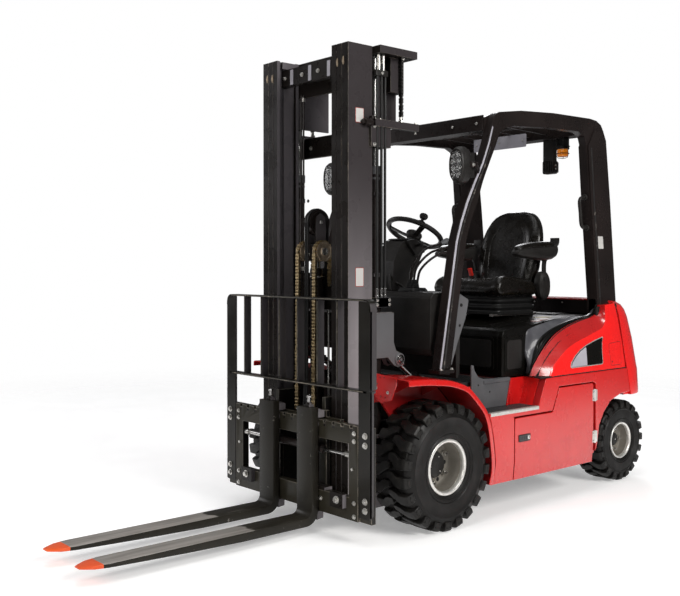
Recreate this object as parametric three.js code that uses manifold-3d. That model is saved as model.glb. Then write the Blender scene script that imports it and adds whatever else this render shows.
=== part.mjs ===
// Four-wheel electric counterbalance forklift truck with a three-stage mast.
// Millimetres. +Z up, forks point along -Y, +X is the truck's left side, floor at z = 0.
import * as THREE from "three";
import { mergeVertices } from "three/addons/utils/BufferGeometryUtils.js";
import Module from "manifold-3d";

const wasm = await Module();
wasm.setup();

// ---------------------------------------------------------------- driving dimensions
const WHEELBASE = 1540.5;
const FRONT_R = 298.5, FRONT_IN = 367, FRONT_OUT = 592, FRONT_RIM_R = 132;   // drive tyre
const REAR_R = 231.6, REAR_IN = 360, REAR_OUT = 533, REAR_RIM_R = 104;       // steer tyre
const KINGPIN_X = 345;
const AXLE_R = 70;                       // drive axle housing, also the mast's tilt trunnion
const BODY_X = 585;                      // outer face of the body sides
const SILL_Z = 165, STEP_Z = 515, SHOULDER_Z = 655, FLOOR_Z = 655;
const DOOR_T = 27, DOOR_HINGE = [586, 1183];
const HOOD_X = 500, HOOD_FRONT = 552, HOOD_REAR = 1388, HOOD_WALL = 12;
const GUARD_X0 = 446, GUARD_X1 = 494, GUARD_TOP = 2054;
const MAST_FRONT = -392.7, MAST_REAR = -241, MAST_TOP = 2257, MAST_FOOT = 100;
const OUTER_X0 = 279.6, OUTER_X1 = 321.6;
const MIDDLE_X0 = 241.6, MIDDLE_X1 = 274.6;
const INNER_X0 = 206.6, INNER_X1 = 236.6;
const CYL_X = 285, CYL_Y = -195, CYL_R = 33, LIFT_ROD_R = 16;
const FREE_Y = -306, FREE_R = 34, FREE_ROD_R = 19, FREE_TOP = 1222;
const SHEAVE_X = 63, SHEAVE_Y = -327, SHEAVE_Z = 1303, SHEAVE_R = 48;
const TILT_PIN = [-75, 787], TILT_ROOT = [400, 420], TILT_X = 290;
const BAR_FRONT = -463.2, BAR_REAR = -425, BAR_UPPER = [440, 525], BAR_LOWER = [100, 200], BAR_X = 540;
const FORK_X0 = 89.9, FORK_X1 = 202.9, FORK_T = 40, FORK_TOP = 76.9, FORK_HEEL = -508.4;
const FORK_SHANK_TOP = 578.7, FORK_TIP = -1645;
const BACKREST_X = 537, BACKREST_Y = -464.2, BACKREST_TOP = 1088, BACKREST_MID = 681;
const REAR_END = 1795;
const GAP = 0.4;                         // between pieces that rest on each other

// ---------------------------------------------------------------- solids
const solids = [];
function solid(geometry) {
  let g = geometry.index ? geometry.toNonIndexed() : geometry.clone();
  g = new THREE.BufferGeometry().setAttribute("position", g.getAttribute("position"));
  g = mergeVertices(g, 1e-3);
  const m = new wasm.Manifold(new wasm.Mesh({
    numProp: 3,
    vertProperties: new Float32Array(g.attributes.position.array),
    triVerts: new Uint32Array(g.index.array),
  }));
  if (m.volume() < 0) throw new Error("a solid is inside out");
  return m;
}
const join = (...list) => list.flat(9).reduce((a, b) => a.add(b));
const cut = (a, ...list) => list.flat(9).reduce((s, b) => s.subtract(b), a);
const meet = (a, b) => a.intersect(b);

function box(x0, x1, y0, y1, z0, z1) {
  const g = new THREE.BoxGeometry(Math.abs(x1 - x0), Math.abs(y1 - y0), Math.abs(z1 - z0));
  g.translate((x0 + x1) / 2, (y0 + y1) / 2, (z0 + z1) / 2);
  return solid(g);
}
// the same box on both sides of the truck's centre plane
const pair = (x0, x1, ...rest) => [box(x0, x1, ...rest), box(-x1, -x0, ...rest)];

function extrude(points, depth) {
  const area = THREE.ShapeUtils.area(points.map((p) => new THREE.Vector2(...p)));
  const list = area < 0 ? [...points].reverse() : points;
  const shape = new THREE.Shape(list.map((p) => new THREE.Vector2(...p)));
  return new THREE.ExtrudeGeometry(shape, { depth, bevelEnabled: false, steps: 1 });
}
// outline in (y, z), from x0 to x1
function sideways(points, x0, x1) {
  const g = extrude(points, Math.abs(x1 - x0));
  g.applyMatrix4(new THREE.Matrix4().set(0, 0, 1, Math.min(x0, x1), 1, 0, 0, 0, 0, 1, 0, 0, 0, 0, 0, 1));
  return solid(g);
}
// outline in (x, z), from y0 to y1
function lengthways(points, y0, y1) {
  const g = extrude(points, Math.abs(y1 - y0));
  g.applyMatrix4(new THREE.Matrix4().set(1, 0, 0, 0, 0, 0, -1, Math.max(y0, y1), 0, 1, 0, 0, 0, 0, 0, 1));
  return solid(g);
}
// outline in (x, y), from z0 to z1
function upright(points, z0, z1) {
  const g = extrude(points, Math.abs(z1 - z0));
  g.translate(0, 0, Math.min(z0, z1));
  return solid(g);
}
const mirrorPoints = (points) => points.map(([a, b]) => [-a, b]);

// cylinder from point a to point b
function rod(a, b, r, segments = 16, r2 = r) {
  segments = Math.min(segments, r > 90 ? 24 : r > 40 ? 16 : r > 20 ? 12 : 8);
  const A = new THREE.Vector3(...a), B = new THREE.Vector3(...b), d = B.clone().sub(A);
  const g = new THREE.CylinderGeometry(r2, r, d.length(), segments);
  g.applyQuaternion(new THREE.Quaternion().setFromUnitVectors(new THREE.Vector3(0, 1, 0), d.clone().normalize()));
  g.translate((A.x + B.x) / 2, (A.y + B.y) / 2, (A.z + B.z) / 2);
  return solid(g);
}
// turned section: points are (radius, distance along the axis), from the axis or closed on itself
function turned(points, axis, centre, segments = 40) {
  const build = (list) => {
    const g = new THREE.LatheGeometry(list.map((p) => new THREE.Vector2(...p)), segments);
    g.rotateY(Math.PI / segments);
    const from = new THREE.Vector3(0, 1, 0), to = new THREE.Vector3(...axis).normalize();
    g.applyQuaternion(new THREE.Quaternion().setFromUnitVectors(from, to));
    g.translate(...centre);
    return g;
  };
  try { return solid(build(points)); } catch (e) { return solid(build([...points].reverse())); }
}
// round bar along a smooth curve
function bent(points, r, steps = 24, sides = 10) {
  sides = Math.min(sides, 5);
  steps = Math.min(steps, 6);
  const curve = new THREE.CatmullRomCurve3(points.map((p) => new THREE.Vector3(...p)), false, "centripetal");
  const ring = new THREE.Shape(Array.from({ length: sides }, (_, i) =>
    new THREE.Vector2(r * Math.cos((2 * Math.PI * i) / sides), r * Math.sin((2 * Math.PI * i) / sides))));
  return solid(new THREE.ExtrudeGeometry(ring, { steps, extrudePath: curve, bevelEnabled: false }));
}
// skin through equal-length rings of (x, y, z) points, with flat ends
function loft(rings) {
  const n = rings[0].length, pos = [], idx = [];
  rings.forEach((ring) => ring.forEach((p) => pos.push(...p)));
  for (let k = 0; k < rings.length - 1; k++)
    for (let i = 0; i < n; i++) {
      const j = (i + 1) % n, a = k * n + i, b = k * n + j, c = (k + 1) * n + j, d = (k + 1) * n + i;
      idx.push(a, b, c, a, c, d);
    }
  const flat = rings[0].map((p) => new THREE.Vector2(p[0], p[1]));
  const faces = THREE.ShapeUtils.triangulateShape(flat, []);
  const last = (rings.length - 1) * n;
  for (const [a, b, c] of faces) idx.push(c, b, a, last + a, last + b, last + c);
  const build = (index) => {
    const g = new THREE.BufferGeometry().setAttribute("position", new THREE.Float32BufferAttribute(pos, 3));
    g.setIndex(index);
    return g;
  };
  try { return solid(build(idx)); } catch (e) {
    const flipped = [];
    for (let i = 0; i < idx.length; i += 3) flipped.push(idx[i], idx[i + 2], idx[i + 1]);
    return solid(build(flipped));
  }
}
const flip = (m) => m.mirror([1, 0, 0]);

// ---------------------------------------------------------------- materials
const finish = (color, roughness, metalness) => new THREE.MeshStandardMaterial({ color, roughness, metalness });
const looks = {
  red: [0xc8151b, 0.32, 0.1], black: [0x17171a, 0.45, 0.2], frame: [0x1d1d20, 0.5, 0.3],
  grey: [0x5b5d60, 0.5, 0.4], chrome: [0xd8d8dc, 0.12, 1], tyre: [0x141416, 0.85, 0],
  rim: [0x8d8a82, 0.4, 0.6], iron: [0x2b2b2e, 0.6, 0.6], plastic: [0x1b1b1d, 0.6, 0],
  vinyl: [0x121214, 0.55, 0], fork: [0x26262a, 0.5, 0.5], amber: [0xd2691e, 0.3, 0],
  lamp: [0xe8e8ee, 0.15, 0.2], mat: [0x202022, 0.9, 0],
};

const group = new THREE.Group();
function add(name, body, look) {
  const mesh = body.getMesh();
  const g = new THREE.BufferGeometry();
  const n = mesh.numProp, count = mesh.numVert, v = new Float32Array(count * 3);
  for (let i = 0; i < count; i++) v.set(mesh.vertProperties.subarray(i * n, i * n + 3), i * 3);
  g.setAttribute("position", new THREE.BufferAttribute(v, 3));
  g.setIndex(new THREE.BufferAttribute(new Uint32Array(mesh.triVerts), 1));
  g.computeVertexNormals();
  const m = new THREE.Mesh(g, finish(...looks[look]));
  m.name = name;
  group.add(m);
}

// ---------------------------------------------------------------- wheels
// The drive wheel: solid tyre on a dished rim, with the planetary hub in its middle.
const WZ = FRONT_R;
// a tyre is a many-sided ring that stands on one of its flats
const TYRE_SIDES = 32, FLAT = 1 / Math.cos(Math.PI / TYRE_SIDES);
const frontTyre = turned([
  [FRONT_RIM_R + 2, FRONT_IN + 12], [FRONT_R - 95, FRONT_IN], [FRONT_R - 30, FRONT_IN + 6],
  [FRONT_R * FLAT, FRONT_IN + 36], [FRONT_R * FLAT, FRONT_OUT - 36], [FRONT_R - 30, FRONT_OUT - 6],
  [FRONT_R - 95, FRONT_OUT], [FRONT_RIM_R + 2, FRONT_OUT - 13], [FRONT_RIM_R + 2, FRONT_IN + 12],
], [1, 0, 0], [0, 0, WZ], TYRE_SIDES);
const frontRim = turned([
  [0, 505], [62, 505], [62, 476], [112, 474], [122, 579], [FRONT_RIM_R, 579],
  [FRONT_RIM_R, 380], [122, 380], [118, 462], [95, 462], [95, 362], [0, 362],
], [1, 0, 0], [0, 0, WZ], 24);
const rearTyre = turned([
  [REAR_RIM_R + 2, REAR_IN + 10], [REAR_R - 72, REAR_IN], [REAR_R - 24, REAR_IN + 5],
  [REAR_R * FLAT, REAR_IN + 28], [REAR_R * FLAT, REAR_OUT - 28], [REAR_R - 24, REAR_OUT - 5],
  [REAR_R - 72, REAR_OUT], [REAR_RIM_R + 2, REAR_OUT - 10], [REAR_RIM_R + 2, REAR_IN + 10],
], [1, 0, 0], [0, WHEELBASE, REAR_R], TYRE_SIDES);
// hollow on the inner side, so that the knuckle turns inside it
const rearRim = turned([
  [0, 486], [40, 486], [40, 466], [82, 462], [95, 526], [REAR_RIM_R, 526],
  [REAR_RIM_R, 370], [98, 370], [97, 446], [0, 446],
], [1, 0, 0], [0, WHEELBASE, REAR_R], 24);
add("front_tyre_left", frontTyre, "tyre");
add("front_rim_left", frontRim, "rim");
add("front_tyre_right", flip(frontTyre), "tyre");
add("front_rim_right", flip(frontRim), "rim");
add("rear_tyre_left", rearTyre, "tyre");
add("rear_rim_left", rearRim, "rim");
add("rear_tyre_right", flip(rearTyre), "tyre");
add("rear_rim_right", flip(rearRim), "rim");

// ---------------------------------------------------------------- axles
const driveAxle = join(
  rod([-352, 0, WZ], [352, 0, WZ], AXLE_R, 32),
  rod([343, 0, WZ], [356, 0, WZ], 112, 32), rod([-356, 0, WZ], [-343, 0, WZ], 112, 32),
  rod([-95, 0, WZ], [95, 0, WZ], 118, 32),
  box(-150, 90, 40, 235, 215, 372),
  rod([-30, 215, 300], [-30, 420, 330], 82, 28),
);
add("drive_axle", driveAxle, "iron");

const SY = WHEELBASE, SZ = REAR_R;
const beam = upright([
  [-372, SY - 24], [-315, SY - 30], [-262, SY - 30], [-212, SY - 50], [212, SY - 50], [262, SY - 30], [315, SY - 30], [372, SY - 24],
  [372, SY + 24], [315, SY + 30], [262, SY + 30], [212, SY + 50], [-212, SY + 50], [-262, SY + 30], [-315, SY + 30], [-372, SY + 24],
], SZ - 71, SZ + 71);
const knuckleRoom = pair(304, 400, SY - 60, SY + 60, SZ - 54, SZ + 54);
const steerAxle = join(
  cut(beam, knuckleRoom, box(-212, 212, SY - 80, SY + 80, SZ + 50, SZ + 90), box(-212, 212, SY - 80, SY + 80, SZ - 90, SZ - 50)),
  rod([0, SY - 105, SZ], [0, SY + 105, SZ], 45, 24),
  box(-70, 70, SY - 88, SY - 62, SZ - 45, SZ + 130), box(-70, 70, SY + 62, SY + 88, SZ - 45, SZ + 130),
);
add("steer_axle", steerAxle, "iron");

const knuckle = join(
  rod([KINGPIN_X, SY, SZ - 49], [KINGPIN_X, SY, SZ + 49], 27, 24),
  rod([KINGPIN_X, SY, SZ], [441, SY, SZ], 33, 24),
  box(KINGPIN_X - 10, KINGPIN_X + 45, SY - 27, SY + 27, SZ - 40, SZ + 40),
);
add("knuckle_left", knuckle, "iron");
add("knuckle_right", flip(knuckle), "iron");

// ---------------------------------------------------------------- chassis
// fender: the sheet's upper line from the front over the wheel to the sill
const fenderLine = [
  [-262, 724], [-163, 721], [-60, 712], [40, 697], [147, 660], [195, 622], [240, 580], [280, 535],
  [306, 480], [325, 400], [336, 330], [341, 278], [336, 220], [318, SILL_Z],
];
const fenderUnder = [
  [292, SILL_Z], [310, 222], [315, 278], [310, 330], [299, 396], [280, 470], [256, 522], [218, 564], [176, 602],
  [132, 638], [34, 672], [-62, 687], [-163, 696], [-262, 700],
];
// with the plate that closes it in front, bolted to the wall beside the wheel
const fender = join(
  sideways([...fenderLine, ...fenderUnder], 356 + GAP, BODY_X),
  lengthways([[356 + GAP, 740], [500, 728], [500, 690], [470, 620], [400, 600], [356 + GAP, 638]], -262, -244),
);
add("front_fender_left", fender, "red");
add("front_fender_right", flip(fender), "red");
// wall between the wheel and the inside of the frame
const wellWall = [sideways([[-205, 712], [147, 655], [280, 530], [300, 500], [300, 180], [262, 180], [262, 400], [150, 430], [-60, 430], [-150, 520], [-205, 590]], 341, 356),
  sideways([[-205, 712], [147, 655], [280, 530], [300, 500], [300, 180], [262, 180], [262, 400], [150, 430], [-60, 430], [-150, 520], [-205, 590]], -356, -341)];
const frontPlateLink = pair(341, 356, -262, -195, 600, 722);
// outer skin with the door's opening cut out
const skin = [
  [291, STEP_Z], [681, STEP_Z], [745, SHOULDER_Z], [1505, SHOULDER_Z], [1538, 520], [1512, 519], [1432, 512], [1341, 484],
  [1273, 427], [1229, 360], [1206, 241], [1170, SILL_Z], [319, SILL_Z], [337, 220], [342, 278], [337, 330], [326, 400], [307, 480],
];
const doorHole = [[484, 100], [484, 482], [800, 482], [858, 603], [1172, 603], [1196, 590], [1196, 100]];
const side = cut(
  sideways(skin, 543, BODY_X), sideways(doorHole, -600, 600), rod([KINGPIN_X, WHEELBASE, 0], [KINGPIN_X, WHEELBASE, 480], 322, 40),
);
add("body_side_left", side, "red");
add("body_side_right", flip(side), "red");
// longitudinal frame behind the doors, and the cross members
const frameSide = [
  [345, 175], [1190, 175], [1190, 655], [745, 655], [681, 515], [345, 515],
];
const FRAME_X = 543 - GAP;
const sideFrames = [sideways(frameSide, 500, FRAME_X), sideways(frameSide, -FRAME_X, -500)];
// step wells: the frame is narrower below the operator's floor
const stepRiser = pair(440, 456, 312, 690, 470, 636);
const stepTread = pair(440, FRAME_X, 312, 690, 480, 515);
const floorPan = box(-500, 500, 470, 1190, 175, 197);
const frontCross = box(-345, 345, 262, 300, 180, 500);
const seatCross = [box(-456, 456, 548, 566, 175, 654), box(-500, 500, 548, 566, 175, 490)];
const footRails = [...pair(341, 456, 262, 552, 600, 636)];
const rearCross = box(-FRAME_X, FRAME_X, 1204, 1240, 200, 654);
const rearTop = box(-FRAME_X, FRAME_X, 1190, 1436, 520, 654);
const innerWallRear = pair(500, FRAME_X, 1185, 1436, 480, 654);
const spine = box(-108, 108, 1200, 1436, 330, 560);
const towers = pair(430, 512, 1300, 1424, 640, 872);
const axleHangers = pair(160, 200, -68, 300, 180, 470);
const hangerLink = box(-345, 345, 225, 300, 430, 500);
const tiltLugs = [...pair(240, 254, 352, 455, 380, 470), ...pair(326, 341, 352, 455, 380, 470)];
const tiltCross = box(-345, 345, 455, 475, 180, 480);
let chassis = join(
  wellWall, frontPlateLink, sideFrames, stepRiser, stepTread, floorPan, frontCross, seatCross,
  footRails, rearCross, rearTop, innerWallRear, spine, towers, axleHangers, hangerLink, tiltLugs, tiltCross,
  pair(300, 345, 300, 475, 180, 210), pair(341, 500, 345, 475, 180, 210),
);
// room for the steered wheels, the tilt cylinders and the axle housing
chassis = cut(
  chassis,
  rod([KINGPIN_X, SY, 0], [KINGPIN_X, SY, 480], 322, 40), rod([-KINGPIN_X, SY, 0], [-KINGPIN_X, SY, 480], 322, 40),
  driveAxleRoom(),
  tiltRoom(1), tiltRoom(-1),
);
function driveAxleRoom() {
  return join(
    rod([-338, 0, WZ], [338, 0, WZ], AXLE_R + GAP, 32), rod([-95 - 1, 0, WZ], [96, 0, WZ], 119, 32),
    box(-152, 92, 38, 237, 213, 374), rod([-30, 210, 299], [-30, 424, 331], 84, 28),
  );
}
function tiltRoom(side) {
  const a = [side * TILT_X, TILT_ROOT[0], TILT_ROOT[1]], b = [side * TILT_X, TILT_PIN[0], TILT_PIN[1]];
  return join(
    sideways([[430, 372], [430, 452], [330, 560], [180, 720], [60, 820], [-120, 900], [-160, 700], [60, 600], [200, 480], [330, 380]],
      side > 0 ? 254.4 : -325.6, side > 0 ? 325.6 : -254.4),
    rod([side * 262, a[1], a[2]], [side * 320, a[1], a[2]], 50, 20),
  );
}
add("chassis", chassis, "red");

add("floor_plate", box(-438, 438, 240, 544, 637, FLOOR_Z), "mat");
add("battery_pack", box(-420, 420, 575, 1180, 200, 858), "plastic");

// doors over the battery compartment, with their hinge knuckles
function door(side) {
  const outline = [
    [489, 165], [489, 220], [519, 476], [803, 476], [863, 597], [1140, 597], [1171, 590], [1171, 180], [1160, 165],
  ];
  const x0 = BODY_X - DOOR_T, [hx, hy] = DOOR_HINGE;
  const panel = sideways(outline, x0, BODY_X);
  const hinges = [[269, 337], [496, 562]].map(([z0, z1]) =>
    join(rod([hx, hy, z0], [hx, hy, z1], 6, 12), box(hx - 10, hx - 1, hy - 18, hy + 1, z0 + 2, z1 - 2)));
  const d = join(panel, hinges);
  return side > 0 ? d : flip(d);
}
add("door_left", door(1), "red");
add("door_right", door(-1), "red");

// ---------------------------------------------------------------- rear body
const arc = [[712, 661], [722, 690], [778, 762], [845, 832], [925, 888], [1060, 930], [1200, 955], [1262, 984], [1272, 1022]];
const coverOutline = [...arc, [1424, 1028], [1436, 1000], [1502, 661]];
let cover = join(
  sideways(coverOutline, 522, 562),
  sideways([[712, 661], [722, 690], [790, 770], [870, 800], [1320, 850], [1470, 830], [1502, 661]], 540, 584),
);
cover = cut(
  cover,
  sideways([[1326, 676], [1326, 814], [1460, 814], [1460, 676]], 572, 600),   // pocket of the charging flap
);
add("side_cover_left", cover, "red");
const coverR = join(
  sideways(coverOutline, 522, 562),
  sideways([[712, 661], [722, 690], [790, 770], [870, 800], [1320, 850], [1470, 830], [1502, 661]], 540, 584),
);
add("side_cover_right", flip(coverR), "red");
add("charge_flap", join(
  box(575, 584, 1330, 1452, 681, 809),
  rod([582, 1452, 690], [582, 1452, 800], 4, 10),
), "red");

const ringAt = (z, list) => {
  const left = list.map(([x, y]) => [x, y, z]);
  const right = [...list].reverse().map(([x, y]) => [-x, y, z]).filter((p) => p[0] !== 0);
  return [...left, ...right].map((p) => p);
};
let weight = loft([
  ringAt(521, [[585, 1500], [584, 1560], [568, 1640], [528, 1706], [448, 1758], [310, 1786], [0, REAR_END]]),
  ringAt(640, [[585, 1500], [584, 1550], [566, 1632], [524, 1698], [444, 1748], [308, 1778], [0, 1788]]),
  ringAt(940, [[566, 1450], [564, 1490], [548, 1556], [506, 1618], [436, 1664], [304, 1694], [0, 1706]]),
  ringAt(1022, [[556, 1432], [552, 1466], [532, 1522], [490, 1580], [420, 1622], [296, 1652], [0, 1664]]),
  ringAt(1046, [[470, 1440], [466, 1470], [446, 1516], [410, 1556], [350, 1590], [260, 1614], [0, 1626]]),
]);
weight = join(
  weight,
  cut(lengthways([[-560, 1000], [-560, 521], [560, 521], [560, 1000], [540, 1030], [-540, 1030]], 1440, 1560), 
    box(-600, 600, 1400, 1600, 1031, 1100)),
  box(-108, 108, 1446, 1440 + 340, 330, 560),
  box(-90, 90, 1700, 1780, 225, 400),
);
weight = cut(
  weight,
  sideways([[1300, 1100], [1446, 1100], [1446, 1000], [1512, 655], [1545, 521], [1560, 400], [1300, 400]], 515, 600),
  sideways([[1300, 1100], [1446, 1100], [1446, 1000], [1512, 655], [1545, 521], [1560, 400], [1300, 400]], -600, -515),
  box(-600, 600, 1300, 1440.5, 300, 1100),
  ...pair(425, 515, 1300, 1540, 866, 1100),                   // pockets for the guard's rear posts
  rod([KINGPIN_X, SY, 0], [KINGPIN_X, SY, 500], 320, 40), rod([-KINGPIN_X, SY, 0], [-KINGPIN_X, SY, 500], 320, 40),
  box(-72, 72, SY - 90, SY - 60, 100, SZ + 131), box(-72, 72, SY + 60, SY + 90, 100, SZ + 131),
  box(-120, 120, SY - 110, SY + 110, 100, SZ + 100),
  box(-30, 30, 1720, 1800, 290, 330),                          // towing jaw
);
add("counterweight", weight, "red");

// ---------------------------------------------------------------- operator's place
// hood over the battery: a lid open below, hinged at its rear edge
const hoodSide = [
  [HOOD_FRONT, 661], [HOOD_FRONT, 878], [HOOD_FRONT + 26, 905], [760, 916], [860, 930], [1000, 946], [1280, 955], [HOOD_REAR, 955],
  [HOOD_REAR, 890], [1300, 880], [1190, 661],
];
const hoodInside = [
  [HOOD_FRONT + HOOD_WALL, 600], [HOOD_FRONT + HOOD_WALL, 870], [760, 898], [1000, 930], [1280, 938], [1410, 938], [1410, 600],
];
let hood = join(
  sideways(hoodSide, -452, 452),
  // flank that follows the side cover's arc
  ...[1, -1].map((s) => {
    const a = sideways([[700, 661], [712, 694], [764, 768], [830, 838], [912, 895], [1040, 932], [1180, 951], [1180, 955], [1000, 947], [860, 931], [760, 917], [690, 905], [640, 880], [640, 661]], 440, 516);
    return s > 0 ? a : flip(a);
  }),
);
hood = cut(hood, sideways(hoodInside, -428, 428));
hood = cut(hood, ...pair(424, 600, 1236, 1420, 600, 1000));
hood = cut(hood, sideways([[1190, 600], [1410, 600], [1410, 938], [1240, 936], [1186, 900], [1186, 661]], -600, 600));
add("hood", hood, "black");

const seatBase = join(
  box(-175, 175, 842, 1190, 957, 978), box(-160, 160, 860, 1176, 975, 1010), box(-185, 185, 840, 1200, 1008, 1062),
);
add("seat_base", seatBase, "plastic");
const cushion = join(
  sideways([[800, 1080], [792, 1110], [812, 1150], [870, 1165], [1090, 1152], [1130, 1120], [1130, 1064], [830, 1064]], -215, 215),
  ...pair(170, 240, 850, 1130, 1064, 1172),
);
add("seat_cushion", cushion, "vinyl");
const back = join(
  sideways([[1134, 1100], [1150, 1180], [1190, 1380], [1216, 1500], [1240, 1548], [1275, 1555], [1290, 1520], [1262, 1380], [1226, 1180], [1210, 1064], [1134, 1064]], -210, 210),
  ...[1, -1].map((s) => { const a = sideways([[1134, 1110], [1136, 1180], [1168, 1400], [1200, 1470], [1250, 1470], [1225, 1180], [1205, 1110]], 168, 240); return s > 0 ? a : flip(a); }),
);
add("seat_back", back, "vinyl");
add("armrest", join(
  sideways([[860, 1290], [870, 1330], [1140, 1362], [1230, 1350], [1236, 1310], [1140, 1300], [900, 1272]], 248, 318),
  box(243, 268, 1150, 1215, 1180, 1312),
), "vinyl");

// dash and steering
const cowl = join(
  sideways([[60, 800], [48, 830], [52, 1082], [80, 1104], [200, 1104], [262, 1090], [268, 1060], [262, 700], [236, 661], [236, 800]], -420, 420),
  ...pair(356, 420, 60, 262, 762, 820),
);
add("dash_cowl", cut(cowl, box(-240, 240, 30, 240, 600, 905)), "plastic");
const COL = { c: [0, 380, 1410], u: [0, 0.49, 0.8717] };
const column = join(
  sideways([[157, 1104.5], [150, 1180], [156, 1256], [196, 1330], [232, 1368], [332, 1340], [372, 1305], [300, 1180], [272, 1104.5]], -68, 68),
  sideways([[232, 1368], [298, 1372], [372, 1340], [372, 1305], [300, 1290]], -86, 86),
  rod([0, 292, 1252], [0, 361, 1375], 24, 20),
);
add("steering_column", column, "plastic");
const wheelAxis = new THREE.Vector3(...COL.u).normalize();
function onWheel(x, v, w) { // x across, v up the wheel's plane, w along its axis
  const up = new THREE.Vector3(0, wheelAxis.z, -wheelAxis.y);
  return [x, COL.c[1] + up.y * v + wheelAxis.y * w, COL.c[2] + up.z * v + wheelAxis.z * w];
}
const ringPoints = [];
for (let i = 0; i < 6; i++) { const a = (2 * Math.PI * i) / 6; ringPoints.push([148 + 14 * Math.cos(a), 14 * Math.sin(a)]); }
ringPoints.push(ringPoints[0]);
const steeringWheel = join(
  turned(ringPoints, COL.u, COL.c, 20),
  rod(onWheel(0, 0, -34), onWheel(0, 0, 4), 34, 20),
  ...[0, 120, 240].map((d) => {
    const a = (d * Math.PI) / 180;
    return rod(onWheel(0, 0, -14), onWheel(144 * Math.sin(a), -144 * Math.cos(a), 0), 11, 10);
  }),
  rod(onWheel(112, -84, 0), onWheel(112, -84, 48), 7, 10), rod(onWheel(112, -84, 30), onWheel(112, -84, 62), 21, 14),
);
add("steering_wheel", steeringWheel, "plastic");
const levers = join(
  box(150, 262, 96, 206, 1104.5, 1124), box(165, 247, 110, 192, 1120, 1150),
  bent([[182, 150, 1140], [186, 168, 1230], [196, 240, 1312], [206, 372, 1352]], 7, 14, 8),
  bent([[206, 150, 1140], [210, 172, 1222], [222, 262, 1300], [236, 392, 1330]], 7, 14, 8),
  bent([[230, 150, 1140], [234, 176, 1212], [248, 284, 1288], [266, 412, 1308]], 7, 14, 8),
  rod([205, 366, 1350], [208, 408, 1362], 17, 12), rod([235, 386, 1329], [239, 428, 1340], 17, 12), rod([265, 406, 1307], [270, 448, 1317], 17, 12),
);
add("control_levers", levers, "plastic");

// ---------------------------------------------------------------- overhead guard
const guardOuter = [
  [27, 722.5], [147, 1360], [180, 1455], [223, 1555], [280, 1655], [338, 1745], [385, 1850], [415, 1935], [440, 1985], [470, 2006], [652, 2032],
  [928, 2049], [1268, GUARD_TOP], [1330, 2048], [1375, 2028], [1400, 1995], [1412, 1940], [1456, 1600], [1516, 1046], [1530, 874],
  [1330, 874], [1330, 1046], [1265, 1600], [1232, 1900], [1212, 1950], [1160, 1972], [900, 1968], [600, 1948],
  [520, 1930], [480, 1900], [450, 1840], [399, 1745], [350, 1650], [312, 1555], [262, 1455], [227, 1360], [110, 712],
];
let sideFrame = sideways(guardOuter, GUARD_X0, GUARD_X1);
sideFrame = join(sideFrame, sideways([[1272, 1500], [1232, 1900], [1320, 2040], [1375, 2028], [1412, 1940], [1530, 874], [1330, 874]], 434, 504));
let guard = join(
  sideFrame, flip(sideFrame),
  sideways([[392, 1912], [400, 1975], [470, 2002], [480, 1925], [440, 1905]], -450, 450),
  sideways([[1290, 1975], [1290, 2040], [1375, 2020], [1392, 1975]], -450, 450),
  ...[-340, -204, -68, 68, 204, 340].map((x) => sideways(
    [[430, 1965], [440, 1995], [652, 2026], [928, 2043], [1268, 2048], [1340, 2030], [1330, 1990], [900, 2002], [600, 1985]], x - 7, x + 7)),
  ...pair(430, 510, 20, 130, 722.5, 740),
);
// the posts stand in the pockets of the rear body, on the frame's towers
guard = cut(guard, box(-600, 600, 1300, 1429, 860, 874));
add("overhead_guard", guard, "frame");

const lampSolid = (s) => {
  const ring = (w, h, y, n = 16) => Array.from({ length: n }, (_, i) => {
    const a = (2 * Math.PI * i) / n;
    return [s * 470 + w * Math.cos(a), y, 1722 + h * Math.sin(a)];
  });
  const g = loftRings([ring(40, 74, 176), ring(52, 90, 188), ring(54, 92, 222), ring(34, 66, 250)]);
  return join(g, box(s * 470 - 16, s * 470 + 16, 240, 316, 1712, 1744));
};
function loftRings(rings) {
  const n = rings[0].length, pos = [], idx = [];
  rings.forEach((r) => r.forEach((p) => pos.push(...p)));
  for (let k = 0; k < rings.length - 1; k++)
    for (let i = 0; i < n; i++) {
      const j = (i + 1) % n, a = k * n + i, b = k * n + j, c = (k + 1) * n + j, d = (k + 1) * n + i;
      idx.push(a, b, c, a, c, d);
    }
  for (const [k, turn] of [[0, 1], [rings.length - 1, 0]]) {
    const base = pos.length / 3, m = [0, 1, 2].map((c) => rings[k].reduce((t, p) => t + p[c], 0) / n);
    pos.push(...m);
    for (let i = 0; i < n; i++) {
      const a = k * n + i, b = k * n + ((i + 1) % n);
      if (turn) idx.push(base, b, a); else idx.push(base, a, b);
    }
  }
  const build = (index) => new THREE.BufferGeometry().setAttribute("position", new THREE.Float32BufferAttribute(pos, 3)).setIndex(index);
  try { return solid(build(idx)); } catch (e) {
    const flipped = [];
    for (let i = 0; i < idx.length; i += 3) flipped.push(idx[i], idx[i + 2], idx[i + 1]);
    return solid(build(flipped));
  }
}
add("front_light_left", lampSolid(1), "lamp");
add("front_light_right", lampSolid(-1), "lamp");
add("rear_work_light", join(
  box(130, 190, 1342, 1376, 1830, 1974.5), box(120, 200, 1336, 1400, 1776, 1856),
), "iron");
add("beacon", join(
  box(232, 292, 1310, 1370, 1925, 1974.5), rod([262, 1340, 1872], [262, 1340, 1926], 30, 20, 36),
), "amber");

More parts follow.
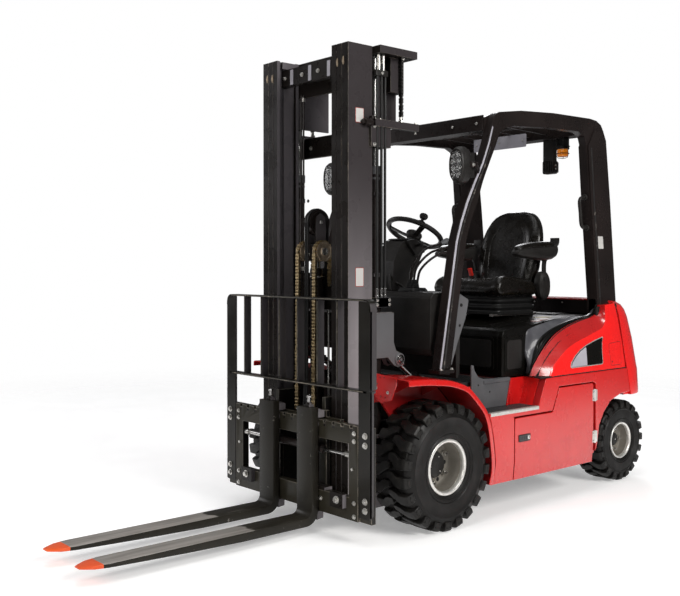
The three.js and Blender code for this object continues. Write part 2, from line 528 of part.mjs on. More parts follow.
// ---------------------------------------------------------------- tilt cylinders
const tiltDir = new THREE.Vector3(0, TILT_PIN[0] - TILT_ROOT[0], TILT_PIN[1] - TILT_ROOT[1]);
const TILT_L = tiltDir.length();
tiltDir.normalize();
const along = (s, x = TILT_X) => [x, TILT_ROOT[0] + tiltDir.y * s, TILT_ROOT[1] + tiltDir.z * s];
const barrel = cut(
  join(rod(along(44), along(430), 33, 24), rod(along(404), along(436), 36, 24),
    rod([TILT_X - 24, ...TILT_ROOT], [TILT_X + 24, ...TILT_ROOT], 32, 20), rod(along(20), along(60), 22, 16)),
  rod(along(330), along(450), 19.5, 24),
);
const tiltRod = cut(
  join(rod(along(392), along(TILT_L - 20), 17, 24), rod([TILT_X - 17, ...TILT_PIN], [TILT_X + 17, ...TILT_PIN], 30, 24),
    rod(along(TILT_L - 62), along(TILT_L - 20), 19, 16)),
  rod([TILT_X - 40, ...TILT_PIN], [TILT_X + 40, ...TILT_PIN], 14.5, 20),
);
add("tilt_barrel_left", barrel, "black");
add("tilt_barrel_right", flip(barrel), "black");
add("tilt_rod_left", tiltRod, "chrome");
add("tilt_rod_right", flip(tiltRod), "chrome");

// ---------------------------------------------------------------- mast
// a channel whose web is on the outside and whose flanges point inwards
function channel(x0, x1, y0, y1, web, flange, z0, z1) {
  const outline = [
    [x1, y0], [x1, y1], [x0, y1], [x0, y1 - flange], [x1 - web, y1 - flange], [x1 - web, y0 + flange], [x0, y0 + flange], [x0, y0],
  ];
  return [upright(outline, z0, z1), upright(mirrorPoints(outline), z0, z1)];
}
// outer stage: trunnion plates round the axle, cross members behind the lift cylinders
const trunnion = [
  [-262, 150], [-262, 395], [-130, 398], [-10, 392], [60, 372], [88, 330], [92, WZ], [86, 262], [56, 222], [0, 208], [-120, 176], [-180, 150],
];
const tiltPlate = [
  [-262, 800], [-262, 1012], [-112, 1012], [-112, 870], [-96, 830], [-62, 815], [-44, 800], [-42, 775], [-58, 756], [-84, 750], [-112, 762], [-150, 800],
];
const pinLug = [[-150, 900], [-134, 900], [-96, 860], [-62, 815], [-44, 800], [-42, 775], [-58, 756], [-84, 750], [-112, 762], [-150, 822]];
const outer = cut(
  join(
    channel(OUTER_X0, OUTER_X1, MAST_FRONT, MAST_REAR, 15, 18, MAST_FOOT, MAST_TOP),
    sideways(trunnion, 320, 336), sideways(trunnion, -336, -320),
    sideways(tiltPlate, 314, 336), sideways(tiltPlate, -336, -314),
    sideways(pinLug, 252, 266),
    sideways(pinLug, -266, -252),
    ...pair(250, 336, -152, -132, 812, 1012),
    box(-336, 336, -155, -134, 820, 1000), box(-336, 336, -155, -134, 150, 330), box(-336, 336, -155, -134, 1790, 1895),
    ...pair(320, 336, -262, -134, 1790, 1895), ...pair(320, 336, -262, -134, MAST_FOOT, 330),
        ...pair(318, 346, -258, 48, 1884, 1918),                          // chain anchor bars
    ...pair(318, 352, -244, -150, 1040, 1085),                       // hose block
    box(-336, 336, -230, -134, MAST_FOOT, 126),                      // foot that carries the lift cylinders
  ),
  rod([-350, 0, WZ], [350, 0, WZ], AXLE_R + 5.5, 32),
  ...[1, -1].map((s) => rod([s * CYL_X, CYL_Y, MAST_FOOT + 27], [s * CYL_X, CYL_Y, 1800], CYL_R + GAP, 28)),
);
const tiltPin = [1, -1].map((s) => rod([s * 252, ...TILT_PIN], [s * 341, ...TILT_PIN], 13, 20));
add("outer_mast", join(outer, tiltPin), "frame");
const liftBarrel = cut(
  join(rod([CYL_X, CYL_Y, MAST_FOOT + 28], [CYL_X, CYL_Y, 1700], CYL_R, 28)),
  rod([CYL_X, CYL_Y, MAST_FOOT + 60], [CYL_X, CYL_Y, 1720], LIFT_ROD_R + 1.5, 24),
);
add("lift_barrel_left", liftBarrel, "black");
add("lift_barrel_right", flip(liftBarrel), "black");

// middle stage, with the head plate over the lift cylinders
const middle = join(
  channel(MIDDLE_X0, MIDDLE_X1, MAST_FRONT, MAST_REAR, 13, 18, MAST_FOOT + 8, MAST_TOP),
  box(-MIDDLE_X1, MIDDLE_X1, -250, -235, 130, 300), box(-MIDDLE_X1, MIDDLE_X1, -250, -235, 1060, 1200),
  box(-MIDDLE_X1, MIDDLE_X1, -250, -235, 2080, MAST_TOP),
  box(-370, 370, -236, 10, 2222, MAST_TOP),
  ...pair(244, 256, -240, -20, 1935, 2230),
  ...pair(262, 318, -118, -30, 2060, 2230),
);
add("middle_mast", cut(middle, ...[1, -1].map((s) => rod([s * CYL_X, CYL_Y, 1900], [s * CYL_X, CYL_Y, 2221], LIFT_ROD_R + 6, 20))), "frame");
const liftRod = join(
  rod([CYL_X, CYL_Y, 200], [CYL_X, CYL_Y, 2221.5], LIFT_ROD_R, 20), rod([CYL_X, CYL_Y, 2170], [CYL_X, CYL_Y, 2221.5], 20, 20),
);
add("lift_rod_left", liftRod, "chrome");
add("lift_rod_right", flip(liftRod), "chrome");

// inner stage, which carries the free-lift cylinder
const inner = join(
  channel(INNER_X0, INNER_X1, MAST_FRONT, -255, 13, 18, MAST_FOOT + 16, MAST_TOP),
  box(-INNER_X1, INNER_X1, -270.5, -255.5, 135, 300), box(-INNER_X1, INNER_X1, -270.5, -255.5, 1020, 1150),
  box(-225, 225, -352, -318, 2128, 2212),
  box(-60, 60, -345, -260, 118, 150), box(-INNER_X1, INNER_X1, -281, -255.5, 118, 150),
);
add("inner_mast", inner, "frame");
const freeBarrel = cut(
  rod([0, FREE_Y, 150.5], [0, FREE_Y, FREE_TOP], FREE_R, 28),
  rod([0, FREE_Y, 190], [0, FREE_Y, FREE_TOP + 10], FREE_ROD_R + 1.5, 24),
);
add("free_lift_barrel", freeBarrel, "black");

// crosshead on the free-lift rod: chain sheaves and the hose pulley
add("free_lift_rod", rod([0, FREE_Y, 230], [0, FREE_Y, 1258], FREE_ROD_R, 24), "chrome");
const head = join(
  box(-30, 30, -344, -275, 1258.5, 1340),
  rod([-84, SHEAVE_Y, SHEAVE_Z], [84, SHEAVE_Y, SHEAVE_Z], 14, 16),
  rod([45, SHEAVE_Y, SHEAVE_Z], [81, SHEAVE_Y, SHEAVE_Z], SHEAVE_R, 32), rod([-81, SHEAVE_Y, SHEAVE_Z], [-45, SHEAVE_Y, SHEAVE_Z], SHEAVE_R, 32),
  box(-12, 40, -344, -292, 1335, 1380), 
  rod([-11, -318, 1445], [34, -318, 1445], 62.5, 36), box(34, 42, -348, -288, 1366, 1511), box(-19, -11, -348, -288, 1330, 1511),
  box(-19, 42, -348, -288, 1330, 1375),
);
add("crosshead", head, "iron");

// ---------------------------------------------------------------- carriage
const carriage = join(
  ...pair(165, 187, -415, -287, 118, 620),
  ...[1, -1].flatMap((s) => [175, 350, 565].map((z) => rod([s * 180, -324, z], [s * 216, -324, z], 44, 24))),
  box(-300, 300, -419.5, -398, 448, 530), box(-300, 300, -419.5, -398, 112, 192),
  ...pair(150, 200, -419.5, -398, 112, 560),
  box(-92, 92, -400, -362, 462, 512), box(-187, 187, -405, -385, 462, 512),
);
add("carriage", carriage, "frame");
add("sideshift_barrel", cut(
  join(rod([-210, -442.5, 385], [210, -442.5, 385], 20, 24), ...pair(160, 190, -442, -419.9, 372, 398)),
  rod([-240, -442.5, 385], [240, -442.5, 385], 11.5, 20),
), "black");
const shiftFrame = join(
  box(-465, 465, BAR_FRONT, BAR_REAR, ...BAR_UPPER), box(-465, 465, BAR_FRONT, BAR_REAR, ...BAR_LOWER),
  box(-BAR_X, BAR_X, -451.4, BAR_REAR, ...BAR_UPPER), box(-BAR_X, BAR_X, -451.4, BAR_REAR, ...BAR_LOWER),
  ...pair(404, 465, BAR_FRONT, BAR_REAR, 190, 450), ...pair(404, BAR_X, -451.4, BAR_REAR, 190, 450),
);
// notches along the upper bar's top edge, for the fork latches
const notches = [-420, -360, -300, -240, -180, -120, -60, 0, 60, 120, 180, 240, 300, 360, 420].map((x) => box(x - 9, x + 9, -480, -449, 512, 540));
add("sideshift_frame", cut(shiftFrame, notches), "frame");
add("sideshift_rod", rod([-403.5, -442.5, 385], [403.5, -442.5, 385], 10, 20), "chrome");

const strap = (z) => upright([
  [-BACKREST_X, BACKREST_Y + 12], [-BACKREST_X + 14, BACKREST_Y], [BACKREST_X - 14, BACKREST_Y], [BACKREST_X, BACKREST_Y + 12],
  [BACKREST_X, BACKREST_Y + 40], [-BACKREST_X, BACKREST_Y + 40],
], z - 10, z);
add("backrest", join(
  ...pair(469, 543, BACKREST_Y, BACKREST_Y + 12, 123, 1050), ...pair(527, 543, BACKREST_Y, BACKREST_Y + 40, 690, 1080),
  ...pair(527, 537, BACKREST_Y, BACKREST_Y + 40, 660, 1084),
  strap(BACKREST_TOP), strap(BACKREST_MID + 5),
  ...[-388, -247, -100, 40, 187, 326].map((x) => box(x - 5, x + 5, BACKREST_Y, BACKREST_Y + 40, BACKREST_MID - 5, BACKREST_TOP - 4)),
), "frame");

// ---------------------------------------------------------------- forks
const forkSide = [
  [FORK_HEEL, FORK_SHANK_TOP], [FORK_HEEL, FORK_TOP + 42], [FORK_HEEL - 10, FORK_TOP + 16], [FORK_HEEL - 34, FORK_TOP],
  [FORK_TIP + 4, FORK_TOP], [FORK_TIP, FORK_TOP - 6], [FORK_TIP + 4, FORK_TOP - 12], [-1200, FORK_TOP - 32], [-900, FORK_TOP - FORK_T], [FORK_HEEL + 12, FORK_TOP - FORK_T],
  [FORK_HEEL + 32, FORK_TOP - FORK_T + 10], [FORK_HEEL + FORK_T, FORK_TOP - FORK_T + 36], [FORK_HEEL + FORK_T, FORK_SHANK_TOP],
];
const forkPlan = [
  [FORK_X0, -400], [FORK_X0, FORK_TIP + 100], [FORK_X0 + 26, FORK_TIP + 18], [FORK_X0 + 40, FORK_TIP], [FORK_X1 - 40, FORK_TIP],
  [FORK_X1 - 26, FORK_TIP + 18], [FORK_X1, FORK_TIP + 100], [FORK_X1, -400],
];
const fork = join(
  meet(sideways(forkSide, FORK_X0, FORK_X1), upright(forkPlan, 0, 700)),
  // hooks over the upper bar and under the lower bar
  box(FORK_X0 + 8, FORK_X1 - 8, FORK_HEEL + FORK_T - 4, -428, 531, 562), 
  box(FORK_X0 + 8, FORK_X1 - 8, FORK_HEEL + FORK_T - 4, -434, 62, 94),
  box(FORK_X0 + 36, FORK_X1 - 36, FORK_HEEL + 6, FORK_HEEL + 34, FORK_SHANK_TOP - 6, FORK_SHANK_TOP + 22),
);
add("fork_left", fork, "fork");
add("fork_right", flip(fork), "fork");

// the origin is under the middle of the truck's overall length
group.position.y = -(FORK_TIP + REAR_END) / 2;

export default group;
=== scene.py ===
import math

import bmesh
import bpy
import numpy as np
from mathutils import Matrix, Vector
from mathutils.geometry import tessellate_polygon


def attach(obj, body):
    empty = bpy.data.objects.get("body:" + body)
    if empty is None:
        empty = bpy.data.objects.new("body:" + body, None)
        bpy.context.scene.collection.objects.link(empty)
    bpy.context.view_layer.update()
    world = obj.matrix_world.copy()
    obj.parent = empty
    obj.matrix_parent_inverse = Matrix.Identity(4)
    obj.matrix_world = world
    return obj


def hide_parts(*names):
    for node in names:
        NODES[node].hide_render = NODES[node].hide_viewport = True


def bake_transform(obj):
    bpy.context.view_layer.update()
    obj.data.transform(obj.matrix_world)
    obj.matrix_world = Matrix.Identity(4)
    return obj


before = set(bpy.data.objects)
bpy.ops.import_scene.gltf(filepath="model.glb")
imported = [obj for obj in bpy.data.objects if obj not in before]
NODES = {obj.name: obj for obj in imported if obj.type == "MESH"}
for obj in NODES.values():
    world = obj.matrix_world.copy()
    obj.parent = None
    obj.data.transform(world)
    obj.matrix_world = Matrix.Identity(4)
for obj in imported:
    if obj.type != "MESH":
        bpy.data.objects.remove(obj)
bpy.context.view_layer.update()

SHIFT = -75.0                     # the axle frame's y to the row frame's y, mm
MM = 0.001
SCENE = bpy.context.scene
rng = np.random.default_rng(7)


# ------------------------------------------------------------------ outlines
def arclen(pts):
    d = [0.0]
    for a, b in zip(pts, pts[1:]):
        d.append(d[-1] + math.dist(a, b))
    return d


def spline(pts, step=14.0, closed=False):
    """A centripetal curve through pts, any dimension, in steps of about that length."""
    p = [np.array(q, float) for q in pts]
    n = len(p)
    out = []
    spans = n if closed else n - 1
    for i in range(spans):
        p1, p2 = p[i % n], p[(i + 1) % n]
        p0 = p[(i - 1) % n] if closed or i > 0 else 2 * p1 - p2
        p3 = p[(i + 2) % n] if closed or i + 2 < n else 2 * p2 - p1
        t0 = 0.0
        t1 = t0 + max(np.linalg.norm(p1 - p0), 1e-6) ** 0.5
        t2 = t1 + max(np.linalg.norm(p2 - p1), 1e-6) ** 0.5
        t3 = t2 + max(np.linalg.norm(p3 - p2), 1e-6) ** 0.5
        k = max(1, round(float(np.linalg.norm(p2 - p1)) / step))
        for j in range(k):
            t = t1 + (t2 - t1) * j / k
            a1 = (t1 - t) / (t1 - t0) * p0 + (t - t0) / (t1 - t0) * p1
            a2 = (t2 - t) / (t2 - t1) * p1 + (t - t1) / (t2 - t1) * p2
            a3 = (t3 - t) / (t3 - t2) * p2 + (t - t2) / (t3 - t2) * p3
            b1 = (t2 - t) / (t2 - t0) * a1 + (t - t0) / (t2 - t0) * a2
            b2 = (t3 - t) / (t3 - t1) * a2 + (t - t1) / (t3 - t1) * a3
            out.append((t2 - t) / (t2 - t1) * b1 + (t - t1) / (t2 - t1) * b2)
    if not closed:
        out.append(p[-1])
    return [tuple(float(c) for c in q) for q in out]


def resample(pts, n):
    """n points evenly along a polyline."""
    d = arclen(pts)
    out = []
    for k in range(n):
        s = d[-1] * k / (n - 1)
        i = min(max(np.searchsorted(d, s) - 1, 0), len(pts) - 2)
        t = 0 if d[i + 1] == d[i] else (s - d[i]) / (d[i + 1] - d[i])
        out.append(tuple(a + (b - a) * t for a, b in zip(pts[i], pts[i + 1])))
    return out


def fillet(pts, r, seg=4):
    """A closed 2-D outline with its corners rounded. r is one radius, or one for each point."""
    n = len(pts)
    radii = [r] * n if isinstance(r, (int, float)) else list(r)
    out = []
    for i in range(n):
        p, a, b = Vector(pts[i]), Vector(pts[i - 1]), Vector(pts[(i + 1) % n])
        u, v = (a - p), (b - p)
        lu, lv = u.length, v.length
        if radii[i] <= 0 or lu < 1e-6 or lv < 1e-6:
            out.append(tuple(p))
            continue
        u, v = u / lu, v / lv
        ang = math.acos(max(-1, min(1, u.dot(v))))
        if ang > math.pi - 0.05 or ang < 0.05:
            out.append(tuple(p))
            continue
        t = min(radii[i] / math.tan(ang / 2), lu * 0.49, lv * 0.49)
        rad = t * math.tan(ang / 2)
        c = p + (u + v).normalized() * (rad / math.sin(ang / 2))
        s, e = p + u * t - c, p + v * t - c
        a0 = math.atan2(s.y, s.x)
        da = math.atan2(e.y, e.x) - a0
        while da > math.pi:
            da -= 2 * math.pi
        while da < -math.pi:
            da += 2 * math.pi
        for k in range(seg + 1):
            w = a0 + da * k / seg
            out.append((c.x + rad * math.cos(w), c.y + rad * math.sin(w)))
    return out


def oval(w, h, n=32, cx=0.0, cy=0.0, power=2.0):
    out = []
    for i in range(n):
        a = 2 * math.pi * i / n
        c, s = math.cos(a), math.sin(a)
        out.append((cx + w * math.copysign(abs(c) ** (2 / power), c), cy + h * math.copysign(abs(s) ** (2 / power), s)))
    return out


# ------------------------------------------------------------------ parts: (points, faces), millimetres, axle frame
def prism(outline, lo, hi, place):
    n = len(outline)
    v = [place(a, b, lo) for a, b in outline] + [place(a, b, hi) for a, b in outline]
    f = [tuple(range(n))[::-1], tuple(range(n, 2 * n))]
    f += [(i, (i + 1) % n, (i + 1) % n + n, i + n) for i in range(n)]
    return v, f


def sideways(outline, x0, x1):
    return prism(outline, min(x0, x1), max(x0, x1), lambda a, b, c: (c, a, b))


def lengthways(outline, y0, y1):
    return prism(outline, min(y0, y1), max(y0, y1), lambda a, b, c: (a, c, b))


def upright(outline, z0, z1):
    return prism(outline, min(z0, z1), max(z0, z1), lambda a, b, c: (a, b, c))


def box(x0, x1, y0, y1, z0, z1):
    return upright([(x0, y0), (x1, y0), (x1, y1), (x0, y1)], z0, z1)


def rbox(x0, x1, y0, y1, z0, z1, r, axis="z", seg=4):
    """A box whose four edges along one axis are rounded."""
    if axis == "z":
        return upright(fillet([(x0, y0), (x1, y0), (x1, y1), (x0, y1)], r, seg), z0, z1)
    if axis == "y":
        return lengthways(fillet([(x0, z0), (x1, z0), (x1, z1), (x0, z1)], r, seg), y0, y1)
    return sideways(fillet([(y0, z0), (y1, z0), (y1, z1), (y0, z1)], r, seg), x0, x1)


def flip(part):
    v, f = part
    return [(-x, y, z) for x, y, z in v], [tuple(reversed(q)) for q in f]


def both(*parts):
    return [q for p in parts for q in (p, flip(p))]


def move(part, dx=0, dy=0, dz=0):
    return [(x + dx, y + dy, z + dz) for x, y, z in part[0]], part[1]


def turn(part, axis, angle, centre=(0, 0, 0)):
    m = Matrix.Rotation(math.radians(angle), 3, axis if isinstance(axis, str) else Vector(axis))
    c = Vector(centre)
    return [tuple(m @ (Vector(p) - c) + c) for p in part[0]], part[1]


def join_parts(*parts):
    v, f = [], []
    for p in parts:
        n = len(v)
        v += list(p[0])
        f += [tuple(i + n for i in q) for q in p[1]]
    return v, f


def basis(d):
    d = Vector(d).normalized()
    u = d.orthogonal().normalized()
    return d, u, d.cross(u)


def lathe(profile, axis, centre, n=48, arc=None):
    """Turned shape: (radius, distance along the axis). A closed profile closes on itself; radius 0 makes a pole."""
    d, u, w = basis(axis)
    c = Vector(centre)
    v, f, rows = [], [], []
    for r, a in profile:
        if r < 1e-6:
            rows.append([len(v)] * n)
            v.append(tuple(c + d * a))
        else:
            rows.append(list(range(len(v), len(v) + n)))
            for i in range(n):
                t = 2 * math.pi * (i + 0.5) / n
                v.append(tuple(c + d * a + (u * math.cos(t) + w * math.sin(t)) * r))
    for A, B in zip(rows, rows[1:]):
        for i in range(n):
            j = (i + 1) % n
            q = [A[i], A[j], B[j], B[i]]
            q = [k for m, k in enumerate(q) if k not in q[:m]]
            if len(q) > 2:
                f.append(tuple(q))
    return v, f


def rod(a, b, r, n=24, r2=None, chamfer=0.0):
    a, b = Vector(a), Vector(b)
    L = (b - a).length
    r2 = r if r2 is None else r2
    if chamfer:
        prof = [(0, 0), (r - chamfer, 0), (r, chamfer), (r2, L - chamfer), (r2 - chamfer, L), (0, L)]
    else:
        prof = [(0, 0), (r, 0), (r2, L), (0, L)]
    return lathe(prof, b - a, a, n)


def ringed(a, b, r0, r1, n=32, chamfer=1.0):
    """A tube wall from a to b between two radii."""
    a, b = Vector(a), Vector(b)
    L, c = (b - a).length, chamfer
    return lathe([(r0, 0), (r1 - c, 0), (r1, c), (r1, L - c), (r1 - c, L), (r0, L), (r0, 0)], b - a, a, n)


def ball(c, r, n=20, rings=10, squash=(1, 1, 1)):
    v, f = lathe([(r * math.sin(math.pi * k / rings), -r * math.cos(math.pi * k / rings)) for k in range(rings + 1)], (0, 0, 1), (0, 0, 0), n)
    return [(c[0] + x * squash[0], c[1] + y * squash[1], c[2] + z * squash[2]) for x, y, z in v], f


def sweep(path, section, closed=False, up=None, scale=None, twist=None):
    """A 2-D section carried along a 3-D path without turning about it."""
    p = [Vector(q) for q in path]
    n, m = len(p), len(section)
    tang = []
    for i in range(n):
        a = p[i - 1] if (i > 0 or closed) else p[i]
        b = p[(i + 1) % n] if (i < n - 1 or closed) else p[i]
        tang.append((b - a).normalized())
    u = (Vector(up) - tang[0] * Vector(up).dot(tang[0])).normalized() if up else tang[0].orthogonal().normalized()
    v, f = [], []
    for i in range(n):
        if i:
            u = tang[i - 1].rotation_difference(tang[i]) @ u
            if up:
                u = (Vector(up) - tang[i] * Vector(up).dot(tang[i])).normalized()
            u = (u - tang[i] * u.dot(tang[i])).normalized()
        w = tang[i].cross(u)
        k = 1.0 if scale is None else scale[i]
        ang = 0.0 if twist is None else twist[i]
        cs, sn = math.cos(ang), math.sin(ang)
        for a, b in section:
            aa, bb = a * cs - b * sn, a * sn + b * cs
            v.append(tuple(p[i] + u * aa * k + w * bb * k))
    for i in range(n if closed else n - 1):
        for j in range(m):
            a, b = i * m + j, i * m + (j + 1) % m
            c, d = ((i + 1) % n) * m + (j + 1) % m, ((i + 1) % n) * m + j
            f.append((a, b, c, d))
    if not closed:
        f.append(tuple(range(m))[::-1])
        f.append(tuple(range((n - 1) * m, n * m)))
    return v, f


def hose(points, r, n=10, step=None, closed=False, scale=None):
    path = spline(points, step or max(3 * r, 8), closed)
    return sweep(path, oval(r, r, n), closed)


def loft(rings, caps=True, closed=True):
    m = len(rings[0])
    v = [tuple(q) for r in rings for q in r]
    f = []
    for i in range(len(rings) - 1):
        for j in range(m if closed else m - 1):
            a, b = i * m + j, i * m + (j + 1) % m
            f.append((a, b, b + m, a + m))
    if caps:
        f.append(tuple(range(m))[::-1])
        f.append(tuple(range((len(rings) - 1) * m, len(rings) * m)))
    return v, f


def grid(rows):
    m = len(rows[0])
    v = [tuple(q) for r in rows for q in r]
    f = [(i * m + j, i * m + j + 1, (i + 1) * m + j + 1, (i + 1) * m + j) for i in range(len(rows) - 1) for j in range(m - 1)]
    return v, f


def hexhead(c, d, r=9.0, h=6.0, washer=None, dome=False):
    """A hexagon bolt head standing on c along d, with its washer."""
    d = Vector(d).normalized()
    c = Vector(c)
    out = []
    if washer:
        out.append(lathe([(0, 0), (washer - 0.6, 0), (washer, 0.5), (washer, 1.6), (washer - 0.6, 2.1), (0, 2.1)], d, c, 20))
        c = c + d * 2.1
    v, f = lathe([(0, 0), (r, 0), (r, h * 0.82), (r * 0.86, h), (0, h)], d, c, 6)
    out.append((v, f))
    out.append(lathe([(0, 0), (r * 0.45, 0), (r * 0.42, h * 1.12), (0, h * 1.16)], d, c, 12))
    return join_parts(*out)


def caphead(c, d, r=8.0, h=8.0):
    """A round socket screw head."""
    return lathe([(0, 0), (r, 0), (r, h * 0.8), (r * 0.86, h), (r * 0.5, h), (r * 0.5, h * 0.4), (0, h * 0.4)], d, c, 18)


# ------------------------------------------------------------------ objects
ALL = {}


def piece(name, body, parts, mats, bevel=1.2, seg=2, angle=30, replaces=(), slot=None, edge=None, solid=None, sub=0, weld=0.0, smooth_angle=35, ride=True, recalc=True):
    """Makes one object of parts, [(part, material number)] or [part]. edge is the number of the material that bevelled edges take."""
    me = bpy.data.meshes.new(name)
    v, f, m = [], [], []
    for item in parts:
        part, k = item if isinstance(item[1], int) else (item, 0)
        n = len(v)
        v += [(x * MM, (y + SHIFT) * MM, z * MM) for x, y, z in part[0]]
        f += [tuple(i + n for i in q) for q in part[1]]
        m += [k] * len(part[1])
    me.from_pydata(v, [], f)
    me.polygons.foreach_set("material_index", m)
    me.validate()
    for mat in mats:
        me.materials.append(mat)
    bm = bmesh.new()
    bm.from_mesh(me)
    if weld:
        bmesh.ops.remove_doubles(bm, verts=bm.verts, dist=weld * MM)
    bmesh.ops.dissolve_degenerate(bm, dist=1e-6, edges=bm.edges)
    if recalc:
        bmesh.ops.recalc_face_normals(bm, faces=bm.faces)
    bm.to_mesh(me)
    bm.free()
    me.polygons.foreach_set("use_smooth", [True] * len(me.polygons))
    me.set_sharp_from_angle(angle=math.radians(smooth_angle))
    o = bpy.data.objects.new(name, me)
    SCENE.collection.objects.link(o)
    if solid:
        md = o.modifiers.new("thick", "SOLIDIFY")
        md.thickness, md.offset = solid * MM, -1
        md.use_even_offset = True
    if sub:
        md = o.modifiers.new("smooth", "SUBSURF")
        md.levels = md.render_levels = sub
    if bevel:
        md = o.modifiers.new("edges", "BEVEL")
        md.width, md.segments, md.limit_method, md.angle_limit = bevel * MM, seg, "ANGLE", math.radians(angle)
        md.use_clamp_overlap, md.harden_normals, md.miter_outer = True, True, "MITER_ARC"
        if edge is not None:
            md.material = edge
    if ride:
        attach(o, body)
    if replaces:
        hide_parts(*([replaces] if isinstance(replaces, str) else replaces))
    ALL[name] = o
    return o


def refine(node, name, body, mats, bevel=1.5, edge=None, angle=28, keep=None, seg=2, smooth_angle=32):
    """A new piece on a CAD node's own shape, with flat faces merged and its edges rounded."""
    src = NODES[node]
    bm = bmesh.new()
    bm.from_mesh(src.data)
    bmesh.ops.remove_doubles(bm, verts=bm.verts, dist=2e-5)
    bmesh.ops.dissolve_limit(bm, angle_limit=math.radians(1.0), verts=bm.verts, edges=bm.edges)
    bmesh.ops.recalc_face_normals(bm, faces=bm.faces)
    me = bpy.data.meshes.new(name)
    bm.to_mesh(me)
    bm.free()
    for mat in mats:
        me.materials.append(mat)
    me.polygons.foreach_set("material_index", [0] * len(me.polygons))
    me.polygons.foreach_set("use_smooth", [True] * len(me.polygons))
    me.set_sharp_from_angle(angle=math.radians(smooth_angle))
    o = bpy.data.objects.new(name, me)
    SCENE.collection.objects.link(o)
    if bevel:
        md = o.modifiers.new("edges", "BEVEL")
        md.width, md.segments, md.limit_method, md.angle_limit = bevel * MM, seg, "ANGLE", math.radians(angle)
        md.use_clamp_overlap, md.harden_normals = True, True
        if edge is not None:
            md.material = edge
    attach(o, body)
    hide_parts(node)
    ALL[name] = o
    return o


def apply_modifiers(o):
    dg = bpy.context.evaluated_depsgraph_get()
    me = bpy.data.meshes.new_from_object(o.evaluated_get(dg), preserve_all_data_layers=True, depsgraph=dg)
    o.modifiers.clear()
    o.data = me


def cutter(parts):
    """A helper solid for a boolean, in the same units as piece()."""
    o = piece("helper", None, parts, [], bevel=0, ride=False)
    ALL.pop("helper")
    return o


def cut(o, parts, solver="EXACT"):
    """Cuts parts out of an object now, before its edge modifier."""
    c = cutter(parts)
    md = o.modifiers.new("cut", "BOOLEAN")
    md.operation, md.object, md.solver = "DIFFERENCE", c, solver
    o.modifiers.move(len(o.modifiers) - 1, 0)
    others = [(m.name, m.show_viewport) for m in o.modifiers if m != md]
    for nme, _ in others:
        o.modifiers[nme].show_viewport = False
    dg = bpy.context.evaluated_depsgraph_get()
    me = bpy.data.meshes.new_from_object(o.evaluated_get(dg), preserve_all_data_layers=True, depsgraph=dg)
    o.modifiers.remove(md)
    for nme, shown in others:
        o.modifiers[nme].show_viewport = shown
    o.data = me
    bpy.data.objects.remove(c)
    me.polygons.foreach_set("use_smooth", [True] * len(me.polygons))
    me.set_sharp_from_angle(angle=math.radians(32))
    return o


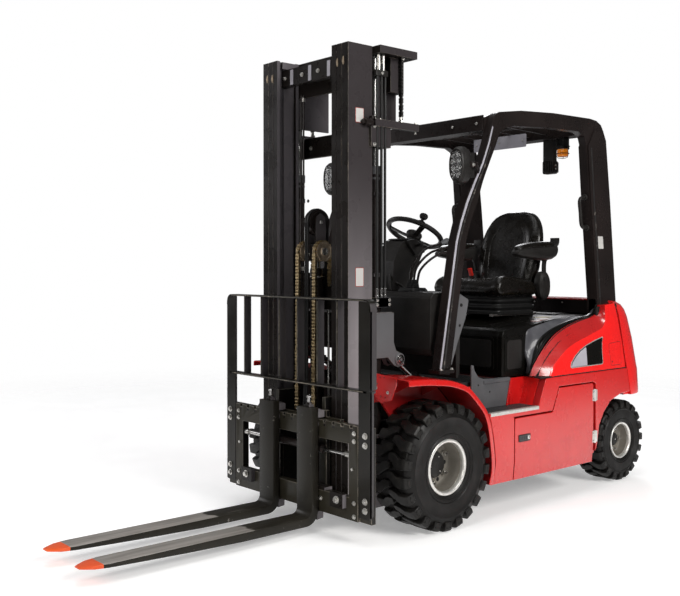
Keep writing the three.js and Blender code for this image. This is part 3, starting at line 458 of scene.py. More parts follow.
# ------------------------------------------------------------------ materials
class Tree:
    def __init__(self, name):
        self.mat = bpy.data.materials.new(name)
        self.mat.use_nodes = True
        self.nt = self.mat.node_tree
        self.nt.nodes.clear()
        out = self.nt.nodes.new("ShaderNodeOutputMaterial")
        self.b = self.nt.nodes.new("ShaderNodeBsdfPrincipled")
        self.nt.links.new(self.b.outputs[0], out.inputs[0])
        self.co = self.nt.nodes.new("ShaderNodeTexCoord").outputs["Object"]
        self.up = None

    def link(self, a, b):
        self.nt.links.new(a, b)

    def set(self, **k):
        for key, value in k.items():
            s = self.b.inputs[key.replace("_", " ")]
            if hasattr(value, "is_output") or isinstance(value, bpy.types.NodeSocket):
                self.link(value, s)
            else:
                s.default_value = (*value, 1.0) if isinstance(value, (tuple, list)) and len(value) == 3 else value
        return self

    def mapped(self, scale=(1, 1, 1), turn=(0, 0, 0), move=(0, 0, 0)):
        n = self.nt.nodes.new("ShaderNodeMapping")
        n.inputs["Scale"].default_value = scale
        n.inputs["Rotation"].default_value = turn
        n.inputs["Location"].default_value = move
        self.link(self.co, n.inputs["Vector"])
        return n.outputs[0]

    def noise(self, scale, detail=3.0, rough=0.5, vec=None, distortion=0.0):
        n = self.nt.nodes.new("ShaderNodeTexNoise")
        n.inputs["Scale"].default_value = scale
        n.inputs["Detail"].default_value = detail
        n.inputs["Roughness"].default_value = rough
        n.inputs["Distortion"].default_value = distortion
        self.link(vec or self.co, n.inputs["Vector"])
        return n.outputs["Fac"]

    def voronoi(self, scale, feature="F1", vec=None, randomness=1.0, out="Distance"):
        n = self.nt.nodes.new("ShaderNodeTexVoronoi")
        n.feature = feature
        n.inputs["Scale"].default_value = scale
        n.inputs["Randomness"].default_value = randomness
        self.link(vec or self.co, n.inputs["Vector"])
        return n.outputs[out]

    def wave(self, scale, vec=None, direction="X", distortion=0.0, detail=0.0):
        n = self.nt.nodes.new("ShaderNodeTexWave")
        n.bands_direction = direction
        n.inputs["Scale"].default_value = scale
        n.inputs["Distortion"].default_value = distortion
        n.inputs["Detail"].default_value = detail
        self.link(vec or self.co, n.inputs["Vector"])
        return n.outputs["Fac"]

    def span(self, value, lo, hi, a=0.0, b=1.0, smooth=True):
        n = self.nt.nodes.new("ShaderNodeMapRange")
        n.interpolation_type = "SMOOTHSTEP" if smooth else "LINEAR"
        n.inputs["From Min"].default_value, n.inputs["From Max"].default_value = lo, hi
        n.inputs["To Min"].default_value, n.inputs["To Max"].default_value = a, b
        self.link(value, n.inputs["Value"])
        return n.outputs["Result"]

    def math(self, op, a, b=None):
        n = self.nt.nodes.new("ShaderNodeMath")
        n.operation = op
        for s, x in zip(n.inputs, (a, b)):
            if x is None:
                continue
            if isinstance(x, (int, float)):
                s.default_value = x
            else:
                self.link(x, s)
        return n.outputs[0]

    def mix(self, fac, a, b):
        n = self.nt.nodes.new("ShaderNodeMix")
        n.data_type = "RGBA"
        ins = [s for s in n.inputs if s.enabled]
        f, ca, cb = n.inputs[0], n.inputs[6], n.inputs[7]
        if isinstance(fac, (int, float)):
            f.default_value = fac
        else:
            self.link(fac, f)
        for s, x in ((ca, a), (cb, b)):
            if isinstance(x, (tuple, list)):
                s.default_value = (*x[:3], 1.0)
            else:
                self.link(x, s)
        return n.outputs[2]

    def axis(self, name, of=None):
        n = self.nt.nodes.new("ShaderNodeSeparateXYZ")
        self.link(of or self.co, n.inputs[0])
        return n.outputs[name]

    def normal(self, name="Z"):
        g = self.nt.nodes.new("ShaderNodeNewGeometry")
        return self.axis(name, g.outputs["Normal"])

    def bump(self, height, strength=0.3, distance=0.001):
        n = self.nt.nodes.new("ShaderNodeBump")
        n.inputs["Strength"].default_value = strength
        n.inputs["Distance"].default_value = distance
        self.link(height, n.inputs["Height"])
        if self.up is not None:
            self.link(self.up, n.inputs["Normal"])
        self.up = n.outputs[0]
        self.link(self.up, self.b.inputs["Normal"])
        return self.up


def paint(name, base, deep, rough=(0.22, 0.34), coat=0.5, peel=0.05, dust=0.25, dust_colour=(0.32, 0.27, 0.22), grain=0.0, metallic=0.0, spec=0.5, side=None):
    """Sprayed paint: large soft changes of tone, orange peel, dust that settles low down and on ledges. With side,
    faces turned to +X take colours of their own, which paint light and shade on them.
    """
    t = Tree(name)
    big = t.noise(2.2, 3, 0.5)
    col = t.mix(t.span(big, 0.3, 0.7), base, deep)
    if side:                      # faces turned to +X take their own colour, going from side's first colour at the top to its second towards the bottom: painted reflection on the mast and backrest, painted shade on the carriage
        flank = t.span(t.normal("X"), 0.80, 0.97)
        shade = t.mix(t.math("MULTIPLY", t.span(t.axis("Z"), 1.75, 0.75), t.span(t.noise(2.2, 3, 0.5, t.mapped((3, 3, 0.6))), 0.25, 0.75, 0.55, 1.0)), side[0], side[1])
        if len(side) > 2:         # side's third colour is the palest painted reflection, on the far channels' faces turned to +X
            shade = t.mix(t.span(t.axis("X"), -0.05, -0.15), shade, side[2])
        col = t.mix(flank, col, shade)
    fine = t.noise(38.0, 5, 0.62)
    low = t.span(t.axis("Z"), 0.62, 0.05)
    ledge = t.span(t.normal("Z"), 0.55, 0.98, 0.0, 0.35)
    settle = t.math("MULTIPLY", t.math("ADD", low, ledge), t.span(fine, 0.42, 0.80))
    settle = t.math("MULTIPLY", settle, dust)
    col = t.mix(settle, col, dust_colour)
    r = t.span(t.noise(9.0, 4, 0.55), 0.3, 0.7, rough[0], rough[1])
    r = t.math("ADD", r, t.math("MULTIPLY", settle, 0.6))
    t.set(Base_Color=col, Roughness=r, Metallic=metallic)
    t.b.inputs["Coat Weight"].default_value = coat
    t.b.inputs["Coat Roughness"].default_value = 0.09
    t.b.inputs["Specular IOR Level"].default_value = spec
    t.bump(t.noise(420.0, 2, 0.5), peel, 0.0006)
    if grain:
        t.bump(t.noise(1500.0, 2, 0.6), grain, 0.0004)
    return t.mat


def edge_wear_and_highlight(name, base, bare, amount=(0.50, 0.62), scale=26.0, rough=(0.3, 0.5), metal=0.9):
    """An edge where paint has rubbed thin: bare metal shows in patches. With a lighter paint for bare and no metal, the
    patches are a painted highlight.
    """
    t = Tree(name)
    m = t.math("MULTIPLY", t.span(t.noise(scale, 6, 0.7), *amount), t.span(t.noise(5.0, 3, 0.5), 0.38, 0.62))
    t.set(Base_Color=t.mix(m, base, bare), Roughness=t.span(t.noise(60.0, 3, 0.6), 0.3, 0.7, *rough), Metallic=t.math("MULTIPLY", m, metal))
    t.bump(t.noise(300.0, 3, 0.5), 0.08, 0.0005)
    return t.mat


def rubber(name, base, dusty, grain=0.25, rough=(0.55, 0.8), dust=0.5):
    t = Tree(name)
    d = t.math("MULTIPLY", t.span(t.noise(30.0, 6, 0.65), 0.42, 0.72), dust)
    big = t.span(t.noise(6.0, 3, 0.5), 0.35, 0.7, 0.25, 1.0)
    col = t.mix(t.math("MULTIPLY", d, big), base, dusty)
    t.set(Base_Color=col, Roughness=t.span(t.noise(14.0, 4, 0.6), 0.3, 0.7, *rough))
    t.b.inputs["Specular IOR Level"].default_value = 0.22
    t.bump(t.noise(900.0, 3, 0.6), grain * 0.6, 0.0005)
    t.bump(t.noise(60.0, 4, 0.55), 0.10, 0.0012)
    return t.mat


def plastic(name, base, lighter, grain=0.35, scale=1100.0, rough=(0.38, 0.55), coat=0.0, spec=0.18):
    """Moulded plastic with a fine eroded grain."""
    t = Tree(name)
    col = t.mix(t.span(t.noise(7.0, 4, 0.6), 0.35, 0.75), base, lighter)
    t.set(Base_Color=col, Roughness=t.span(t.noise(20.0, 4, 0.6), 0.3, 0.7, *rough))
    t.b.inputs["Coat Weight"].default_value = coat
    t.b.inputs["Coat Roughness"].default_value = 0.15
    t.b.inputs["Specular IOR Level"].default_value = spec
    t.bump(t.voronoi(scale, "F1"), grain, 0.0004)
    t.bump(t.noise(scale * 0.35, 3, 0.5), grain * 0.5, 0.0004)
    return t.mat


def vinyl(name, base, lighter):
    """Seat vinyl: pebbled leather grain with shallow creases and a soft shine."""
    t = Tree(name)
    col = t.mix(t.span(t.noise(9.0, 4, 0.6), 0.35, 0.75), base, lighter)
    t.set(Base_Color=col, Roughness=t.span(t.noise(24.0, 4, 0.6), 0.3, 0.7, 0.20, 0.34))
    t.b.inputs["Coat Weight"].default_value = 0.07
    t.b.inputs["Coat Roughness"].default_value = 0.14
    t.b.inputs["Specular IOR Level"].default_value = 0.26
    t.bump(t.span(t.voronoi(520.0, "DISTANCE_TO_EDGE"), 0.0, 0.18), 0.10, 0.0004)
    t.bump(t.noise(24.0, 3, 0.5), 0.07, 0.0014)
    return t.mat


def metal(name, base, darker, rough=(0.2, 0.34), streak=None, bump=0.08, stain=0.2, metallic=1.0):
    """Bare or plated metal. streak stretches its brushing along one axis."""
    t = Tree(name)
    vec = t.mapped(streak) if streak else t.co
    n = t.noise(60.0, 5, 0.6, vec)
    col = t.mix(t.span(n, 0.35, 0.7), base, darker)
    col = t.mix(t.math("MULTIPLY", t.span(t.noise(17.0, 5, 0.7), 0.5, 0.8), stain), col, tuple(c * 0.35 for c in darker))
    t.set(Base_Color=col, Roughness=t.span(n, 0.3, 0.7, *rough), Metallic=metallic)
    t.bump(t.noise(180.0, 4, 0.6, vec), bump, 0.0004)
    return t.mat


RED = paint("paint_red", (0.60, 0.0090, 0.0075), (0.50, 0.0060, 0.0065), rough=(0.20, 0.30), coat=0.7, peel=0.035, dust=0.10, dust_colour=(0.42, 0.10, 0.07))
RED_TOP = paint("paint_red_cover", (0.86, 0.0105, 0.0090), (0.76, 0.0085, 0.0082), rough=(0.20, 0.30), coat=0.6, peel=0.03, dust=0.06, dust_colour=(0.55, 0.10, 0.07))
# a darker copy of the red for inner and hidden faces: painted shade, with heavier dust
RED_IN_SHADE_DUST = paint("paint_red_inner_shade_dust", (0.40, 0.008, 0.009), (0.26, 0.005, 0.006), rough=(0.34, 0.5), coat=0.2, peel=0.06, dust=0.5, dust_colour=(0.12, 0.05, 0.04))
# a darker copy of the red for the band that falls from the ridge to the hood: painted shade
RED_BAND_SHADE = paint("paint_red_band_shade", (0.44, 0.0064, 0.0060), (0.38, 0.0050, 0.0052), rough=(0.24, 0.34), coat=0.5, peel=0.035, dust=0.12, dust_colour=(0.30, 0.06, 0.045))
# a lighter red on the side covers' bevelled edges, the ridge among them: a painted highlight
RED_RIDGE_HIGHLIGHT = edge_wear_and_highlight("paint_red_ridge_highlight", (0.70, 0.03, 0.018), (0.78, 0.10, 0.06), rough=(0.22, 0.32), metal=0.0)
BLACK = paint("paint_black", (0.0090, 0.0070, 0.0066), (0.0165, 0.0122, 0.0114), rough=(0.24, 0.36), coat=0.05, peel=0.10, dust=0.16, dust_colour=(0.05, 0.043, 0.036), grain=0.05, spec=0.16)
BLACK_EDGE = edge_wear_and_highlight("paint_black_edge", (0.015, 0.014, 0.014), (0.26, 0.23, 0.20), amount=(0.52, 0.66), metal=0.7)
# faces turned to +X get a painted reflection: a grey that pales towards the bottom, palest on the far channels
MAST = paint("paint_mast", (0.0072, 0.0058, 0.0052), (0.0125, 0.0100, 0.0088), rough=(0.24, 0.36), coat=0.05, peel=0.06, dust=0.10, dust_colour=(0.06, 0.05, 0.04), grain=0.04, spec=0.16, side=((0.036, 0.031, 0.0325), (0.250, 0.230, 0.240), (0.105, 0.096, 0.103)))
# a lighter, olive copy of the mast black: painted light on the carriage's front faces; faces turned to +X are darker
# again, a painted shade
CARR_PAINTED_LIGHT = paint("paint_carriage_painted_light", (0.0190, 0.0168, 0.0112), (0.0290, 0.0256, 0.0175), rough=(0.30, 0.44), coat=0.08, peel=0.10, dust=0.25, dust_colour=(0.07, 0.06, 0.045), grain=0.05, spec=0.2, side=((0.006, 0.0055, 0.005), (0.010, 0.009, 0.0085)))
# faces turned to +X get a painted reflection: a grey that darkens towards the bottom
POST = paint("paint_post", (0.0060, 0.0052, 0.0036), (0.0100, 0.0086, 0.0060), rough=(0.28, 0.40), coat=0.12, peel=0.10, dust=0.15, dust_colour=(0.06, 0.05, 0.04), grain=0.04, spec=0.2, side=((0.07, 0.064, 0.068), (0.05, 0.046, 0.048)))
# a lighter plastic for the hood's flanks, standing in for light on them: a painted sheen
FLANK_PAINTED_SHEEN = plastic("plastic_painted_sheen", (0.055, 0.055, 0.062), (0.10, 0.10, 0.108), grain=0.02, scale=700.0, rough=(0.30, 0.40), coat=0.3)
MAST_EDGE = edge_wear_and_highlight("paint_mast_edge", (0.085, 0.077, 0.062), (0.36, 0.31, 0.25), amount=(0.42, 0.60), scale=34.0, metal=0.6)
GREY = paint("paint_grey", (0.115, 0.115, 0.12), (0.085, 0.085, 0.09), rough=(0.32, 0.45), coat=0.2, peel=0.10, dust=0.2, dust_colour=(0.16, 0.14, 0.12), grain=0.08)
GREY_EDGE = edge_wear_and_highlight("paint_grey_edge", (0.14, 0.14, 0.145), (0.5, 0.47, 0.43), amount=(0.5, 0.66), metal=0.7)
IRON = paint("iron_black", (0.020, 0.020, 0.021), (0.032, 0.029, 0.027), rough=(0.45, 0.62), coat=0.0, peel=0.35, dust=0.6, dust_colour=(0.10, 0.085, 0.07), grain=0.3)
TYRE = rubber("rubber_tyre", (0.0044, 0.0038, 0.0034), (0.014, 0.012, 0.010), rough=(0.38, 0.6))
TYRE_LUG = rubber("rubber_lug", (0.0080, 0.0074, 0.0070), (0.034, 0.031, 0.026), grain=0.3, rough=(0.32, 0.55), dust=0.6)
SEAL = rubber("rubber_seal", (0.012, 0.012, 0.012), (0.03, 0.028, 0.026), rough=(0.4, 0.6), dust=0.2)
HOSE = rubber("rubber_hose", (0.014, 0.014, 0.014), (0.035, 0.032, 0.03), rough=(0.34, 0.5), dust=0.3)
MATRUB = rubber("rubber_mat", (0.016, 0.016, 0.017), (0.055, 0.050, 0.045), grain=0.4, rough=(0.6, 0.85), dust=0.7)
PLASTIC = plastic("plastic_black", (0.0110, 0.0100, 0.0094), (0.0175, 0.0160, 0.0148), rough=(0.34, 0.5), spec=0.22)
PLASTIC_GLOSS = plastic("plastic_hood", (0.0025, 0.0023, 0.0019), (0.0045, 0.0040, 0.0030), grain=0.015, scale=800.0, rough=(0.26, 0.36), coat=0.10, spec=0.12)
PLASTIC_GREY = plastic("plastic_grey", (0.070, 0.071, 0.076), (0.098, 0.098, 0.103), rough=(0.36, 0.5))
PLASTIC_LIGHT = plastic("plastic_light", (0.34, 0.33, 0.37), (0.42, 0.41, 0.45), grain=0.15, rough=(0.4, 0.5))
VINYL = vinyl("vinyl_seat", (0.0040, 0.0032, 0.0024), (0.0072, 0.0058, 0.0044))
CHROME = metal("chrome", (0.58, 0.57, 0.56), (0.50, 0.49, 0.48), rough=(0.16, 0.22), streak=(1, 1, 0.05), bump=0.004, stain=0.02)
ZINC = metal("zinc_plate", (0.66, 0.65, 0.62), (0.46, 0.44, 0.41), rough=(0.24, 0.4), bump=0.12, stain=0.35)
STEEL = metal("steel_bare", (0.36, 0.345, 0.33), (0.22, 0.205, 0.19), rough=(0.3, 0.46), bump=0.15, stain=0.5)
BRASS = metal("chain_plate", (0.50, 0.385, 0.215), (0.34, 0.25, 0.135), rough=(0.30, 0.46), bump=0.15, stain=0.6)
CHAIN = metal("chain_black", (0.035, 0.033, 0.031), (0.018, 0.017, 0.016), rough=(0.28, 0.45), bump=0.2, stain=0.3, metallic=0.6)
SILVER = metal("silver_ring", (0.80, 0.79, 0.76), (0.66, 0.65, 0.61), rough=(0.28, 0.42), bump=0.10, stain=0.12, metallic=0.75)
DISH = paint("paint_dish", (0.27, 0.25, 0.215), (0.20, 0.185, 0.16), rough=(0.34, 0.5), coat=0.1, peel=0.2, dust=0.5, dust_colour=(0.16, 0.13, 0.10), grain=0.15, metallic=0.35)
ROLLER = metal("roller_tan", (0.50, 0.40, 0.29), (0.30, 0.23, 0.16), rough=(0.3, 0.42), bump=0.1, stain=0.3, metallic=0.6)
ORANGE = paint("paint_orange", (0.86, 0.115, 0.012), (0.74, 0.080, 0.010), rough=(0.35, 0.5), coat=0.1, peel=0.10, dust=0.12, dust_colour=(0.3, 0.12, 0.06), grain=0.1)
LABEL = paint("label_blank", (0.58, 0.57, 0.55), (0.50, 0.49, 0.47), rough=(0.3, 0.4), coat=0.3, peel=0.02, dust=0.1)
LABEL_EDGE = paint("label_border", (0.38, 0.045, 0.03), (0.30, 0.035, 0.025), rough=(0.3, 0.4), coat=0.3, peel=0.02, dust=0.1)
LABEL_GOLD = paint("label_gold", (0.34, 0.26, 0.10), (0.28, 0.21, 0.08), rough=(0.3, 0.4), coat=0.3, peel=0.02, dust=0.1)
RUBY = paint("seal_red", (0.12, 0.006, 0.012), (0.08, 0.005, 0.009), rough=(0.3, 0.4), coat=0.3, peel=0.02, dust=0.1)
BELT_RED = plastic("buckle_red", (0.55, 0.02, 0.012), (0.62, 0.03, 0.02), grain=0.1)


def tread_plate():
    """Anti-slip sheet: small raised grains all over."""
    t = Tree("step_grip")
    n = t.voronoi(150.0, "F1")
    h = t.span(n, 0.0, 0.45, 1.0, 0.0)
    worn_top = t.span(t.noise(16.0, 5, 0.6), 0.40, 0.68)
    c = t.mix(t.math("MULTIPLY", h, worn_top), (0.012, 0.012, 0.013), (0.30, 0.29, 0.28))
    t.set(Base_Color=c, Roughness=t.span(n, 0.1, 0.5, 0.32, 0.7), Metallic=t.math("MULTIPLY", h, 0.3))
    t.bump(h, 0.6, 0.0018)
    return t.mat


def fork_steel():
    """Black paint on a forged blade, rubbed to bare steel along the load face."""
    t = Tree("fork_steel")
    y, z, nz = t.axis("Y"), t.axis("Z"), t.normal("Z")
    along = t.mapped((30.0, 1.2, 30.0))
    edge = t.math("ADD", t.span(t.noise(1.0, 4, 0.6, t.mapped((9, 2, 9))), 0.3, 0.7, -0.02, 0.02), y)
    bare = t.math("MULTIPLY", t.span(edge, -0.905, -0.925), t.span(nz, 0.6, 0.9))
    patch = t.math("MULTIPLY", bare, t.span(t.noise(3.0, 5, 0.65, along), 0.16, 0.42, 0.55, 1.0))
    heel = t.math("MULTIPLY", t.span(t.noise(3.0, 5, 0.65, along), 0.58, 0.72, 0.0, 0.5), t.math("MULTIPLY", t.span(nz, 0.6, 0.9), t.span(y, -0.62, -0.9)))
    scuff = t.math("MULTIPLY", t.span(t.noise(30.0, 6, 0.7), 0.63, 0.72), 0.35)
    m = t.math("MAXIMUM", t.math("MAXIMUM", patch, heel), scuff)
    steel = t.mix(t.span(t.noise(2.0, 6, 0.6, along), 0.3, 0.7), (0.40, 0.365, 0.33), (0.60, 0.56, 0.52))
    t.b.inputs["Specular IOR Level"].default_value = 0.2
    black = t.mix(t.span(t.noise(4.0, 4, 0.55), 0.3, 0.7), (0.0120, 0.0105, 0.0078), (0.0200, 0.0176, 0.0130))
    t.set(Base_Color=t.mix(m, black, steel), Roughness=t.span(t.noise(8.0, 5, 0.6, along), 0.3, 0.7, 0.34, 0.48), Metallic=t.math("MULTIPLY", m, 0.75))
    t.bump(t.noise(4.0, 5, 0.6, along), 0.10, 0.0008)
    t.bump(t.noise(500.0, 3, 0.55), 0.10, 0.0004)
    return t.mat


def lens(name, colour, facets=260.0, rough=0.06, emit=None):
    t = Tree(name)
    cell = t.voronoi(facets, "F1", randomness=0.1)
    t.set(Base_Color=t.mix(t.span(cell, 0.1, 0.6), colour, tuple(c * 0.55 for c in colour)), Roughness=t.span(cell, 0.0, 0.6, rough, rough + 0.12))
    t.b.inputs["Coat Weight"].default_value = 1.0
    t.b.inputs["Coat Roughness"].default_value = 0.03
    t.b.inputs["Transmission Weight"].default_value = 0.25
    t.b.inputs["IOR"].default_value = 1.49
    if emit:
        t.b.inputs["Emission Color"].default_value = (*colour, 1.0)
        t.b.inputs["Emission Strength"].default_value = emit
    t.bump(cell, 0.25, 0.0012)
    return t.mat


GRIP = tread_plate()
FORK = fork_steel()
LENS = lens("lens_clear", (0.80, 0.80, 0.78), 420.0)
AMBER = lens("lens_amber", (0.95, 0.30, 0.02), 300.0, emit=0.25)
LENS_RED = lens("lens_red", (0.55, 0.01, 0.01), 300.0)
GLASS_DARK = lens("lens_dark", (0.015, 0.015, 0.018), 60.0, 0.05)


# ------------------------------------------------------------------ wheels
def tyre(cy, cz, R, xi, xo, groove, bead, lugs, knee, lugw, phase):
    """A solid industrial tyre: stepped side walls, and a chevron tread of staggered blocks."""
    base = R - groove
    mid = (xi + xo) / 2

    def wall(s):                   # s = 1 outer, -1 inner: from the bead out to the shoulder
        e = xo if s > 0 else xi
        q = lambda r, d: (r, e - s * d)
        k = (R - bead) / 166.0
        return [q(bead, 14), q(bead + 4 * k, 11), q(bead + 14 * k, 8), q(bead + 17 * k, 3.6), q(bead + 22 * k, 2.6), q(bead + 26 * k, 5.5), q(bead + 30 * k, 5.2),
                q(bead + 34 * k, 1.8), q(bead + 60 * k, 1.0), q(bead + 92 * k, 2.2), q(bead + 96 * k, 0.0), q(bead + 101 * k, 0.0), q(bead + 105 * k, 3.4),
                q(bead + 116 * k, 5.5), q(base - 22, 10), q(base - 8, 15), q(base - 2, 22), q(base, 32)]
    prof = [(r, x) for r, x in wall(-1)] + [(base + 1.5, mid)] + [(r, x) for r, x in reversed(wall(1))]
    prof.append(prof[0])
    carcass = lathe(prof, (1, 0, 0), (0, cy, cz), 96)

    def at(x, r, s):
        a = s / R
        return (x, cy + r * math.sin(a), cz + r * math.cos(a))

    pitch = 2 * math.pi * R / lugs
    blocks = []
    for side in (1, -1):
        e = xo if side > 0 else xi
        X = lambda d: e - side * d          # d inboard from the side wall
        half = abs(e - mid)
        # stations from the side wall over the shoulder to past the middle: (d, outer radius, d of the root, root radius, shift along the tread, width)
        st = [(6.5, R - 50, 16, R - 52, 0, lugw * 0.86), (1.5, R - 44, 18, R - 46, 0, lugw * 0.92), (0.6, R - 26, 22, R - 32, 0, lugw * 0.98), (3.0, R - 12, 30, base - 3, 0, lugw),
              (9.0, R - 4, 38, base - 3, 0, lugw), (20, R - 0.6, 44, base - 3, 0, lugw), (34, R, 46, base - 3, 0, lugw),
              (half * 0.50, R, half * 0.50, base - 3, 0.0, lugw * 0.98), (half * 0.66, R, half * 0.66, base - 3, knee * 0.55, lugw * 0.98), (half * 0.86, R, half * 0.86, base - 3, knee, lugw * 0.82), (half + 5, R, half + 5, base - 3, knee * 1.12, lugw * 0.56)]
        for n in range(lugs):
            s0 = (n + (0.5 if side < 0 else 0.0)) * pitch + phase
            rows = []
            for k, (d, ro, di, ri, sh, w) in enumerate(st):
                c = 2.6
                sh2 = sh * 1.0
                sl, sr = s0 + sh2 - w / 2, s0 + sh2 + w / 2
                end = k in (0, len(st) - 1)
                t = 0.10                     # how far down the flank the chamfer starts
                do, rr = d, ro
                if end:                      # the end's own chamfer
                    do, rr = d + (di - d) * 0.16, ro + (ri - ro) * 0.10
                m = (do + (di - do) * t, rr + (ri - rr) * t)
                rows.append([at(X(di), ri, sl - 1.5), at(X(m[0]), m[1], sl), at(X(do), rr, sl + c), at(X(do), rr, (sl + sr) / 2), at(X(do), rr, sr - c), at(X(m[0]), m[1], sr), at(X(di), ri, sr + 1.5)])
            blocks.append(loft(rows))
            # shallow pocket frame on the shoulder face
            x0, x1 = X(0.2), X(5)
            w = lugw * 0.30
            fr = []
            for (r0, r1, a0, a1) in ((R - 42, R - 38, -w, w), (R - 22, R - 18, -w, w), (R - 42, R - 18, -w, -w + 3.5), (R - 42, R - 18, w - 3.5, w)):
                fr.append(loft([[at(x0, r0, s0 + a0), at(x0, r1, s0 + a0), at(x0, r1, s0 + a1), at(x0, r0, s0 + a1)], [at(x1, r0, s0 + a0), at(x1, r1, s0 + a0), at(x1, r1, s0 + a1), at(x1, r0, s0 + a1)]]))
            blocks.append(join_parts(*fr))
    return carcass, join_parts(*blocks)


def front_wheel(side, label):
    m = (lambda p: p) if side > 0 else flip
    cx, cz = 0.0, 298.5
    carcass, blocks = tyre(0.0, cz, 298.5, 367, 592, 21, 133, 22, 26, 50, 7.0 * side)
    body = f"front_wheel_{label}"
    piece(f"front_tyre_{label}_rubber", body, [(m(carcass), 0), (m(blocks), 1)], [TYRE, TYRE_LUG], bevel=0, replaces=f"front_tyre_{label}", slot="tyre")
    c = (0, 0, cz)
    ax = (1, 0, 0)
    ring = lathe([(113, 560), (114, 572), (117, 577.5), (121, 579), (127, 579), (131, 577), (132.6, 573), (132.6, 552), (128, 540), (121, 536), (116.5, 545), (113, 560)], ax, c, 72)
    dish = lathe([(129, 380), (132, 384), (132, 396), (126, 404), (124, 470), (126, 536), (121.5, 550), (116.8, 560), (114.5, 556), (113, 500), (111, 484), (106, 478), (98, 476),
                  (72, 476), (68, 479), (66, 486), (60, 486), (60, 462), (100, 462), (118, 462), (120, 404), (116, 398), (116, 386), (120, 381), (129, 380)], ax, c, 72)
    cap = lathe([(0, 509), (4, 509), (5, 507.5), (9, 507.5), (10, 508.5), (44, 507.2), (57, 504.5), (61, 500), (62.5, 492), (62.5, 470), (64, 468), (64, 440), (96, 430), (96, 362), (0, 362)], ax, c, 64)
    oil = join_parts(*[caphead((508.2 - 3.5, 40 * math.sin(a), cz + 40 * math.cos(a)), ax, 3.2, 4.5) for a in (0.4, 2.5, 4.6)])
    nuts, studs, cones = [], [], []
    for k in range(6):
        a = math.radians(60 * k + 2)
        p = (476.0, 89 * math.sin(a), cz + 89 * math.cos(a))
        cones.append(lathe([(0, 0), (15.5, 0), (15.5, 2.5), (12, 8.5), (0, 8.5)], ax, p, 24))
        nuts.append(lathe([(0, 6), (11.6, 6), (11.6, 19), (10.2, 21), (0, 21)], ax, p, 6))
        studs.append(lathe([(0, 18), (5.6, 18), (5.6, 29), (4.6, 31), (0, 31)], ax, p, 16))
    holes = [lathe([(0, 0), (10, 0), (10, 1.2), (0, 1.2)], ax, (475.6, 89 * math.sin(a), cz + 89 * math.cos(a)), 20) for a in [math.radians(60 * k + 32) for k in range(6)]]
    valve = hose([(478, 30, cz + 96), (500, 30, cz + 97), (520, 33, cz + 100)], 3.4, 10)
    piece(f"front_rim_{label}_dish", body, [(m(dish), 0), (m(ring), 1), (m(cap), 2), (m(oil), 3)] + [(m(x), 3) for x in nuts] + [(m(x), 4) for x in studs] + [(m(x), 3) for x in cones] + [(m(x), 5) for x in holes] + [(m(valve), 5)],
          [DISH, SILVER, PLASTIC, ZINC, STEEL, SEAL], bevel=0.7, angle=40, replaces=f"front_rim_{label}", slot="rim")


def rear_wheel(side, label):
    m = (lambda p: p) if side > 0 else flip
    cy, cz = 1540.5, 231.6
    carcass, blocks = tyre(cy, cz, 231.6, 360, 533, 17, 105.5, 20, 20, 41, 4.0 * side)
    body = f"rear_wheel_{label}"
    piece(f"rear_tyre_{label}_rubber", body, [(m(carcass), 0), (m(blocks), 1)], [TYRE, TYRE_LUG], bevel=0, replaces=f"rear_tyre_{label}", slot="tyre")
    c, ax = (0, cy, cz), (1, 0, 0)
    ring = lathe([(90, 508), (91, 520), (93.5, 524), (97, 526), (101.5, 526), (104, 523.5), (105, 519), (105, 505), (101, 496), (95, 493), (91.5, 499), (90, 508)], ax, c, 64)
    dish = lathe([(101, 370), (104, 373), (104, 384), (99, 392), (99.6, 470), (100, 494), (94, 502), (90.6, 508), (88.8, 500), (86, 474), (82, 466), (76, 464),
                  (44, 465.5), (42, 467.5), (38, 467.5), (38, 446.3), (97, 446.3), (97, 392), (93, 386), (93, 373), (96, 370), (101, 370)], ax, c, 64)
    cap = lathe([(0, 488), (18, 487.6), (30, 485.5), (35, 481), (37, 474), (38.5, 468), (38.5, 452), (0, 452)], ax, c, 48)
    parts = [(m(dish), 0), (m(ring), 1), (m(cap), 2)]
    for k in range(5):
        a = math.radians(72 * k + 20)
        p = (464.5, cy + 61 * math.sin(a), cz + 61 * math.cos(a))
        parts += [(m(lathe([(0, 0), (12, 0), (12, 2), (9.5, 6.5), (0, 6.5)], ax, p, 20)), 3), (m(lathe([(0, 5), (9.6, 5), (9.6, 15), (8.4, 16.6), (0, 16.6)], ax, p, 6)), 3),
                  (m(lathe([(0, 14), (4.8, 14), (4.8, 22), (4, 23.4), (0, 23.4)], ax, p, 14)), 4)]
    parts.append((m(caphead((486.5, cy, cz), ax, 4.5, 4)), 3))
    piece(f"rear_rim_{label}_dish", body, parts, [DISH, SILVER, PLASTIC, ZINC, STEEL], bevel=0.7, angle=40, replaces=f"rear_rim_{label}", slot="rim")


for side, label in ((1, "left"), (-1, "right")):
    front_wheel(side, label)
    rear_wheel(side, label)
    refine(f"knuckle_{label}", f"knuckle_{label}_casting", f"knuckle_{label}", [IRON, STEEL], bevel=2.0)


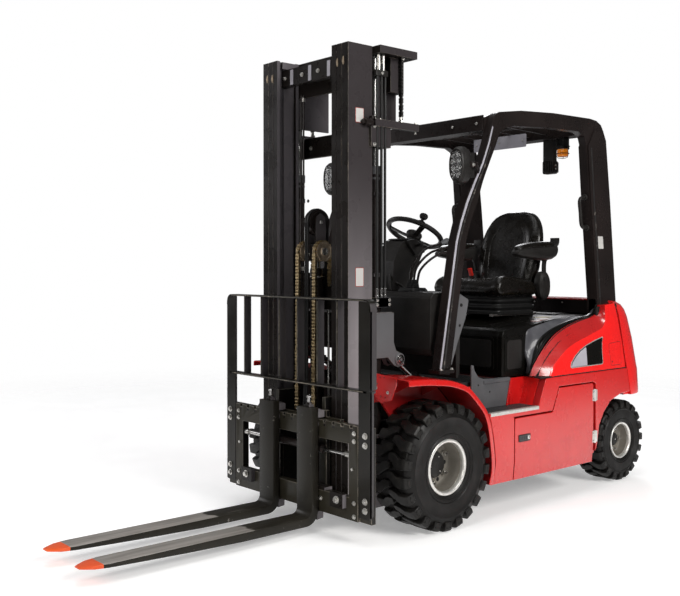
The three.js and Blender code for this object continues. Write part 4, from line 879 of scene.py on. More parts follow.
# ------------------------------------------------------------------ axles
refine("drive_axle", "drive_axle_housing", "chassis", [IRON], bevel=3.0)
fins = []
for k in range(7):
    t = k / 6
    fins.append(ringed((-30, 236 + 165 * t, 303 + 26 * t), (-30, 239 + 165 * t, 303.4 + 26 * t), 82, 88, 40, 0.6))
axle_bits = [(f, 0) for f in fins]
for s in (1, -1):
    for k in range(10):
        a = 2 * math.pi * (k + 0.5) / 10
        axle_bits.append((hexhead((s * 96, 106 * math.sin(a), 298.5 + 106 * math.cos(a)), (s, 0, 0), 7, 5, 9), 1))
axle_bits.append((hexhead((60, 92, 250), (0, 1, 0), 11, 7), 1))
axle_bits.append((lathe([(0, 0), (40, 0), (42, 3), (42, 9), (38, 12), (0, 12)], (0, -1, 0), (0, -116, 298.5), 40), 0))
piece("drive_axle_bolts", "chassis", axle_bits, [IRON, ZINC], bevel=0.6, slot="axle_iron")
refine("steer_axle", "steer_axle_beam", "chassis", [IRON], bevel=3.0)
sa = []
SYc, SZc = 1540.5, 231.6
for s in (1, -1):
    for dy in (-38, 38):
        for dz in (-30, 30):
            sa.append((hexhead((s * 211, SYc + dy * 0.9, SZc + dz), (s, 0, 0), 7, 5, 9), 1))
    sa.append((lathe([(0, 0), (24, 0), (24, 4), (20, 7), (0, 7)], (0, 0, 1), (s * 345, SYc, SZc + 70.5), 32), 0))
    sa.append((hexhead((s * 345, SYc, SZc + 77), (0, 0, 1), 8, 5), 1))
    sa.append((lathe([(0, 0), (24, 0), (24, 4), (20, 7), (0, 7)], (0, 0, -1), (s * 345, SYc, SZc - 70.5), 32), 0))
piece("steer_axle_bolts", "chassis", sa, [IRON, ZINC], bevel=0.6, slot="axle_iron")


# ------------------------------------------------------------------ body
from mathutils.bvhtree import BVHTree


def normals2(pts):
    out = []
    for i in range(len(pts)):
        a, b = pts[max(i - 1, 0)], pts[min(i + 1, len(pts) - 1)]
        d = Vector((b[0] - a[0], b[1] - a[1])).normalized()
        out.append((-d.y, d.x))
    return out


def strips(rings, split, closed=True, caps=True):
    """A loft as one part per group of section edges, so that each group can take its own material."""
    m = len(rings[0])
    v = [tuple(q) for r in rings for q in r]
    groups = {}
    for i in range(len(rings) - 1):
        for j in range(m if closed else m - 1):
            a, b = i * m + j, i * m + (j + 1) % m
            groups.setdefault(split(j), []).append((a, b, b + m, a + m))
    if caps:
        groups.setdefault(split(0), []).append(tuple(range(m))[::-1])
        groups.setdefault(split(0), []).append(tuple(range((len(rings) - 1) * m, len(rings) * m)))
    return [((v, f), k) for k, f in groups.items()]


def tint(o, rule):
    """Gives faces their material number by rule(centre mm in the axle frame, normal)."""
    for p in o.data.polygons:
        c = p.center
        k = rule((c.x / MM, c.y / MM - SHIFT, c.z / MM), p.normal)
        if k is not None:
            p.material_index = k


def creased(o, z, depth, low, side):
    """Cuts flat faces at height z and draws what is below it inwards, more with depth."""
    bm = bmesh.new()
    bm.from_mesh(o.data)
    bmesh.ops.bisect_plane(bm, geom=bm.verts[:] + bm.edges[:] + bm.faces[:], plane_co=(0, 0, z * MM), plane_no=(0, 0, 1), dist=1e-6)
    for v in bm.verts:
        if v.co.z < z * MM - 1e-6 and abs(v.co.x) > 0.570:
            v.co.x -= side * depth * MM * (z * MM - v.co.z) / ((z - low) * MM)
    bm.to_mesh(o.data)
    bm.free()


FENDER = [(-262, 724), (-163, 721), (-60, 712), (40, 697), (147, 660), (195, 622), (240, 580), (280, 535), (306, 480), (325, 400), (336, 330), (341, 278), (336, 220), (318, 165)]
line = spline(FENDER, 22)
nrm = normals2(line)
SEC = [(356.6, 0), (545, 0), (566, 0), (577, 1.5), (583, 5), (585, 10), (585, 27), (583.6, 29), (580.6, 29), (579, 27), (579, 12), (576, 8), (569, 6), (545, 5), (356.6, 5)]
rings = [[(x, y - n[0] * d, z - n[1] * d) for x, d in SEC] for (y, z), n in zip(line, nrm)]
# the section's inner lip and underside take the darker inner red, a painted shade with dust, as do the gussets and the
# inner sheet
fender = strips(rings, lambda j: 0 if j < 9 else 1)
FP = fillet([(352, 738), (502, 727), (500, 690), (470, 622), (400, 602), (352, 640)], 8, 3)
front_sheet = lengthways(FP, -262, -256)
hole_rings, hole_cores, plate_bolts = [], [], []
for x, z in ((372, 722), (398, 722), (424, 722), (380, 690), (402, 634), (432, 634), (366, 655)):
    hole_rings.append(lathe([(3.6, 0), (6.4, 0), (6.2, 1.2), (3.6, 1.2), (3.6, 0)], (0, -1, 0), (x, -262, z), 16))
    hole_cores.append(lathe([(0, 0), (4.0, 0), (4.0, 0.7), (0, 0.7)], (0, -1, 0), (x, -262, z), 14))
for side, label in ((1, "left"), (-1, "right")):
    m = (lambda p: p) if side > 0 else flip
    parts = [(m(p), k) for p, k in fender]
    parts += [(m(front_sheet), 0), (m(box(356.6, 364, -256, -180, 606, 722)), 1)]
    parts += [(m(p), 0) for p in hole_rings] + [(m(p), 2) for p in hole_cores]
    parts += [(m(hexhead((448, -262, 655), (0, -1, 0), 6, 4.5, 8)), 3), (m(hexhead((372, -262, 690 - 20), (0, -1, 0), 6, 4.5, 8)), 3)]
    # stiffening gussets under the sheet, from the wheel well
    for y in (-120, 60):
        k = min(range(len(line)), key=lambda i: abs(line[i][0] - y))
        zt = line[k][1] - 7
        parts.append((m(lengthways([(357, zt), (520, zt), (500, zt - 12), (357, zt - 80)], y - 2.5, y + 2.5)), 1))
    piece(f"fender_{label}_sheet", "chassis", parts, [RED, RED_IN_SHADE_DUST, SEAL, ZINC], bevel=0.8, replaces=f"front_fender_{label}", slot="red_paint", smooth_angle=40)

# the frame, recoloured by place
ch = refine("chassis", "chassis_frame", "chassis", [RED, RED_IN_SHADE_DUST, BLACK, PLASTIC_GREY], bevel=2.0)


def chassis_rule(c, n):
    x, y, z = abs(c[0]), c[1], c[2]
    if y > 1440 or (y > 1190 and x < 495):
        return 2
    if x < 342 and z < 600:
        return 2
    # the frame's front, behind the mast, takes the darker inner red: painted shade, with dust
    if y < 312 or (x < 357 and y < 350):
        return 1
    if z < 200 and x < 500:
        return 2
    if 312 < y < 700 and x < 458 and z > 480:
        return 0
    return 0


tint(ch, chassis_rule)

# body sides and doors
for side, label in ((1, "left"), (-1, "right")):
    m = (lambda p: p) if side > 0 else flip
    s = refine(f"body_side_{label}", f"body_side_{label}_panel", "chassis", [RED, RED_IN_SHADE_DUST], bevel=4.0, seg=3)
    creased(s, 262, 9, 165, side)
    # around the step, faces not turned sideways take the darker inner red: painted shade, with dust
    tint(s, lambda c, n: 1 if (abs(n.x) < 0.5 and 318 < c[1] < 1180 and c[2] < 600 and abs(c[0]) < 583) else 0)
    outline = fillet([(490, 165), (490, 474), (803, 474), (812, 490), (862, 596), (1171, 596), (1171, 165)], [3, 13, 16, 6, 14, 16, 3], 5)
    door = sideways(outline, 574, 585)
    # the door's back plate takes the darker inner red: painted shade, with dust
    back = sideways(fillet([(506, 182), (506, 458), (812, 458), (870, 580), (1152, 580), (1152, 182)], 10, 3), 559, 574)
    d = piece(f"door_{label}_panel", f"door_{label}", [(m(door), 0), (m(back), 1)], [RED, RED_IN_SHADE_DUST], bevel=2.2, seg=3, replaces=f"door_{label}", slot="red_paint")
    creased(d, 262, 9, 165, side)
    lt = []
    plate = sideways(fillet([(516, 352), (611, 352), (611, 388), (516, 388)], 6, 4), 584.5, 587.4)
    recess = sideways(fillet([(521, 357), (592, 357), (592, 383), (521, 383)], 4, 3), 587.2, 588.4)
    lt += [(m(plate), 0), (m(recess), 1), (m(lathe([(0, 0), (11, 0), (11, 2.4), (8, 3.6), (0, 3.6)], (1, 0, 0), (586.5, 598, 370), 28)), 2),
           (m(lathe([(0, 0), (4.5, 0), (4.5, 1.5), (3.6, 2.0), (0, 2.0)], (1, 0, 0), (589.6, 598, 370), 18)), 3)]
    for k in range(4):
        lt.append((m(box(588.2, 589.2, 528 + k * 15, 535 + k * 15, 361, 379)), 0))
    piece(f"door_{label}_latch", f"door_{label}", lt, [PLASTIC, PLASTIC_GREY, SILVER, STEEL], bevel=0.5)
    hg = []
    for z0, z1 in ((269, 337), (496, 562)):
        hg.append((m(sideways(fillet([(1160, z0 + 3), (1178, z0 + 3), (1178, z1 - 3), (1160, z1 - 3)], 3, 3), 585, 587.6)), 0))
        for a, b in ((z0, z0 + 20), (z0 + 21.5, z1 - 21.5), (z1 - 20, z1)):
            hg.append((m(rod((586, 1183, a), (586, 1183, b), 6.4, 20, chamfer=0.7)), 0))
        for z in (z0 + 14, z1 - 14):
            hg.append((m(caphead((587.4, 1168, z), (1, 0, 0), 4, 2.2)), 1))
    piece(f"door_{label}_hinges", f"door_{label}", hg, [SILVER, STEEL], bevel=0.4)
    hb = [(m(sideways(fillet([(1188, z0 + 3), (1206, z0 + 3), (1206, z1 - 3), (1188, z1 - 3)], 3, 3), 585, 587.2)), 0) for z0, z1 in ((269, 337), (496, 562))]
    # step: grip sheet, bright edge, kick trim, riser flange
    hb += [(m(box(441, 570, 314, 690, 515, 517.6)), 1), (m(lengthways([(567, 515.2), (585.4, 515.2), (585.4, 502), (587.6, 502), (587.6, 517.0), (586, 518.8), (567, 518.8)], 300, 682)), 0)]
    for k in range(30):
        hb.append((m(box(567.5, 586, 304 + 12.7 * k, 309 + 12.7 * k, 518.6, 519.8)), 0))
    piece(f"step_{label}_trim", "chassis", hb, [SILVER, GRIP], bevel=0.6)
    trim_o = fillet([(300, 742), (316, 742), (322, 716), (352, 680), (392, 668), (606, 655), (570, 519), (318, 519), (300, 560)], [3, 8, 30, 20, 20, 8, 8, 3, 3], 5)
    tr = [(m(sideways(trim_o, 456, 464)), 0), (m(sideways([(602, 655), (612, 655), (577, 519), (567, 519)], 456, 470)), 1),
          (m(lengthways(fillet([(440, 640), (468, 640), (468, 662), (440, 662)], [0, 6, 8, 0], 4), 392, 600)), 0),
          (m(lathe([(0, 0), (5, 0), (4.4, 2), (0, 2.4)], (1, 0, 0), (464, 352, 640), 16)), 2), (m(lathe([(0, 0), (5, 0), (4.4, 2), (0, 2.4)], (1, 0, 0), (464, 440, 600), 16)), 2)]
    piece(f"kick_trim_{label}", "chassis", tr, [PLASTIC_GREY, RED, PLASTIC], bevel=1.6, seg=3)
refine("floor_plate", "floor_plate_sheet", "chassis", [MATRUB], bevel=2.0)
ribs = [box(-424, 424, 262 + 13.2 * k, 267 + 13.2 * k, 655, 657.2) for k in range(20)]
piece("floor_mat", "chassis", [(rbox(-434, 434, 250, 540, 653, 655.6, 12), 0)] + [(r, 0) for r in ribs] + [(move(r, 0, 0, 0), 0) for r in []], [MATRUB], bevel=0)


# side covers: an outer face with a ridge, and a band that falls from the ridge to the hood
RIDGE = [(795, 661, 566), (821, 701, 565.6), (891, 754, 565), (953, 792, 565), (1025, 820, 565), (1127, 847, 564.6), (1232, 875, 563), (1285, 889, 561), (1318, 916, 558), (1326, 960, 555), (1329, 1016, 551)]
ARC = [(716, 661), (736, 700), (772, 742), (823, 790), (893, 846), (982, 890), (1101, 925), (1225, 947), (1290, 956), (1320, 972), (1327, 992), (1329, 1014)]
EDGE = [(795, 661), (1000, 661), (1250, 661), (1486, 661), (1463, 780), (1438, 905), (1421, 1000), (1411, 1024)]
N = 44
rd = resample(spline(RIDGE, 12), N)
ac = resample(spline([(a, b, 0) for a, b in ARC], 12), N)
ed = resample(EDGE, N)
XB = lambda z: float(np.interp(z, [661, 800, 940, 1028], [584, 580, 568, 557]))
outer = []
for i in range(N):
    row = []
    for j in range(13):
        s = j / 12
        y = rd[i][0] + (ed[i][0] - rd[i][0]) * s
        z = rd[i][1] + (ed[i][1] - rd[i][1]) * s
        xr, xe = rd[i][2], XB(ed[i][1])
        bulge = 5.0 * math.sin(math.pi * min(s, 1.0)) * min(1.0, i / 12)
        row.append((xr + (xe - xr) * (s ** 0.62) + bulge * 0.35, y, z))
    outer.append(row)
BND = []
for i in range(N):
    row = []
    a, r = ac[i], rd[i]
    for j, s in enumerate((0, 0.04, 0.2, 0.4, 0.6, 0.8, 0.94, 1.0)):
        x = 503 + (r[2] - 503) * s + 1.5 * math.sin(math.pi * s)
        row.append((x, a[0] + (r[0] - a[0]) * s, a[1] + (r[1] - a[1]) * s + 1.5 * math.sin(math.pi * s)))
    BND.append(row)
tree = BVHTree.FromPolygons([Vector(p) for p in grid(outer)[0]], grid(outer)[1])


def cover_x(y, z, off=0.0):
    hit = tree.ray_cast(Vector((800, y, z)), Vector((-1, 0, 0)))[0]
    return (hit.x if hit else 575.0) + off


def skin_patch(outline, off, depth, side_m, step=9):
    """A flat-cut patch laid on the cover's face: outline (y, z), standing off it, with a turned-in wall."""
    pts = []
    for i, p in enumerate(outline):
        q = outline[(i + 1) % len(outline)]
        k = max(1, round(math.dist(p, q) / step))
        pts += [(p[0] + (q[0] - p[0]) * t / k, p[1] + (q[1] - p[1]) * t / k) for t in range(k)]
    cy = sum(p[0] for p in pts) / len(pts)
    cz = sum(p[1] for p in pts) / len(pts)
    rings = []
    for s in (1.0, 0.8, 0.55, 0.3, 0.08):
        rings.append([(cover_x(cy + (y - cy) * s, cz + (z - cz) * s, off), cy + (y - cy) * s, cz + (z - cz) * s) for y, z in pts])
    wall = [(x - depth, y, z) for x, y, z in rings[0]]
    return loft([wall] + rings, caps=True)


TRIM = [(955, 690), (975, 722), (1012, 755), (1060, 783), (1120, 806), (1185, 824), (1282, 846), (1268, 812), (1262, 760), (1266, 692)]
for side, label in ((1, "left"), (-1, "right")):
    m = (lambda p: p) if side > 0 else flip
    # the band takes a darker red, a painted shade; the bevelled edges, the ridge among them, take a lighter red, a
    # painted highlight
    sk = piece(f"cover_{label}_skin", "chassis", [(m(grid(outer)), 0), (m(grid(BND)), 1)], [RED_TOP, RED_BAND_SHADE, RED_RIDGE_HIGHLIGHT], bevel=0, replaces=f"side_cover_{label}", slot="red_paint", weld=0.05, smooth_angle=24)
    # normals must face out before the sheet gets its thickness
    bm = bmesh.new(); bm.from_mesh(sk.data)
    bmesh.ops.recalc_face_normals(bm, faces=bm.faces)
    f = max(bm.faces, key=lambda q: abs(q.calc_center_median().x))
    if f.normal.x * side < 0:
        bmesh.ops.reverse_faces(bm, faces=bm.faces)
    bm.to_mesh(sk.data); bm.free()
    sk.data.polygons.foreach_set("use_smooth", [True] * len(sk.data.polygons))
    sk.data.set_sharp_from_angle(angle=math.radians(24))
    md = sk.modifiers.new("thick", "SOLIDIFY"); md.thickness, md.offset = 7 * MM, -1
    # the bevel's faces take material 2, the lighter red: a painted highlight
    md = sk.modifiers.new("edges", "BEVEL"); md.width, md.segments, md.limit_method, md.angle_limit, md.harden_normals, md.material = 1.6 * MM, 3, "ANGLE", math.radians(24), True, 2
    # cover lining, closing the gap to the frame, with dark seams
    lin = [(sideways([(738, 662), (800, 735), (850, 778), (920, 826), (1010, 864), (1125, 896), (1245, 918), (1312, 930), (1330, 950), (1336, 984), (1420, 990), (1428, 975), (1486, 664)], 504, 532), 0)]
    lin += [(sideways([(1330, 990), (1334, 1010), (1418, 1020), (1426, 990)], 503, 550), 1), (sideways([(1414, 1016), (1424, 990), (1442, 905), (1466, 780), (1489, 664), (1512, 664), (1490, 780), (1464, 905), (1446, 1000), (1438, 1022)], 508, 555), 0), (sideways([(1470, 664), (1452, 780), (1430, 905), (1440, 905), (1476, 780), (1502, 664)], 540, 567), 0)]
    lin += [(sideways([(602, 519), (690, 517), (752, 655), (612, 655)], 452, 460), 1), (sideways([(683, 516), (747, 656), (764, 656), (702, 516)], 449, 502), 1), (box(449, 586, 742, 790, 654, 657), 0)]
    lin += [(box(541, 581.5, 700, 1500, 655.4, 661.6), 0)]
    tp = [(q, k) for q, k in lin]
    piece(f"cover_{label}_lining", "chassis", [(m(q), k) for q, k in tp], [SEAL, RED], bevel=1.0)
    o1 = fillet(TRIM, [10, 0, 0, 0, 0, 0, 6, 0, 10, 12], 4)
    cyz = (1150, 755)
    inner = [(cyz[0] + (y - cyz[0]) * 0.955, cyz[1] + (z - cyz[1]) * 0.93) for y, z in o1]
    left_part = [(y, z) for y, z in inner if y < 1108]
    grey = [(968, 696), (984, 720), (1018, 750), (1062, 776), (1100, 791), (1112, 795), (1112, 697)]
    piece(f"cover_{label}_window", "chassis", [(m(skin_patch(o1, 1.4, 4, m)), 0), (m(skin_patch(inner, 2.2, 3, m)), 1), (m(skin_patch(fillet(grey, 3, 3), 3.0, 3, m)), 2)], [SILVER, PLASTIC_GLOSS, PLASTIC_LIGHT], bevel=0, smooth_angle=30)
    fl = fillet([(1345, 681), (1446, 681), (1440, 809), (1330, 801)], [12, 12, 14, 14], 5)
    gap = [(1388 + (y - 1388) * 1.035, 745 + (z - 745) * 1.035) for y, z in fl]
    piece(f"cover_{label}_flap_seam", "chassis", [(m(skin_patch(gap, 0.35, 3, m)), 0)], [SEAL], bevel=0)
    if side > 0:
        piece("charge_flap_panel", "charge_flap", [(skin_patch(fl, 1.2, 5, m), 0), (lathe([(0, 0), (5, 0), (4.4, 1.4), (0, 1.8)], (1, 0, 0), (cover_x(1352, 700, 1.0), 1356, 700), 18), 1)], [RED_TOP, SEAL], bevel=0.8, replaces="charge_flap", slot="red_paint", smooth_angle=30)
    else:
        piece("cover_right_flap", "chassis", [(m(skin_patch(fl, 1.2, 5, m)), 0)], [RED_TOP], bevel=0.8, smooth_angle=30)

# counterweight: a smooth casting
CW = {500: [(0, 1795), (150, 1794), (300, 1788), (448, 1760), (528, 1708), (568, 1642), (583, 1572), (584, 1548)],
      521: [(0, 1797), (150, 1796), (310, 1788), (448, 1760), (528, 1708), (570, 1641), (584, 1570), (585, 1543)],
      640: [(0, 1790), (150, 1789), (308, 1780), (444, 1750), (524, 1700), (567, 1633), (583, 1556), (585, 1513)],
      662: [(0, 1786), (150, 1785), (306, 1776), (442, 1746), (521, 1696), (564, 1629), (581, 1550), (582, 1508)],
      700: [(0, 1780), (150, 1779), (306, 1770), (441, 1738), (519, 1688), (562, 1621), (579, 1542), (580, 1496)],
      820: [(0, 1752), (150, 1750), (304, 1740), (439, 1708), (514, 1659), (556, 1594), (573, 1520), (575, 1473)],
      940: [(0, 1712), (150, 1710), (300, 1700), (436, 1668), (506, 1620), (548, 1558), (564, 1492), (567, 1452)],
      985: [(0, 1694), (150, 1692), (298, 1680), (430, 1646), (500, 1598), (541, 1538), (558, 1478), (561, 1442)],
      1012: [(0, 1672), (150, 1670), (292, 1658), (420, 1626), (488, 1580), (530, 1522), (549, 1468), (552, 1438)],
      1032: [(0, 1648), (150, 1646), (280, 1634), (396, 1604), (462, 1560), (502, 1506), (520, 1460), (524, 1437)],
      1044: [(0, 1618), (150, 1616), (262, 1604), (356, 1580), (416, 1542), (452, 1496), (468, 1456), (472, 1438)]}
rows = []
for z in sorted(CW):
    half = resample(spline([(x, y, 0) for x, y in CW[z]], 20), 30)
    r = [(x, y) for x, y, _ in half]
    full = [(-x, y) for x, y in reversed(r)] + r[1:]
    fy = min(1438 + max(0, (700 - z)) * 0.33, full[0][1] - 3)
    rows.append([(x, y, z) for x, y in full] + [(full[-1][0] - 22, full[-1][1] - 1, z), (full[-1][0] - 22, fy, z), (full[0][0] + 22, fy, z), (full[0][0] + 22, full[0][1] - 1, z)])
cwp = loft(rows)
jaw = join_parts(box(-108, 108, 1446, 1780, 330, 506), upright(fillet([(-90, 1700), (90, 1700), (90, 1780), (-90, 1780)], 12, 4), 225, 332))
cwo = piece("counterweight_casting", "chassis", [(cwp, 0), (jaw, 0)], [RED_TOP, RED_IN_SHADE_DUST, BLACK], bevel=3.0, seg=3, replaces="counterweight", slot="red_paint", smooth_angle=40, angle=34)
# low down and round the tow jaw the casting is black; its front face, turned to the battery, takes the darker inner
# red: painted shade, with dust
tint(cwo, lambda c, n: 2 if (c[2] < 505 and (abs(c[0]) < 110)) or (c[2] < 499) else (1 if (n.y < -0.9 and abs(c[0]) < 500) else 0))
# rear fittings: lamps and tow pin
rear = []
for s in (1, -1):
    mm = (lambda p: p) if s > 0 else flip
    for zc, k in ((868, 1), (824, 2), (790, 3)):
        c = Vector((438 + (868 - zc) * 0.02, 1688 + (868 - zc) * 0.30, zc))
        d = Vector((0.52, 0.83, 0.18)).normalized()
        h = 21 if k == 1 else 14
        u = Vector((0, 0, 1)); w = d.cross(u).normalized(); u = w.cross(d)
        o = fillet([(-46, -h), (46, -h), (46, h), (-46, h)], 7, 4)
        rear.append((mm(loft([[tuple(c + w * a + u * b + d * q) for a, b in o] for q in (-6, 8)])), 0))
        o2 = fillet([(-42, -h + 4), (42, -h + 4), (42, h - 4), (-42, h - 4)], 5, 4)
        rear.append((mm(loft([[tuple(c + w * a + u * b + d * q) for a, b in o2] for q in (6, 12)])), k))
rear += [(rod((0, 1740, 196), (0, 1740, 352), 12.5, 24, chamfer=2), 4), (rod((-26, 1740, 358), (26, 1740, 358), 6, 16, chamfer=1), 4), (rod((0, 1740, 350), (0, 1740, 362), 15, 20, chamfer=1.5), 4)]
piece("rear_lamps_and_pin", "chassis", rear, [PLASTIC, LENS_RED, AMBER, LENS, ZINC], bevel=1.0)
refine("battery_pack", "battery_box", "chassis", [GREY], bevel=4.0)

# red fillers behind the body sides, closing the wedge in front of the counterweight
for side, label in ((1, "left"), (-1, "right")):
    m = (lambda p: p) if side > 0 else flip
    piece(f"rear_filler_{label}", "chassis", [(m(sideways([(1494, 653), (1526, 521), (1584, 521), (1560, 653)], 540, 579.5)), 0)], [RED], bevel=1.2)

piece("rear_bulkhead", "chassis", [(lengthways(fillet([(-462, 900), (462, 900), (462, 1012), (440, 1036), (-440, 1036), (-462, 1012)], [0, 0, 8, 14, 14, 8], 4), 1433.5, 1437), 0)] +
      [(caphead((x, 1433.5, 1018), (0, -1, 0), 6, 4), 1) for x in (-400, -200, 0, 200, 400)], [BLACK, ZINC], bevel=1.0)


# ------------------------------------------------------------------ overhead guard and lamps
GO = [(27, 722.5), (147, 1360), (180, 1455), (223, 1555), (280, 1655), (338, 1745), (385, 1850), (415, 1935), (440, 1985), (470, 2006), (652, 2032), (928, 2049), (1268, 2054), (1330, 2048), (1375, 2028), (1400, 1995), (1412, 1940), (1456, 1600), (1516, 1046), (1530, 874)]
GI = [(1330, 874), (1330, 1046), (1265, 1600), (1232, 1900), (1212, 1950), (1160, 1972), (900, 1968), (600, 1948), (520, 1930), (480, 1900), (450, 1840), (399, 1745), (350, 1650), (312, 1555), (262, 1455), (227, 1360), (110, 712)]
smooth_o = spline([(147, 1360), (180, 1455), (223, 1555), (280, 1655), (338, 1745), (385, 1850), (415, 1935), (440, 1985), (470, 2006)], 22)
smooth_i = spline([(520, 1930), (480, 1900), (450, 1840), (399, 1745), (350, 1650), (312, 1555), (262, 1455), (227, 1360)], 22)
outline = [(27, 722.5)] + smooth_o + [(652, 2032), (928, 2049), (1268, 2054), (1330, 2048), (1375, 2028), (1400, 1995), (1412, 1940), (1456, 1600), (1516, 1046), (1530, 874)] + GI[:8] + smooth_i + [(110, 712)]
cpill = [(1330, 874), (1330, 1046), (1272, 1560), (1240, 1900), (1300, 1990), (1385, 1990), (1412, 1940), (1456, 1600), (1516, 1046), (1530, 874)]
roof = [(430, 1965), (440, 1995), (652, 2026), (928, 2043), (1268, 2048), (1340, 2030), (1330, 1990), (900, 2002), (600, 1985)]
gp = []
for s in (1, -1):
    m = (lambda p: p) if s > 0 else flip
    gp.append((m(sideways(outline, 448, 492)), 0))
    gp.append((m(sideways(cpill, 436, 502)), 0))
    # rolled grooves along the pillar faces, and a light band on the A pillar's outer face: a painted reflection
    a_pillar_painted_reflection = [(34, 726), (150, 1352), (184, 1450), (228, 1550), (286, 1652), (344, 1744), (390, 1846), (420, 1930), (428, 1926), (398, 1838), (352, 1736), (296, 1644), (240, 1542), (196, 1444), (163, 1350), (46, 724)]
    gp.append((m(sideways(a_pillar_painted_reflection, 491, 493.2)), 1))
    gp.append((m(sideways([(60, 728), (172, 1350), (206, 1440), (248, 1536), (304, 1636), (360, 1730), (404, 1828), (410, 1825), (367, 1726), (312, 1632), (256, 1532), (214, 1436), (180, 1348), (70, 727)], 491, 492.8)), 2))
    gp.append((m(sideways([(1352, 890), (1352, 1046), (1290, 1600), (1262, 1890), (1272, 1892), (1302, 1600), (1366, 1046), (1366, 890)], 501, 503)), 2))
    gp.append((m(sideways([(1372, 1046), (1312, 1600), (1288, 1880), (1392, 1880), (1436, 1600), (1496, 1046)], 501, 502.6)), 3))
    for k in range(6):
        z = 900 + 0 * k
    gp.append((m(rbox(432, 508, 22, 128, 722.5, 739, 6)), 0))
    for dy in (38, 112):
        gp.append((m(hexhead((500, dy, 739), (0, 0, 1), 7.5, 6, 10)), 4))
gp.append((lengthways(fillet([(-450, 1912), (450, 1912), (450, 1990), (-450, 1990)], 4, 3), 402, 406), 0))
gp.append((sideways([(392, 1912), (400, 1975), (470, 2002), (480, 1925), (440, 1905)], -450, 450), 0))
gp.append((sideways([(1290, 1975), (1290, 2040), (1375, 2020), (1392, 1975)], -450, 450), 0))
guard = piece("guard_frame", "chassis", gp, [BLACK, PLASTIC_LIGHT, BLACK_EDGE, BLACK, ZINC], bevel=4.0, seg=3, replaces="overhead_guard", slot="guard_black", smooth_angle=40, angle=34)
rb = []
for x in (-340, -204, -68, 68, 204, 340):
    top = [(430, 1965), (440, 1994)] + [(y, z) for y, z, _ in spline([(652, 2026, 0), (928, 2043, 0), (1268, 2047, 0)], 90)] + [(1340, 2030), (1330, 1990), (900, 2002), (600, 1985)]
    rb.append((sideways(top, x - 7, x + 7), 0))
piece("guard_roof_bars", "chassis", rb, [BLACK], bevel=2.2, seg=2)
xb = [(rod((-446, 700, 2004), (446, 700, 2004), 9, 16), 0), (rod((-446, 1000, 2012), (446, 1000, 2012), 9, 16), 0)]
# plate under the roof, with screws
xb += [(rbox(-200, 184, 1098, 1102, 1915, 1990, 7, "y"), 1)]
for x in (-178, -8, 160):
    xb.append((caphead((x, 1098, 1953), (0, -1, 0), 6, 4), 2))
# bolts and small blank labels of the front beam
for x in (-410, -250, 250, 410):
    xb.append((hexhead((x, 401, 1948), (0, -1, 0.1), 8, 6, 11), 2))
xb.append((lengthways(fillet([(96, 1930), (180, 1930), (180, 1966), (96, 1966)], 3, 3), 399.5, 402), 3))
for s in (1, -1):
    m = (lambda p: p) if s > 0 else flip
    # gusset plate behind the A pillar
    gus = fillet([(230, 1105), (318, 1066), (294, 975), (238, 862), (190, 746), (150, 800), (190, 1000)], [10, 12, 26, 20, 4, 2, 2], 4)
    xb.append((m(sideways(gus, 424, 430)), 4))
    xb.append((m(lathe([(0, 0), (9, 0), (8, 3), (0, 3.4)], (1, 0, 0), (430, 262, 1040), 20)), 5))
    xb.append((m(lathe([(0, 0), (7, 0), (6, 3), (0, 3.4)], (1, 0, 0), (430, 250, 940), 20)), 5))
    xb.append((m(hose([(464, 1290, 1446), (464, 1262, 1447), (464, 1240, 1452), (464, 1228, 1470), (464, 1220, 1532), (464, 1212, 1592), (464, 1222, 1610), (464, 1244, 1616), (464, 1276, 1617)], 10, 14, 9)), 5))
    for y, z in ((1280, 1446), (1262, 1617)):
        xb.append((m(rod((464, y - 10, z), (464, y + 6, z), 18, 24, chamfer=2)), 5))
    # cable along the A pillar with clips
    xb.append((m(hose([(446, 128, 790), (444, 180, 1080), (444, 236, 1352), (444, 322, 1552), (444, 410, 1744), (444, 460, 1838)], 4.5, 8, 40)), 5))
    for y, z in ((150, 880), (208, 1200), (282, 1462), (366, 1650)):
        xb.append((m(rbox(436, 449, y - 9 + 4, y + 9 + 4, z - 6, z + 6, 3, "x", 3)), 2))
    # blank labels on the C pillar
    xb.append((m(sideways(fillet([(1340, 1330), (1388, 1330), (1380, 1400), (1332, 1400)], 4, 3), 502, 504)), 3))
piece("guard_details", "chassis", xb, [BLACK, PLASTIC_LIGHT, ZINC, LABEL, GREY, PLASTIC], bevel=0.8)


